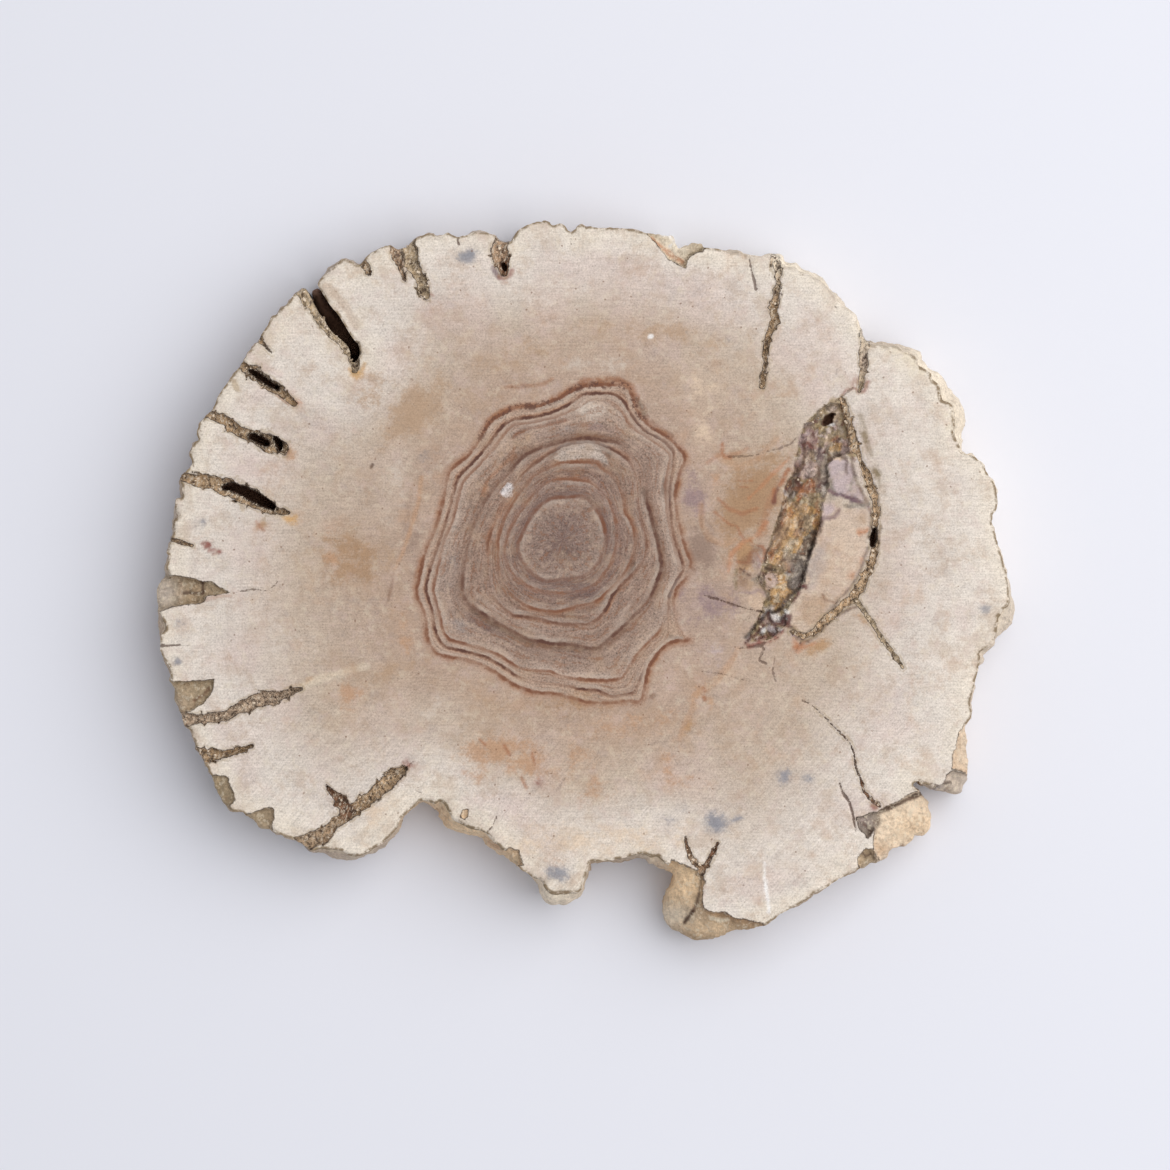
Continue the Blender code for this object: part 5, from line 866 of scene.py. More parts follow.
# How fine the stone's mesh is, in millimetres
RIM_STEP = 0.62
COARSEST_STEP = 3.6
FACE_STEPS = {"marks": 0.45, "broken": 0.6, "rings": 0.95, "rim": 0.9, "plain": 1.8}
UNDERSIDE_STEPS = {"marks": 9.0, "broken": 9.0, "rings": 1.8, "rim": 1.8, "plain": 3.6}
WALL_ROWS = 19
CRUMBS_PER_SQUARE_METRE = 340000.0

# Depths inside a hollow and a ring that stand for being nowhere near one
FAR_OUT = -30.0
NO_RING = -20.0

# The pith, where the rays start, and its distance from the first ring
PITH = (-7.0, 12.0)
PITH_REACH = 11.0

# The slot's sediment, the floor and the camera
PLUG_SIDES, PLUG_ROWS = 12, 60
FLOOR_REACH, FLOOR_DROP = 3000.0, -0.1
FLOOR_CORNERS = ((-1, -1), (1, -1), (1, 1), (-1, 1))
CAMERA_HEIGHT = 2.0

# Where the face, the underside and the wall's strips lie on the flat picture of the stone
FLAT_CORNER = (125.6, 104.7)
FLAT_WIDTH = 251.2
FACE_SHARE, FACE_CORNER = 0.765, (0.002, 0.36)
UNDER_SHARE, UNDER_CORNER = 0.42, (0.002, 0.003)
STRIP_LEFT, STRIP_STEP, STRIP_WIDTH = 0.775, 0.0745, 0.068
STRIP_BOTTOM, STRIP_LENGTH = 0.004, 0.992


def lattice(cells, seed):
    """A repeatable random number from 0 to 1 for every whole-numbered cell."""
    steps = np.array((73856093, 19349663, 83492791), dtype=np.int64)[: cells.shape[1]]
    mixed = (cells * steps).sum(axis=1) + seed * 40503
    mixed = mixed & 0xFFFFFFFF
    for _ in range(3):
        mixed = ((mixed ^ (mixed >> 16)) * 0x45D9F3B) & 0xFFFFFFFF
    return (mixed & 0xFFFF) / 65535.0


def soft_noise(points, size, seed):
    """Smooth random numbers from -1 to 1 that change over about the given size."""
    scaled = np.asarray(points, dtype=float) / size
    cells = np.floor(scaled).astype(np.int64)
    parts = scaled - cells
    parts = parts * parts * (3.0 - 2.0 * parts)
    total = np.zeros(len(scaled))
    for corner in itertools.product((0, 1), repeat=scaled.shape[1]):
        corner = np.array(corner)
        weights = np.prod(np.where(corner == 1, parts, 1.0 - parts), axis=1)
        total += weights * lattice(cells + corner, seed)
    return total * 2.0 - 1.0


def broken_noise(points, size, seed):
    """Three sizes of noise laid over one another, the finer ones weaker."""
    first = soft_noise(points, size, seed)
    second = soft_noise(points, size * 0.47, seed + 1)
    third = soft_noise(points, size * 0.21, seed + 2)
    return (first + 0.55 * second + 0.3 * third) / 1.6


def ease(values, low, high):
    """0 below low, 1 above high, and a smooth rise between."""
    share = np.clip((values - low) / (high - low), 0.0, 1.0)
    return share * share * (3.0 - 2.0 * share)


def nearest_on_line(points, line):
    """How far each point is from an open line, and the line's own third value at its nearest place."""
    distance = np.full(len(points), 1e6)
    value = np.zeros(len(points))
    for near, far in zip(line, line[1:]):
        start = np.array(near[:2])
        along = np.array(far[:2]) - start
        share = np.clip(((points - start) @ along) / max(along @ along, 1e-9), 0.0, 1.0)
        aside = points - start - share[:, None] * along
        gap = np.hypot(aside[:, 0], aside[:, 1])
        closer = gap < distance
        distance = np.where(closer, gap, distance)
        if len(near) > 2:
            value = np.where(closer, near[2] + (far[2] - near[2]) * share, value)
    return distance, value


def within(points, outline):
    """Whether each point lies inside a closed outline."""
    x, y = points[:, 0], points[:, 1]
    odd = np.zeros(len(points), dtype=bool)
    for (ax, ay), (bx, by) in zip(outline, outline[1:] + outline[:1]):
        if ay == by:
            continue
        crosses = (ay > y) != (by > y)
        odd ^= crosses & (x < (bx - ax) * (y - ay) / (by - ay) + ax)
    return odd


def depth_inside(points, outline):
    """Distance to a closed outline, positive inside it."""
    closed = [corner[:2] for corner in outline]
    distance, _ = nearest_on_line(points, closed + closed[:1])
    return np.where(within(points, closed), distance, -distance)


def close_to(points, corners, reach):
    """Whether each point lies within reach of the box round the corners."""
    flat = np.array(corners)[:, :2]
    return np.all((points > flat.min(axis=0) - reach) & (points < flat.max(axis=0) + reach), axis=1)


def smooth_loop(corners, cuts):
    """A closed line through all its corners, rounded between them."""
    corners = np.array(corners, dtype=float)
    rounded = []
    for index in range(len(corners)):
        a, b, c, d = (corners[(index + shift) % len(corners)] for shift in (-1, 0, 1, 2))
        for t in np.arange(cuts) / cuts:
            bend = 2.0 * a - 5.0 * b + 4.0 * c - d + t * (3.0 * (b - c) + d - a)
            rounded.append(b + 0.5 * t * (c - a + t * bend))
    return np.array(rounded)


ROUNDED_RINGS = [smooth_loop(ring, 3) for ring in RINGS]


def linear(paint):
    """A screen colour from 0 to 255 as the light values that a shader wants."""
    share = np.array(paint, dtype=float) / 255.0
    return np.where(share <= 0.04045, share / 12.92, ((share + 0.055) / 1.055) ** 2.4)


def oval(points, x, y, along, across, turn):
    """A soft spot that is 1 in its middle and fades out past its reach."""
    angle = math.radians(turn)
    dx, dy = points[:, 0] - x, points[:, 1] - y
    u = (dx * math.cos(angle) + dy * math.sin(angle)) / along
    v = (dy * math.cos(angle) - dx * math.sin(angle)) / across
    return np.exp(-1.1 * (u * u + v * v))


def blended(colours, share, name):
    """The colours with a share of the named paint over them."""
    return colours + (linear(PAINTS[name]) - colours) * share[:, None]


def plain_colours(points, name):
    """One paint for every point."""
    return np.tile(linear(PAINTS[name]), (len(points), 1))


def lined(points, colours, lines, ragged, core, reach, blur):
    """The colours with lines over them: full to core half widths, gone past reach half widths and blur."""
    for name, half, strength, line in lines:
        distance, _ = nearest_on_line(points, line)
        share = 1.0 - ease(distance + ragged, half * core, half * reach + blur)
        colours = blended(colours, strength * share, name)
    return colours


def crack_inside(points):
    """Distance inside the cracks and the open holes, the depth, and the filling's colour and outline."""
    ragged = 0.5 * soft_noise(points, 2.8, 11) + 0.34 * soft_noise(points, 1.1, 12)
    ragged += 1.1 * np.clip(1.0 - np.abs(soft_noise(points, 4.2, 13)) / 0.13, 0.0, 1.0) - 0.12
    inside = np.full(len(points), FAR_OUT)
    hole = np.full(len(points), FAR_OUT)
    depth = np.zeros(len(points))
    fill = plain_colours(points, "crack_fill")
    firm = np.ones(len(points))
    grooves = [(name, deep, opens, line, 0.5) for name, (deep, opens, line) in CRACKS.items()]
    grooves += [(name, deep, False, line, 0.35) for name, (deep, line) in DEEP_SLOTS.items()]
    for name, deep, opens, line, wall in grooves:
        line = list(line)
        if opens:
            (x1, y1, half), (x2, y2, _) = line[:2]
            reach = RIM_OVERRUN / math.hypot(x1 - x2, y1 - y2)
            line.insert(0, (x1 + (x1 - x2) * reach, y1 + (y1 - y2) * reach, half * 1.2))
        near = close_to(points, line, 8.0)
        distance, half = nearest_on_line(points[near], line)
        half = half * (1.25 if name in DEEP_SLOTS else 1.0)
        ragged_here = ragged[near] * (0.15 if name in DEEP_SLOTS else 1.0)
        gap = half - distance + ragged_here * np.minimum(half * 0.8, 1.0)
        bowl = np.clip(gap / np.maximum(half, 0.3), 0.0, 1.0)
        reach_down = deep * ease(gap, 0.0, wall) * (0.72 + 0.28 * bowl)
        inside[near] = np.maximum(inside[near], gap)
        depth[near] = np.maximum(depth[near], reach_down)
        if name in DEEP_SLOTS:
            hole[near] = np.maximum(hole[near], gap)
        if name in CRACK_PAINTS:
            fill[near] = blended(fill[near], ease(gap, -1.0, 0.0), CRACK_PAINTS[name])
        firm[near] = np.where(gap > -0.8, SOFT_OUTLINES.get(name, 1.0), firm[near])
    return inside, hole, depth, fill, firm


def chip_inside(points):
    """Distance inside the chips, how deep their broken floors are, and their colour."""
    ragged = 0.3 * soft_noise(points, 2.2, 21) + 0.18 * soft_noise(points, 0.8, 22)
    inside = np.full(len(points), FAR_OUT)
    depth = np.zeros(len(points))
    colour = plain_colours(points, "khaki")
    for name, corners in CHIPS.items():
        near = close_to(points, corners, 6.0)
        some = points[near]
        gap = depth_inside(some, corners) + ragged[near]
        weights = np.zeros(len(some))
        floor = np.zeros(len(some))
        for x, y, deep in corners:
            pull = 1.0 / (0.5 + (some[:, 0] - x) ** 2 + (some[:, 1] - y) ** 2)
            weights += pull
            floor += pull * deep
        floor = floor / weights
        inside[near] = np.maximum(inside[near], gap)
        depth[near] = np.maximum(depth[near], floor * ease(gap, 0.0, 0.55))
        if name in CHIP_PAINTS:
            colour[near] = blended(colour[near], ease(gap, -1.0, 0.0), CHIP_PAINTS[name])
    return inside, depth, colour


def rock_stained_lit_and_shaded(points, colours):
    """Broken rock's colours with the stains and seams that lie over them, and the painted light and shadow
    among them.
    """
    for *spot, name, strength in ROCK_STAINS_AND_PAINTED_LIGHT:
        colours = blended(colours, strength * oval(points, *spot), name)
    return lined(points, colours, ROCK_SEAMS_AND_PAINTED_SHADOWS, 0.25 * soft_noise(points, 1.6, 92), 0.5, 1.0, 0.4)


def knot_inside(points):
    """Distance inside the knot's pocket and how deep its rough floor lies."""
    ragged = 0.35 * soft_noise(points, 2.4, 31) + 0.2 * soft_noise(points, 0.8, 32)
    inside = depth_inside(points, KNOT_POCKET) + ragged
    lumps = 1.15 * soft_noise(points, 3.4, 33) + 0.55 * soft_noise(points, 1.4, 34)
    floor = np.clip(1.7 + lumps, 0.25, 3.6)
    for down, _, outline in KNOT_PATCHES:
        if down < 0:
            continue
        island = ease(depth_inside(points, outline) + 0.5 * ragged, -0.15, 0.35)
        floor = floor + (down + 0.12 * lumps - floor) * island
    return inside, np.maximum(floor, 0.0) * ease(inside, 0.0, 0.6)


def hairline_gap(points):
    """Distance from the hairline cracks, less their half width, and how dark the nearest one is."""
    gap = np.full(len(points), 9.0)
    dark = np.zeros(len(points))
    wander = 0.25 * soft_noise(points, 3.0, 41)
    for half, strength, line in HAIRLINES:
        distance, _ = nearest_on_line(points, line)
        distance = np.abs(distance + wander * (distance < 3.0)) - half * 0.6
        closer = distance < gap
        gap = np.where(closer, distance, gap)
        dark = np.where(closer, strength, dark)
    return gap, dark


def outward(loop):
    """The direction out of the stone at each point of the edge, taken over a short stretch of it."""
    steps = round(NORMAL_REACH / RIM_STEP)
    along = np.roll(loop, -steps, axis=0)[:, :2] - np.roll(loop, steps, axis=0)[:, :2]
    length = np.maximum(np.hypot(along[:, 0], along[:, 1]), 0.2)
    return np.column_stack([along[:, 1], -along[:, 0]]) / length[:, None]


def rim_loop():
    """The sawn face's edge in fine steps, ragged on broken rock, with the bulge below each point."""
    rounded = np.vstack([smooth_loop(RIM, 8), RIM[:1]])
    travel = np.concatenate(([0.0], np.cumsum(np.hypot(*np.diff(rounded[:, :2], axis=0).T))))
    count = int(travel[-1] / RIM_STEP)
    stops = np.arange(count) * travel[-1] / count
    loop = np.column_stack([np.interp(stops, travel, rounded[:, axis]) for axis in range(3)])
    loop[:, 2] = np.maximum(loop[:, 2], 0.0)
    broken = np.minimum(loop[:, 2] * 4.0, 1.0)
    ragged = 0.3 * soft_noise(loop[:, :2], 2.3, 51) + 0.2 * soft_noise(loop[:, :2], 0.95, 52) - 0.12
    loop[:, :2] += outward(loop) * (ragged * broken)[:, None]
    return loop


def wanted_step(points, steps):
    """How close together the mesh's points should lie at each place of the sawn face."""
    crack = crack_inside(points)[0]
    chip, _, _ = chip_inside(points)
    knot, _ = knot_inside(points)
    hair, _ = hairline_gap(points)
    for _, half, _, line in STREAKS + KNOT_LINES:
        distance, _ = nearest_on_line(points, line)
        hair = np.minimum(hair, distance - half)
    for _, _, outline in FLAKES:
        hair = np.minimum(hair, np.abs(depth_inside(points, outline)))
    wanted = np.full(len(points), steps["plain"])
    for name, here in (
        ("rings", depth_inside(points, RINGS[-1]) > -2.0),
        ("rim", (np.abs(depth_inside(points, RIM)) < 1.8) | (crack > -2.4) | (chip > -1.6) | (hair < 1.6)),
        ("broken", chip > 0.0),
        ("marks", (crack > -0.8) | (np.abs(chip) < 0.8) | (knot > -1.0) | (hair < 0.6)),
    ):
        wanted = np.where(here, np.minimum(wanted, steps[name]), wanted)
    return wanted


def points_inside(loop, steps, seed):
    """Points inside the edge, wide apart on plain stone and close together at its marks."""
    low, high = loop[:, :2].min(axis=0), loop[:, :2].max(axis=0)
    size = COARSEST_STEP
    columns = np.arange(low[0] + size / 2.0, high[0] + size, size)
    rows = np.arange(low[1] + size / 2.0, high[1] + size, size)
    cells = np.array([(x, y) for y in rows for x in columns])
    kept = []
    while len(cells):
        done = wanted_step(cells, steps) >= size * 0.9
        final = cells[done]
        tags = np.round(final * 100.0).astype(np.int64)
        shove = np.column_stack([lattice(tags, seed), lattice(tags, seed + 1)]) - 0.5
        kept.append(np.column_stack([final + shove * size * 0.55, np.full(len(final), size)]))
        size /= 2.0
        quarters = np.array(((-0.5, -0.5), (0.5, -0.5), (-0.5, 0.5), (0.5, 0.5))) * size
        cells = (cells[~done][:, None, :] + quarters[None, :, :]).reshape(-1, 2)
    kept = np.vstack(kept)
    inner = depth_inside(kept[:, :2], RIM)
    kept, inner = kept[inner > -1.0], inner[inner > -1.0]
    near = inner < 2.6
    inner[near] = depth_inside(kept[near, :2], loop)
    return kept[inner > np.minimum(kept[:, 2] * 0.5, 0.7), :2]


def triangles_inside(loop, inner):
    """Triangles that fill the edge loop through all the points inside it."""
    count = len(loop)
    flat = [Vector(corner) for corner in np.vstack([loop[:, :2], inner]).tolist()]
    rim = [(index, (index + 1) % count) for index in range(count)]
    corners, _, faces, origins, _, _ = delaunay_2d_cdt(flat, rim, [], 1, 1e-5)
    if any(len(origin) != 1 for origin in origins) or len(corners) > len(flat):
        raise RuntimeError("the stone's edge crosses itself")
    order = np.array([origin[0] for origin in origins])
    faces = order[np.array(faces)]
    a, b, c = (np.array(flat)[faces[:, index]] for index in range(3))
    turn = (b[:, 0] - a[:, 0]) * (c[:, 1] - a[:, 1]) - (b[:, 1] - a[:, 1]) * (c[:, 0] - a[:, 0])
    faces[turn < 0.0] = faces[turn < 0.0][:, ::-1]
    return faces


def face_heights(points, rim_gap):
    """How high the sawn face stands, with its cracks, chips, pocket and worn edge."""
    _, _, crack, _, _ = crack_inside(points)
    chip_gap, chip, _ = chip_inside(points)
    _, knot = knot_inside(points)
    hair, dark = hairline_gap(points)
    depth = np.maximum(np.maximum(chip, knot), crack)
    sediment = ease(crack, 0.15, 0.8) * np.where(crack > 5.0, 0.2, 1.0)
    depth += sediment * (0.5 * soft_noise(points, 1.5, 61) + 0.25 * soft_noise(points, 0.7, 62))
    splinters = 0.6 * broken_noise(points, 2.6, 63) + 0.5 * np.abs(soft_noise(points, 1.3, 66)) - 0.2
    depth += ease(chip_gap, 0.2, 1.2) * splinters
    depth += 0.22 * dark * (1.0 - ease(hair, -0.1, 0.25))
    worn = np.clip(1.0 - rim_gap / 1.1, 0.0, 1.0) ** 2
    depth += worn * (0.12 + 0.55 * np.maximum(soft_noise(points, 1.9, 64) + 0.2, 0.0))
    depth += 0.03 * soft_noise(points, 5.0, 65)
    return THICKNESS - np.maximum(depth, 0.0)


def wall_row(loop, sides, tops, drop):
    """The wall's points a share of the way down: bulging, lumpy and ledged like broken rock."""
    heights = tops * (1.0 - drop)
    depths = 1.0 - heights / THICKNESS
    profile_at, profile = np.array(WALL_PROFILE).T
    bulge = loop[:, 2] * np.interp(depths, profile_at, profile)
    broken = np.minimum(loop[:, 2] * 3.0, 1.0)
    spots = np.column_stack([loop[:, :2], heights * 0.7])
    lumps = 0.75 * broken_noise(spots, 6.5, 71) + 0.5 * np.abs(soft_noise(spots, 3.1, 74))
    lumps += 0.3 * soft_noise(spots, 1.25, 75)
    flutes = 0.3 * soft_noise(np.column_stack([loop[:, :2], heights * 0.15]), 2.2, 76)
    below = ease(tops - heights, 0.0, 2.2) * ease(heights, -0.4, 2.0)
    reach = bulge * ease(tops - heights, 0.0, 1.4) + (lumps + flutes - 0.25) * broken * below
    reach -= BASE_INSET * broken * ease(depths, 0.9, 1.0)
    spread = loop[:, :2] + sides * reach[:, None]
    settle = 0.35 * soft_noise(np.column_stack([loop[:, :2], heights]), 1.7, 77)
    heights = np.clip(heights + settle * below, 0.0, tops)
    return np.column_stack([spread, heights])


def streaked(points, colours):
    """The colours with the small crisp marks drawn over them."""
    ragged = 0.25 * soft_noise(points, 3.2, 72) + 0.12 * soft_noise(points, 1.5, 73)
    return lined(points, colours, STREAKS, ragged, 0.5, 1.3, 0.3)


def ring_bands(points):
    """For each band between two rings: which points lie in it, and what share of the way out."""
    inner = [depth_inside(points, ring) for ring in ROUNDED_RINGS]
    for index, short in enumerate(inner):
        beyond = -inner[index - 1] if index else np.maximum(PITH_REACH - inner[0], 0.01)
        past = np.clip(beyond, 0.0, None)
        yield (beyond > 0.0) & (short > 0.0), past / np.maximum(past + np.maximum(short, 0.0), 0.01)


def face_tint(points, rim_gap):
    """The sawn face's own colour: bands between the rings, paler wood outside them, streaks and flakes."""
    colours = np.zeros((len(points), 3))
    outside = np.maximum(-depth_inside(points, ROUNDED_RINGS[-1]), 0.0)
    share = outside / np.maximum(outside + rim_gap, 0.01)
    ramp_at = [at for at, _ in OUTSIDE_THE_RINGS]
    for channel in range(3):
        ramp = [linear(paint)[channel] for _, paint in OUTSIDE_THE_RINGS]
        colours[:, channel] = np.interp(share, ramp_at, ramp)
    near = outside < 0.3
    heart = colours[near]
    for (inmost, outmost), (inside, share) in zip(BANDS, ring_bands(points[near])):
        band = linear(inmost) + (linear(outmost) - linear(inmost)) * share[:, None]
        heart[inside] = band[inside]
    colours[near] = heart
    clouds = soft_noise(points, 8.0, 78)
    colours = blended(colours, 0.3 * (1.0 - ease(rim_gap + 3.0 * clouds, 1.0, 8.0)), "yellow_cream")
    rosy = ease(rim_gap, 4.0, 10.0) * (1.0 - ease(rim_gap, 22.0, 40.0))
    colours = blended(colours, 0.4 * (rosy * ease(soft_noise(points, 11.0, 79), -0.2, 0.8)), "rose")
    bare = np.ones(len(points))
    for name, strength, outline in FLAKES:
        flake = ease(depth_inside(points, outline) + 0.2 * soft_noise(points, 1.2, 85), -0.15, 0.2)
        colours = blended(colours, strength * flake, name)
        bare -= flake * bare * (strength > 0.9)
    return np.column_stack([streaked(points, colours), bare])


def stain_of(points):
    """The paint and the strength of the stains; the finish breaks up their edges."""
    paint = plain_colours(points, "tan")
    share = np.zeros(len(points))
    for *where, name, strength in STAINS:
        spot = strength * oval(points, *where)
        paint = blended(paint, ease(spot - share, -0.1, 0.1), name)
        share = np.maximum(share, spot)
    return np.column_stack([streaked(points, paint), share])


def growth_of(points, rim_gap):
    """How old the wood is at each point: whole numbers on the rings, growing on to 14 at the rim."""
    outside = np.maximum(-depth_inside(points, RINGS[-1]), 0.0)
    growth = 8.0 + 6.0 * outside / np.maximum(outside + rim_gap, 0.01)
    near = outside < 0.5
    age = growth[near]
    for index, (inside, share) in enumerate(ring_bands(points[near])):
        age[inside] = (index + share)[inside]
    growth[near] = age
    return growth


def knot_tint(points, colours):
    """The knot's rubble: rust, ochre and grey crumbs, pale islands and dark red outlines."""
    inside, _ = knot_inside(points)
    share = ease(inside, -0.2, 0.3)
    lumps = soft_noise(points, 1.8, 81) + 0.5 * soft_noise(points, 0.8, 82)
    drift = np.column_stack([lumps, soft_noise(points, 1.8, 86) + 0.5 * soft_noise(points, 0.8, 87)])
    points = points + 0.6 * drift
    height = points[:, 1]
    patches = []
    for down, name, outline in KNOT_PATCHES:
        patches.append((down, name, ease(depth_inside(points, outline), -0.15, 0.25)))
    colours = blended(colours, share, "moss")
    for down, name, patch in patches:
        colours = blended(colours, 0.9 * patch * (down < 0), name)
    for number, (name, size, least, strength, low, high) in enumerate(KNOT_FLECKS):
        fleck = soft_noise(points, size, 120 + number) + 0.4 * soft_noise(points, size * 0.5, 140 + number)
        fleck = ease(fleck, least, least + 0.3) * ease(height, low - 1, low + 1)
        fleck = fleck * ease(-height, -high - 1, 1 - high)
        colours = blended(colours, strength * fleck * share, name)
    for down, name, patch in patches:
        colours = blended(colours, 0.92 * patch * (down >= 0), name)
    for *where, name, strength in KNOT_SPOTS:
        colours = blended(colours, strength * ease(oval(points, *where) + 0.14 * lumps, 0.2, 0.6), name)
    return lined(points - 0.35 * drift, colours, KNOT_LINES, 0.0, 0.7, 1.0, 0.6)


def wall_tint(points):
    """The broken rim's colour, by where on the stone it is, with painted light on its walls and facets."""
    colours = blended(plain_colours(points, "sand"), 0.5 + 0.5 * soft_noise(points, 17.0, 91), "buff")
    return rock_stained_lit_and_shaded(points, colours)


def add_numbers(mesh, name, *columns):
    """Stores one number, a vector of three or a colour of four for every point of the mesh."""
    numbers = np.column_stack(columns)
    kinds = {1: ("FLOAT", "value"), 3: ("FLOAT_VECTOR", "vector"), 4: ("FLOAT_COLOR", "color")}
    kind, field = kinds[numbers.shape[1]]
    layer = mesh.attributes.new(name, kind, "POINT")
    layer.data.foreach_set(field, np.ascontiguousarray(numbers, dtype=np.float32).ravel())


def placed(name, data):
    """A new object in the scene that carries the given mesh, lamp or camera."""
    thing = bpy.data.objects.new(name, data)
    bpy.context.scene.collection.objects.link(thing)
    return thing


def new_mesh(name, points, faces, finish):
    """A mesh of one finish from points in millimetres."""
    mesh = bpy.data.meshes.new(name)
    mesh.from_pydata((points * MM).tolist(), [], faces)
    mesh.materials.append(finish)
    return mesh


def make_plug(finish):
    """The dark sediment deep in the long open slot: one rounded, lumpy strip between the slot's walls."""
    line = np.array(SLOT_PLUG)
    stops = np.linspace(0.0, len(line) - 1.0, PLUG_ROWS)
    spots = np.column_stack([np.interp(stops, np.arange(len(line)), line[:, axis]) for axis in range(3)])
    along = np.gradient(spots[:, :2], axis=0)
    sides = np.column_stack([-along[:, 1], along[:, 0]]) / np.hypot(along[:, 0], along[:, 1])[:, None]
    turns = np.arange(PLUG_SIDES) * math.tau / PLUG_SIDES
    ends = np.sin(np.linspace(0.02, math.pi - 0.02, PLUG_ROWS)) ** 0.25
    rows = []
    for spot, side, end in zip(spots, sides, ends):
        flat = spot[:2] + side * (np.cos(turns) * spot[2] * end)[:, None]
        rows.append(np.column_stack([flat, 0.5 + (1.0 + np.sin(turns)) * 4.0 * end]))
    points = np.vstack(rows)
    lumps = 1.6 * soft_noise(points, 2.6, 111) + 0.6 * soft_noise(points, 1.1, 112)
    points[:, 2] += (points[:, 2] > 5.0) * lumps
    last = (PLUG_ROWS - 1) * PLUG_SIDES
    faces = []
    for near in range(0, last, PLUG_SIDES):
        far = near + PLUG_SIDES
        for index in range(PLUG_SIDES):
            after = (index + 1) % PLUG_SIDES
            faces.append((near + index, near + after, far + after, far + index))
    faces += [tuple(range(PLUG_SIDES))[::-1], tuple(range(last, last + PLUG_SIDES))]
    mesh = new_mesh("slot_sediment", points, faces, finish)
    mesh.shade_smooth()
    return placed("slot_sediment", mesh)


def wall_faces(count, first_row):
    """Four-cornered faces down the wall, and where each corner lies along and across the wall's strip."""
    places, faces = [], []
    strip = math.ceil(count / 3)
    for row in range(WALL_ROWS):
        upper = 0 if row == 0 else first_row + (row - 1) * count
        lower = first_row + row * count
        for index in range(count):
            after = (index + 1) % count
            faces.append((upper + index, lower + index, lower + after, upper + after))
            left = STRIP_LEFT + STRIP_STEP * (index // strip)
            along = (index % strip) / strip * STRIP_LENGTH + STRIP_BOTTOM
            ahead = along + STRIP_LENGTH / strip
            near = left + STRIP_WIDTH * row / WALL_ROWS
            far = left + STRIP_WIDTH * (row + 1) / WALL_ROWS
            places.append(((near, along), (far, along), (far, ahead), (near, ahead)))
    return faces, np.array(places).reshape(-1, 2)


def lay_flat(mesh, points, faces, wall_places, under_faces):
    """Places on the flat picture: the face large, the underside small below it, and the wall in strips."""
    flat = (points[:, :2] + np.array(FLAT_CORNER)) / FLAT_WIDTH
    face_places = flat[faces.ravel()] * FACE_SHARE + np.array(FACE_CORNER)
    under_places = flat[under_faces.ravel()] * UNDER_SHARE + np.array(UNDER_CORNER)
    places = np.vstack([face_places, wall_places, under_places]).astype(np.float32)
    layer = mesh.uv_layers.new(name="OFBake")
    layer.data.foreach_set("uv", places.ravel())


def number_points(mesh, points, gap, on_wall, in_slot, under):
    """Stores what the finish reads: each point's colours, its distances from the marks, and its age."""
    spots = points[:, :2]
    depth = THICKNESS - points[:, 2]
    crack, hole, _, fill, firm = crack_inside(spots)
    chip, _, chip_fill = chip_inside(spots)
    knot, _ = knot_inside(spots)
    hair, dark = hairline_gap(spots)
    fill = rock_stained_lit_and_shaded(spots, np.where((chip > crack)[:, None], chip_fill, fill))
    fill = np.where((knot > crack)[:, None] & (knot > -0.2)[:, None], linear(PAINTS["ochre"]), fill)
    tint = face_tint(spots, gap)
    tint[:, :3] = knot_tint(spots, tint[:, :3])
    wall = wall_tint(spots)
    wall[in_slot] = linear(PAINTS["dark_brown"])
    plain_wall = on_wall & (chip < 0.0)
    fill[plain_wall] = wall[plain_wall]
    tint[on_wall, :3] = wall[on_wall]
    stain = stain_of(spots)
    stain[on_wall, 3] = 0.0
    chip = np.where(on_wall, 3.0, np.clip(chip, -2.0, 3.0))
    crack = np.where(on_wall, np.clip(crack, -2.0, 0.0), np.clip(crack, -2.0, 3.0))
    hair = np.where(on_wall, 3.0, np.clip(hair, -1.0, 3.0))
    hole = np.where(on_wall, -2.0, np.clip(hole, -2.0, 3.0))
    crumbly = np.maximum(ease(crack, 0.35, 0.9), 0.12 * ease(knot, 0.3, 0.9))
    crumbly = np.where(on_wall | (under > 0.0), 0.0, crumbly)
    add_numbers(mesh, "tint", tint)
    add_numbers(mesh, "fill", fill, firm)
    add_numbers(mesh, "stain", stain)
    add_numbers(mesh, "marks", crack, chip, np.minimum(gap, 6.0))
    add_numbers(mesh, "seams", hair, dark, on_wall)
    add_numbers(mesh, "relief", np.clip(knot, -2.0, 3.0), under, hole)
    add_numbers(mesh, "depth", depth)
    add_numbers(mesh, "growth", np.where(on_wall, 14.0, growth_of(spots, gap)))
    add_numbers(mesh, "crumbly", crumbly * (depth < 4.5) * (hole < -0.5))
    heart = depth_inside(spots, RINGS[-1]) > -8.0
    for number, ring in enumerate(ROUNDED_RINGS, 1):
        signed = np.full(len(points), NO_RING)
        strength = np.zeros(len(points))
        distance, strength[heart] = nearest_on_line(spots[heart], np.vstack([ring, ring[:1]]))
        signed[heart] = np.where(within(spots[heart], ring[:, :2].tolist()), distance, -distance)
        signed[on_wall] = NO_RING
        add_numbers(mesh, f"ring_{number}", signed, strength, signed * 0.0)


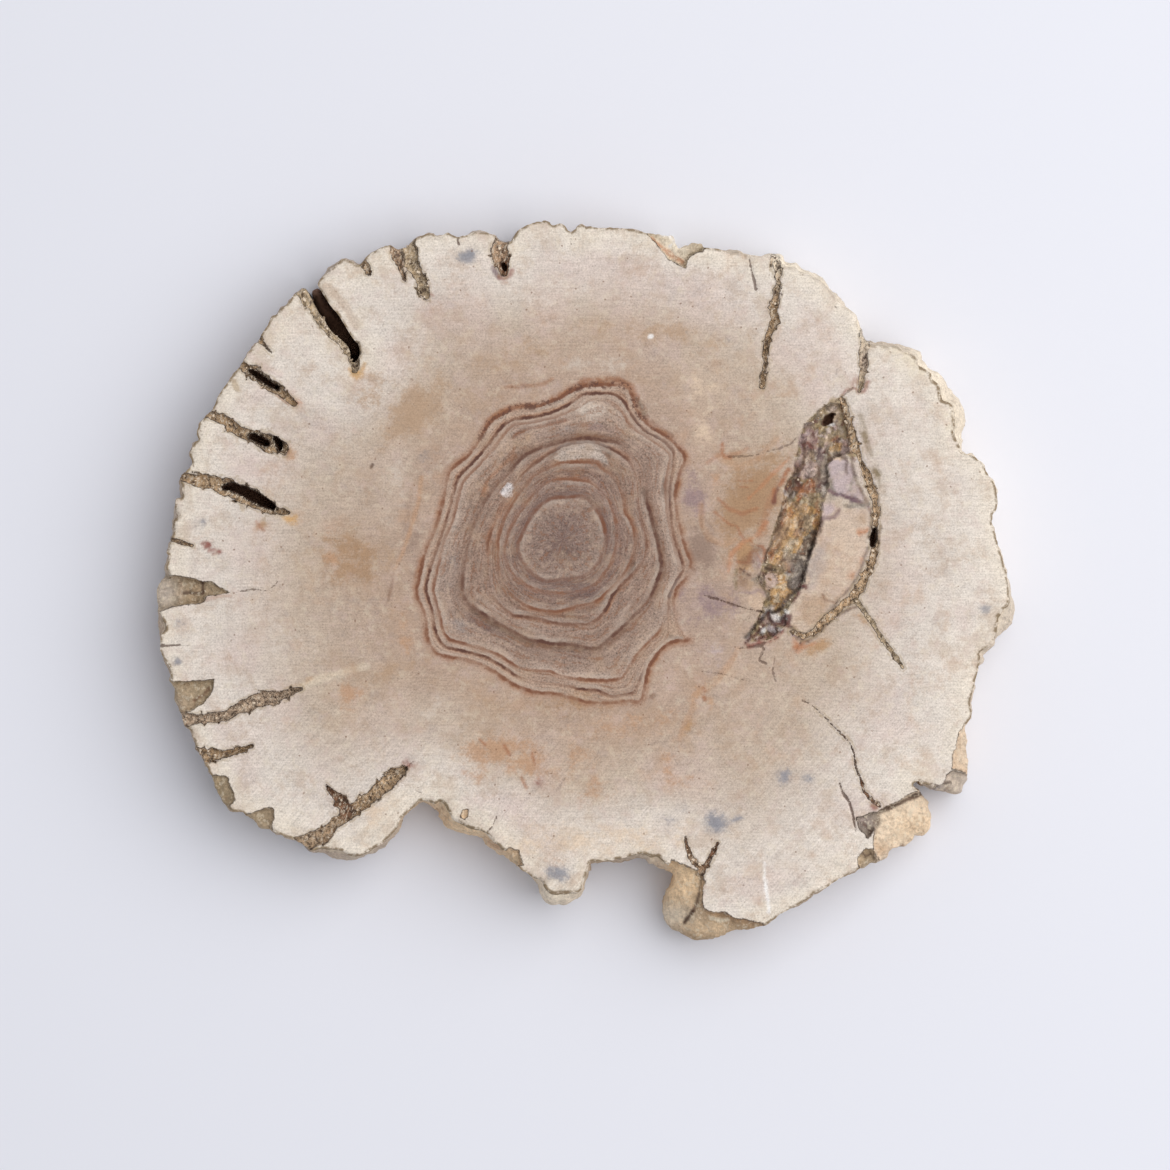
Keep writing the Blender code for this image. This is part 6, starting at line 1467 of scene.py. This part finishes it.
def make_stone(finish):
    """The whole slice as one closed mesh that carries its colours and marks as numbers on its points."""
    loop = rim_loop()
    count = len(loop)
    inner = points_inside(loop, FACE_STEPS, 101)
    beneath = points_inside(loop, UNDERSIDE_STEPS, 105)
    face_points = np.vstack([loop[:, :2], inner])
    rim_gap = np.maximum(depth_inside(face_points, RIM), 0.0)
    near = rim_gap < 3.0
    rim_gap[near] = nearest_on_line(face_points[near], np.vstack([loop, loop[:1]])[:, :2])[0]
    heights = face_heights(face_points, rim_gap)
    sides = outward(loop)
    rows = [wall_row(loop, sides, heights[:count], (row + 1) / WALL_ROWS) for row in range(WALL_ROWS)]
    rows[-1][:, 2] = 0.0
    top, base = np.column_stack([face_points, heights]), np.column_stack([beneath, np.zeros(len(beneath))])
    points = np.vstack([top, *rows, base])

    # The rows of the wall come after the face's points, and the last of them is the underside's edge
    first_row = len(face_points)
    base_row = first_row + (WALL_ROWS - 1) * count
    wall_rows = slice(first_row, base_row + count)
    faces = triangles_inside(loop, inner)
    quads, wall_places = wall_faces(count, first_row)
    under_faces = (triangles_inside(loop, beneath) + base_row)[:, ::-1]
    mesh = new_mesh("petrified_wood", points, faces.tolist() + quads + under_faces.tolist(), finish)
    lay_flat(mesh, points, faces, wall_places, under_faces)
    gap, under = np.zeros(len(points)), np.zeros(len(points))
    gap[:first_row] = rim_gap
    gap[base_row + count:] = np.maximum(depth_inside(beneath, RIM), 0.0)
    under[base_row:] = 1.0
    on_wall, in_slot = np.zeros(len(points), dtype=bool), np.zeros(len(points), dtype=bool)
    on_wall[wall_rows] = True
    in_slot[wall_rows] = np.tile(loop[:, 2] < 0.05, WALL_ROWS)
    number_points(mesh, points, gap, on_wall, in_slot, under)
    mesh.shade_smooth()
    mesh.set_sharp_from_angle(angle=math.radians(38.0))
    mesh.validate()
    return placed("petrified_wood", mesh)


def put(socket, value):
    """Wires a node's input to another node's output, or sets its value."""
    if isinstance(value, bpy.types.NodeSocket):
        socket.id_data.links.new(value, socket)
    else:
        socket.default_value = value


def add_node(tree, kind, wanted=(), **settings):
    """A new node with its settings made and its inputs wired or set. Gives its outputs."""
    node = tree.nodes.new(kind)
    for name, value in settings.items():
        setattr(node, name, value)
    for name, value in dict(wanted).items():
        put(node.inputs[name], value)
    return node.outputs


def opaque(name):
    """The named paint as a shader's colour."""
    return (*linear(PAINTS[name]), 1.0)


class Finish:
    """One material, whose nodes are wired as they are added."""

    def __init__(self, name):
        self.material = bpy.data.materials.new(name)
        self.material.use_nodes = True
        self.tree = self.material.node_tree
        self.shader = self.tree.nodes["Principled BSDF"]
        self.place = self.scaled(self.add("TexCoord")["Object"], 1.0 / MM)

    def add(self, kind, wanted=(), **settings):
        return add_node(self.tree, "ShaderNode" + kind, wanted, **settings)

    def put(self, name, value):
        """Wires or sets one of the shader's own inputs."""
        put(self.shader.inputs[name], value)

    def scaled(self, vector, amount):
        return self.add("VectorMath", {"Vector": vector, "Scale": amount}, operation="SCALE")["Vector"]

    def stretched(self, sizes, turn):
        """The place turned about the vertical and divided by the grain's three sizes."""
        wanted = {"Vector": self.place, "Angle": math.radians(turn)}
        turned = self.add("VectorRotate", wanted, rotation_type="Z_AXIS")["Vector"]
        wanted = {"Vector": turned, "Scale": tuple(1.0 / size for size in sizes)}
        return self.add("Mapping", wanted, vector_type="POINT")["Vector"]

    def maths(self, operation, *values):
        return self.add("Math", enumerate(values), operation=operation)["Value"]

    def plus(self, first, second):
        return self.maths("ADD", first, second)

    def minus(self, first, second):
        return self.maths("SUBTRACT", first, second)

    def times(self, first, second):
        return self.maths("MULTIPLY", first, second)

    def times_plus(self, first, second, third):
        return self.maths("MULTIPLY_ADD", first, second, third)

    def centred(self, value):
        """A grain's number moved to lie about zero."""
        return self.minus(value, 0.5)

    def step(self, value, low, high, start=0.0, end=1.0):
        """A smooth change from start, at low, to end, at high."""
        wanted = {"Value": value, "From Min": low, "From Max": high, "To Min": start, "To Max": end}
        return self.add("MapRange", wanted, interpolation_type="SMOOTHSTEP")["Result"]

    def mixed(self, share, first, second):
        """The first colour with a share of the second over it."""
        return self.add("Mix", {0: share, 6: first, 7: second}, data_type="RGBA", clamp_factor=True)[2]

    def painted(self, colour, share, name):
        """The colour with a share of the named paint over it."""
        return self.mixed(share, colour, opaque(name))

    def grain(self, size, detail, roughness, place=None):
        """Noise from 0 to 1 whose largest spots have the given size."""
        wanted = {"Vector": self.place if place is None else place, "Scale": 1.0 / size}
        return self.add("TexNoise", {**wanted, "Detail": detail, "Roughness": roughness})["Fac"]

    def cells(self, size, place=None, feature="F1"):
        """Distance from scattered points, or from the seams between them."""
        wanted = {"Vector": self.place if place is None else place, "Scale": 1.0 / size}
        return self.add("TexVoronoi", wanted, feature=feature)["Distance"]

    def split(self, vector):
        return tuple(self.add("SeparateXYZ", {"Vector": vector}))

    def joined(self, x, y):
        return self.add("CombineXYZ", {"X": x, "Y": y})["Vector"]

    def numbers(self, name):
        """The numbers of that name on the mesh's points."""
        return self.add("Attribute", attribute_name=name)

    def parts(self, name):
        return self.split(self.numbers(name)["Vector"])

    def relief(self, height):
        """Bump from a height in millimetres."""
        self.put("Normal", self.add("Bump", {"Distance": MM, "Height": height})["Normal"])


def stone_finish():
    """Sawn petrified wood with ring lines and pores, and rough rock and rubble where it is broken."""
    stone = Finish("petrified_wood")
    maths, plus, minus, times = stone.maths, stone.plus, stone.minus, stone.times
    times_plus, centred, step, grain = stone.times_plus, stone.centred, stone.step, stone.grain
    mixed, painted, scaled = stone.mixed, stone.painted, stone.scaled
    joined, stretched = stone.joined, stone.stretched
    crack, chip, rim = stone.parts("marks")
    hair, hair_dark, wall = stone.parts("seams")
    knot, under, hole = stone.parts("relief")
    depth = stone.numbers("depth")["Fac"]
    sawn = stone.numbers("tint")
    tint, bare = sawn["Color"], sawn["Alpha"]
    filling = stone.numbers("fill")
    fill, firm = filling["Color"], filling["Alpha"]
    stone.put("Specular IOR Level", 0.25)

    # Grain in the sawn face: mottling, pores, rays from the pith, years and saw marks
    fine = grain(0.52, 2.0, 0.62)
    specks = grain(1.15, 4.0, 0.72)
    middling = grain(4.2, 5.0, 0.68)
    broad = grain(17.0, 4.0, 0.55)
    across, along, _ = stone.split(stone.place)
    saw = grain(1.0, 3.0, 0.6, joined(times(across, 0.12), times(along, 1.9)))
    scratches = grain(1.0, 3.0, 0.6, stretched((0.55, 16.0, 3.0), 42.0))
    east, north = minus(across, PITH[0]), minus(along, PITH[1])
    angle = maths("ARCTAN2", north, east)
    reach = maths("SQRT", times_plus(east, east, times(north, north)))
    rays = grain(1.0, 3.0, 0.6, joined(times(angle, 85.0), times(reach, 0.12)))
    growth = times_plus(specks, 0.3, stone.numbers("growth")["Fac"])
    years = grain(1.0, 4.0, 0.7, joined(times(growth, 7.0), times(angle, 4.0)))
    pores = step(stone.cells(0.8), 0.15, 0.4, 1.0, 0.0)
    ring_8 = stone.parts("ring_8")
    in_heart = step(ring_8[0], -2.0, 2.0)
    shade = 1.0
    for texture, on_face, more_in_heart in (
        (fine, 0.85, 1.0), (specks, 0.1, 0.5), (middling, 0.18, 0.3), (broad, 0.12, 0.05), (saw, 0.5, 0.1),
        (scratches, 0.2, 0.0), (rays, 0.25, 0.2), (years, 0.25, 1.1),
    ):
        shade = times_plus(centred(texture), times_plus(in_heart, more_in_heart, on_face), shade)
    shade = times_plus(centred(scratches), step(north, -60.0, -30.0, 0.3, 0.0), shade)
    shade = times_plus(pores, times_plus(in_heart, -0.1, -0.1), shade)
    face = scaled(tint, shade)

    # Colour drifts, and stains whose edges break up along the grain
    on_sapwood = times_plus(in_heart, -0.85, 1.0)
    for size, low, paint, strength, kept in (
        (7.0, 0.48, "tan", 0.34, 1.0), (4.5, 0.5, "rose", 0.27, on_sapwood),
        (5.3, 0.53, "cool_grey", 0.16, on_sapwood), (2.9, 0.51, "yellow_cream", 0.3, on_sapwood),
        (1.3, 0.54, "brown", 0.18, 1.0), (9.0, 0.54, "orange", 0.3, on_sapwood),
    ):
        drift = grain(size, 5.0, 0.68, stretched((1.0, 1.0, 1.0), size * 9.0))
        face = painted(face, times(step(drift, low, low + 0.18, 0.0, strength), kept), paint)
    stain = stone.numbers("stain")
    stained = stain["Alpha"]
    edges = times_plus(centred(grain(5.0, 4.0, 0.6)), 1.3, centred(grain(1.6, 5.0, 0.78)))
    edges = times_plus(edges, 1.1, stained)
    patches = times(step(edges, 0.2, 0.65, 0.0, 0.6), step(stained, 0.03, 0.2))
    patches = times_plus(stained, 0.4, patches)
    face = mixed(patches, face, scaled(stain["Color"], times_plus(shade, 0.6, 0.4)))
    dark_years = times(step(years, 0.37, 0.48, 1.0, 0.0), times_plus(in_heart, 0.38, 0.05))
    face = painted(face, times(dark_years, bare), "ring_rust")
    pale_years = times(step(years, 0.54, 0.64, 0.0, 0.3), in_heart)
    face = painted(face, times(pale_years, bare), "sand")
    dots = step(times_plus(fine, 0.12, stone.cells(4.3)), 0.1, 0.15, 0.6, 0.0)
    face = painted(face, dots, "brown")

    # Growth rings: a dark, ragged line each, with a soft stain beside the strong ones
    wobble = times(centred(grain(1.7, 4.0, 0.65)), 1.1)
    patchy = step(grain(2.2, 3.0, 0.6), 0.32, 0.6, 0.6, 1.2)
    patchy = times(patchy, step(grain(9.0, 2.0, 0.5), 0.4, 0.58, 0.5, 1.15))
    patchy = times(patchy, bare)
    for number, (half, paint, halo, halo_paint) in enumerate(RING_LINES, 1):
        signed, strength, _ = ring_8 if number == 8 else stone.parts(f"ring_{number}")
        signed = plus(signed, wobble)
        away = maths("ABSOLUTE", signed)
        strength = times(strength, patchy)
        beside = times(step(signed, -halo, 0.0), step(signed, 0.0, halo * 0.3 + 0.3, 1.0, 0.0))
        face = painted(face, times(beside, times(strength, 0.8)), halo_paint)
        ledge = times(step(signed, 0.1, 0.5), step(signed, 0.8, 2.4, 1.0, 0.0))
        face = painted(face, times(ledge, times(strength, 0.32)), "buff")
        line = step(away, half * 0.4, half + 0.28, 1.0, 0.0)
        face = painted(face, times(line, times(strength, 0.9)), paint)
    beads = times(step(grain(1.3, 3.0, 0.6), 0.5, 0.57), step(along, 34.0, 46.0, 0.0, 0.8))
    face = painted(face, times(beads, step(away, 0.6, 1.5, 1.0, 0.0)), "ring_dark")

    # Hairline cracks and the thin dark line where the face breaks off: a worn edge that is faded out on the
    # lit north-east, so partly painted shade
    ragged = times(centred(grain(0.9, 4.0, 0.65)), 0.9)
    hair_line = times(step(plus(hair, ragged), -0.06, 0.2, 1.0, 0.0), times(hair_dark, 0.85))
    face = painted(face, hair_line, "dark_brown")
    edge_patch = step(grain(2.2, 4.0, 0.65), 0.4, 0.55, 0.1, 1.0)
    sunny = times(step(along, 62.0, 72.0), step(across, 36.0, 46.0, 0.0, 0.7))
    edge_line = times(step(plus(rim, ragged), 0.2, 0.9, 1.0, 0.0), minus(1.0, sunny))
    face = painted(face, times(edge_line, edge_patch), "edge")

    # Broken rock on the rim and the chips
    coarse = grain(2.6, 5.0, 0.64)
    gritty = grain(0.75, 4.0, 0.7)
    rock = scaled(fill, times_plus(gritty, 0.9, plus(times_plus(coarse, 0.9, 0.52), -0.38)))
    rock = mixed(step(grain(1.1, 4.0, 0.72), 0.5, 0.58, 0.0, 0.5), rock, scaled(fill, 0.66))
    rock = painted(rock, step(grain(1.5, 3.0, 0.6), 0.54, 0.62, 0.0, 0.5), "yellow_cream")
    rock = painted(rock, step(grain(3.1, 5.0, 0.66), 0.58, 0.7, 0.0, 0.4), "brown")

    # Rubble of small fragments in the cracks and the knot
    warp = scaled(joined(centred(coarse), centred(specks)), 4.0)
    warped = stone.add("VectorMath", {0: stone.place, 1: warp}, operation="ADD")["Vector"]
    seam = stone.cells(2.1, warped, "DISTANCE_TO_EDGE")
    crevice_shade = step(seam, 0.02, 0.12, 1.0, 0.0)
    fragments = grain(1.0, 5.0, 0.75, stretched((0.75, 2.0, 1.2), 20.0))
    chunks = grain(1.2, 5.0, 0.78, stretched((1.3, 1.3, 1.3), 70.0))
    rubble = scaled(fill, times_plus(gritty, 0.8, step(chunks, 0.38, 0.62, 0.1, 1.1)))
    rubble = painted(rubble, step(fragments, 0.52, 0.58, 0.0, 0.9), "bright_cream")
    rubble = painted(rubble, step(chunks, 0.4, 0.46, 0.85, 0.0), "umber")
    in_crack = step(plus(crack, ragged), -0.1, 0.15)
    in_knot = step(plus(knot, ragged), -0.1, 0.3)
    in_hole = step(times_plus(ragged, 0.3, hole), -0.02, 0.16)
    on_floor = times(in_knot, step(depth, 0.35, 0.9))
    nuggets = grain(1.0, 4.0, 0.62, stretched((1.3, 3.2, 1.3), 25.0))
    knot_face = scaled(face, times_plus(gritty, 0.5, step(nuggets, 0.4, 0.62, 0.64, 1.02)))
    knot_face = painted(knot_face, step(nuggets, 0.57, 0.65, 0.0, 0.4), "bright_cream")
    knot_face = painted(knot_face, step(nuggets, 0.37, 0.44, 0.4, 0.0), "umber")
    # Painted shade in the seams between the knot's fragments
    knot_face = painted(knot_face, times(crevice_shade, 0.2), "dark_brown")
    face = mixed(on_floor, face, knot_face)
    lip = step(maths("ABSOLUTE", plus(crack, plus(ragged, 0.5))), 0.1, 0.4, 0.45, 0.0)
    face = painted(face, times(lip, edge_patch), "moss")

    # The face, the rock and the rubble put together, with dark outlines between them: partly the cracks'
    # own dark rims, partly painted shade at the edges where the face drops into the cracks and chips
    gap = plus(maths("MAXIMUM", crack, chip), ragged)
    broken = step(gap, -0.1, 0.1)
    colour = mixed(broken, face, mixed(in_crack, rock, rubble))
    outline = step(maths("ABSOLUTE", plus(gap, 0.02)), 0.05, 0.32, 1.0, 0.0)
    outline = times(outline, times(minus(1.0, wall), times(edge_patch, firm)))
    colour = painted(colour, times(outline, 0.7), "umber")
    colour = painted(colour, in_hole, "hole")
    colour = painted(colour, times(under, 0.35), "buff")
    stone.put("Base Color", colour)

    # Roughness and relief
    rough_share = maths("MAXIMUM", broken, times(on_floor, 0.8))
    gloss = times_plus(middling, 0.16, 0.42)
    rock_gloss = times_plus(gritty, 0.15, 0.78)
    stone.put("Roughness", plus(gloss, times(rough_share, minus(rock_gloss, gloss))))
    smooth_relief = plus(times(fine, 0.035), times(saw, 0.02))
    smooth_relief = minus(minus(smooth_relief, times(pores, 0.02)), times(hair_line, 0.12))
    rough_relief = times_plus(coarse, 0.8, times(gritty, 0.45))
    pebbled = times_plus(step(seam, 0.0, 0.25), 0.2, times(chunks, 0.8))
    rough_relief = times_plus(pebbled, maths("MAXIMUM", in_crack, on_floor), rough_relief)
    stone.relief(plus(smooth_relief, times(rough_share, rough_relief)))
    return stone.material


def crumb_finish():
    """The loose crumbs in the cracks: each its own shade of brown, khaki or cream, with fine grit."""
    crumb = Finish("crack_crumbs")
    tone = crumb.times_plus(crumb.numbers("crumb_tone")["Fac"], 0.6, 0.22)
    tone = crumb.times_plus(crumb.centred(crumb.grain(2.8, 4.0, 0.6)), 7.0, tone)
    colour = crumb.numbers("fill")["Color"]
    colour = crumb.painted(colour, crumb.step(tone, 0.0, 0.45, 0.9, 0.0), "umber")
    colour = crumb.painted(colour, crumb.step(tone, 0.55, 1.0, 0.0, 0.9), "bright_cream")
    gritty = crumb.grain(0.35, 3.0, 0.6)
    crumb.put("Base Color", crumb.scaled(colour, crumb.times_plus(gritty, 0.8, 0.6)))
    crumb.put("Roughness", crumb.times_plus(gritty, 0.15, 0.78))
    crumb.relief(crumb.times(gritty, 0.12))
    return crumb.material


def plug_finish():
    """Dark brown, dusty sediment."""
    plug = Finish("slot_sediment")
    gritty = plug.grain(0.9, 4.0, 0.7)
    plug.put("Base Color", plug.painted(opaque("hole"), plug.step(gritty, 0.35, 0.65), "brown"))
    plug.put("Roughness", plug.times_plus(gritty, 0.1, 0.82))
    plug.relief(plug.times(gritty, 0.5))
    return plug.material


def crumb_tree():
    """Scatters small angular crumbs over the floors of the cracks and the knot."""
    tree = bpy.data.node_groups.new("crack_crumbs", "GeometryNodeTree")
    for name, kind, way in (
        ("Geometry", "Geometry", "INPUT"), ("Crumbs per square metre", "Float", "INPUT"),
        ("Smallest", "Float", "INPUT"), ("Largest", "Float", "INPUT"), ("Seed", "Int", "INPUT"),
        ("Finish", "Material", "INPUT"), ("Geometry", "Geometry", "OUTPUT"),
    ):
        tree.interface.new_socket(name, in_out=way, socket_type="NodeSocket" + kind)

    def add(kind, wanted=(), **settings):
        return add_node(tree, kind, wanted, **settings)

    def random(kind, **wanted):
        return add("FunctionNodeRandomValue", {**wanted, "Seed": given["Seed"]}, data_type=kind)

    given = add("NodeGroupInput")
    share = add("GeometryNodeInputNamedAttribute", {"Name": "crumbly"}, data_type="FLOAT")["Attribute"]
    wanted = {0: given["Crumbs per square metre"], 1: share}
    density = add("ShaderNodeMath", wanted, operation="MULTIPLY")[0]
    wanted = {"Mesh": given["Geometry"], "Density": density, "Seed": given["Seed"]}
    spread = add("GeometryNodeDistributePointsOnFaces", wanted)["Points"]
    crumb = add("GeometryNodeMeshIcoSphere", {"Radius": 1.0, "Subdivisions": 1})["Mesh"]
    shape = random("FLOAT_VECTOR", Min=(0.6, 0.7, 0.4), Max=(1.5, 1.1, 0.9))[0]
    wanted = {2: given["Smallest"], 3: given["Largest"], "Seed": given["Seed"]}
    size = add("FunctionNodeRandomValue", wanted, data_type="FLOAT")[1]
    whole = add("ShaderNodeVectorMath", {0: shape, "Scale": size}, operation="SCALE")["Vector"]
    turn = random("FLOAT_VECTOR", Max=(math.tau, math.tau, math.tau))[0]
    wanted = {"Points": spread, "Instance": crumb, "Rotation": turn, "Scale": whole}
    crumbs = add("GeometryNodeInstanceOnPoints", wanted)["Instances"]
    wanted = {"Name": "crumb_tone", "Geometry": crumbs, "Value": random("FLOAT")[1]}
    toned = add("GeometryNodeStoreNamedAttribute", wanted, data_type="FLOAT", domain="INSTANCE")["Geometry"]
    crumbs = add("GeometryNodeRealizeInstances", {"Geometry": toned})["Geometry"]
    crumbs = add("GeometryNodeSetMaterial", {"Geometry": crumbs, "Material": given["Finish"]})["Geometry"]
    add("NodeGroupOutput", {"Geometry": crumbs})
    return tree


def make_crumbs(stone, finish):
    """The crumbs as one plain mesh, made on the stone's own cracks."""
    crumbs = placed("crack_crumbs", stone.data.copy())
    modifier = crumbs.modifiers.new("crumbs", "NODES")
    modifier.node_group = crumb_tree()
    wanted = {
        "Crumbs per square metre": CRUMBS_PER_SQUARE_METRE, "Smallest": 0.14 * MM, "Largest": 0.65 * MM,
        "Seed": 7, "Finish": finish,
    }
    for item in modifier.node_group.interface.items_tree:
        if item.in_out == "INPUT" and item.name in wanted:
            modifier[item.identifier] = wanted[item.name]
    graph = bpy.context.evaluated_depsgraph_get()
    mesh = bpy.data.meshes.new_from_object(crumbs.evaluated_get(graph), depsgraph=graph)
    crumbs.modifiers.clear()
    crumbs.data = mesh
    mesh.materials.clear()
    mesh.materials.append(finish)
    return crumbs


def plain_finish(name, colour, roughness):
    """One even colour."""
    material = bpy.data.materials.new(name)
    material.use_nodes = True
    shader = material.node_tree.nodes["Principled BSDF"]
    shader.inputs["Base Color"].default_value = (*colour, 1.0)
    shader.inputs["Roughness"].default_value = roughness
    return material


def set_stage():
    """A pale floor, a large soft light from the upper right and an even fill."""
    floor_points = np.array([(x * FLOOR_REACH, y * FLOOR_REACH, FLOOR_DROP) for x, y in FLOOR_CORNERS])
    finish = plain_finish("floor", FLOOR_COLOUR, 0.9)
    placed("floor", new_mesh("floor", floor_points, [(0, 1, 2, 3)], finish))
    world = bpy.data.worlds.new("studio")
    world.use_nodes = True
    sky = world.node_tree.nodes["Background"]
    sky.inputs["Color"].default_value = (*FILL_COLOUR, 1.0)
    sky.inputs["Strength"].default_value = FILL_STRENGTH
    bpy.context.scene.world = world
    for name, place, size, power, colour in LIGHTS:
        light = bpy.data.lights.new(name, "AREA")
        light.shape = "SQUARE"
        light.size = size
        light.energy = power
        light.color = colour
        lamp = placed(name, light)
        lamp.location = place
        lamp.rotation_euler = Vector(place).to_track_quat("Z", "Y").to_euler()
    bpy.context.scene.view_settings.view_transform = "Standard"


def set_camera():
    """Straight above the stone, as far back as a long lens is, with the photo's whole width at its face."""
    camera = bpy.data.cameras.new("camera")
    camera.sensor_width = 36.0
    camera.lens = camera.sensor_width * CAMERA_HEIGHT / FRAME_WIDTH
    eye = placed("camera", camera)
    eye.location = (*FRAME_CENTRE, THICKNESS * MM + CAMERA_HEIGHT)
    bpy.context.scene.camera = eye


stone = make_stone(stone_finish())
crumbs = make_crumbs(stone, crumb_finish())
plug = make_plug(plug_finish())
for piece in (stone, crumbs, plug):
    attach(piece, "root")
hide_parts("petrified_wood_slice")
set_stage()
set_camera()
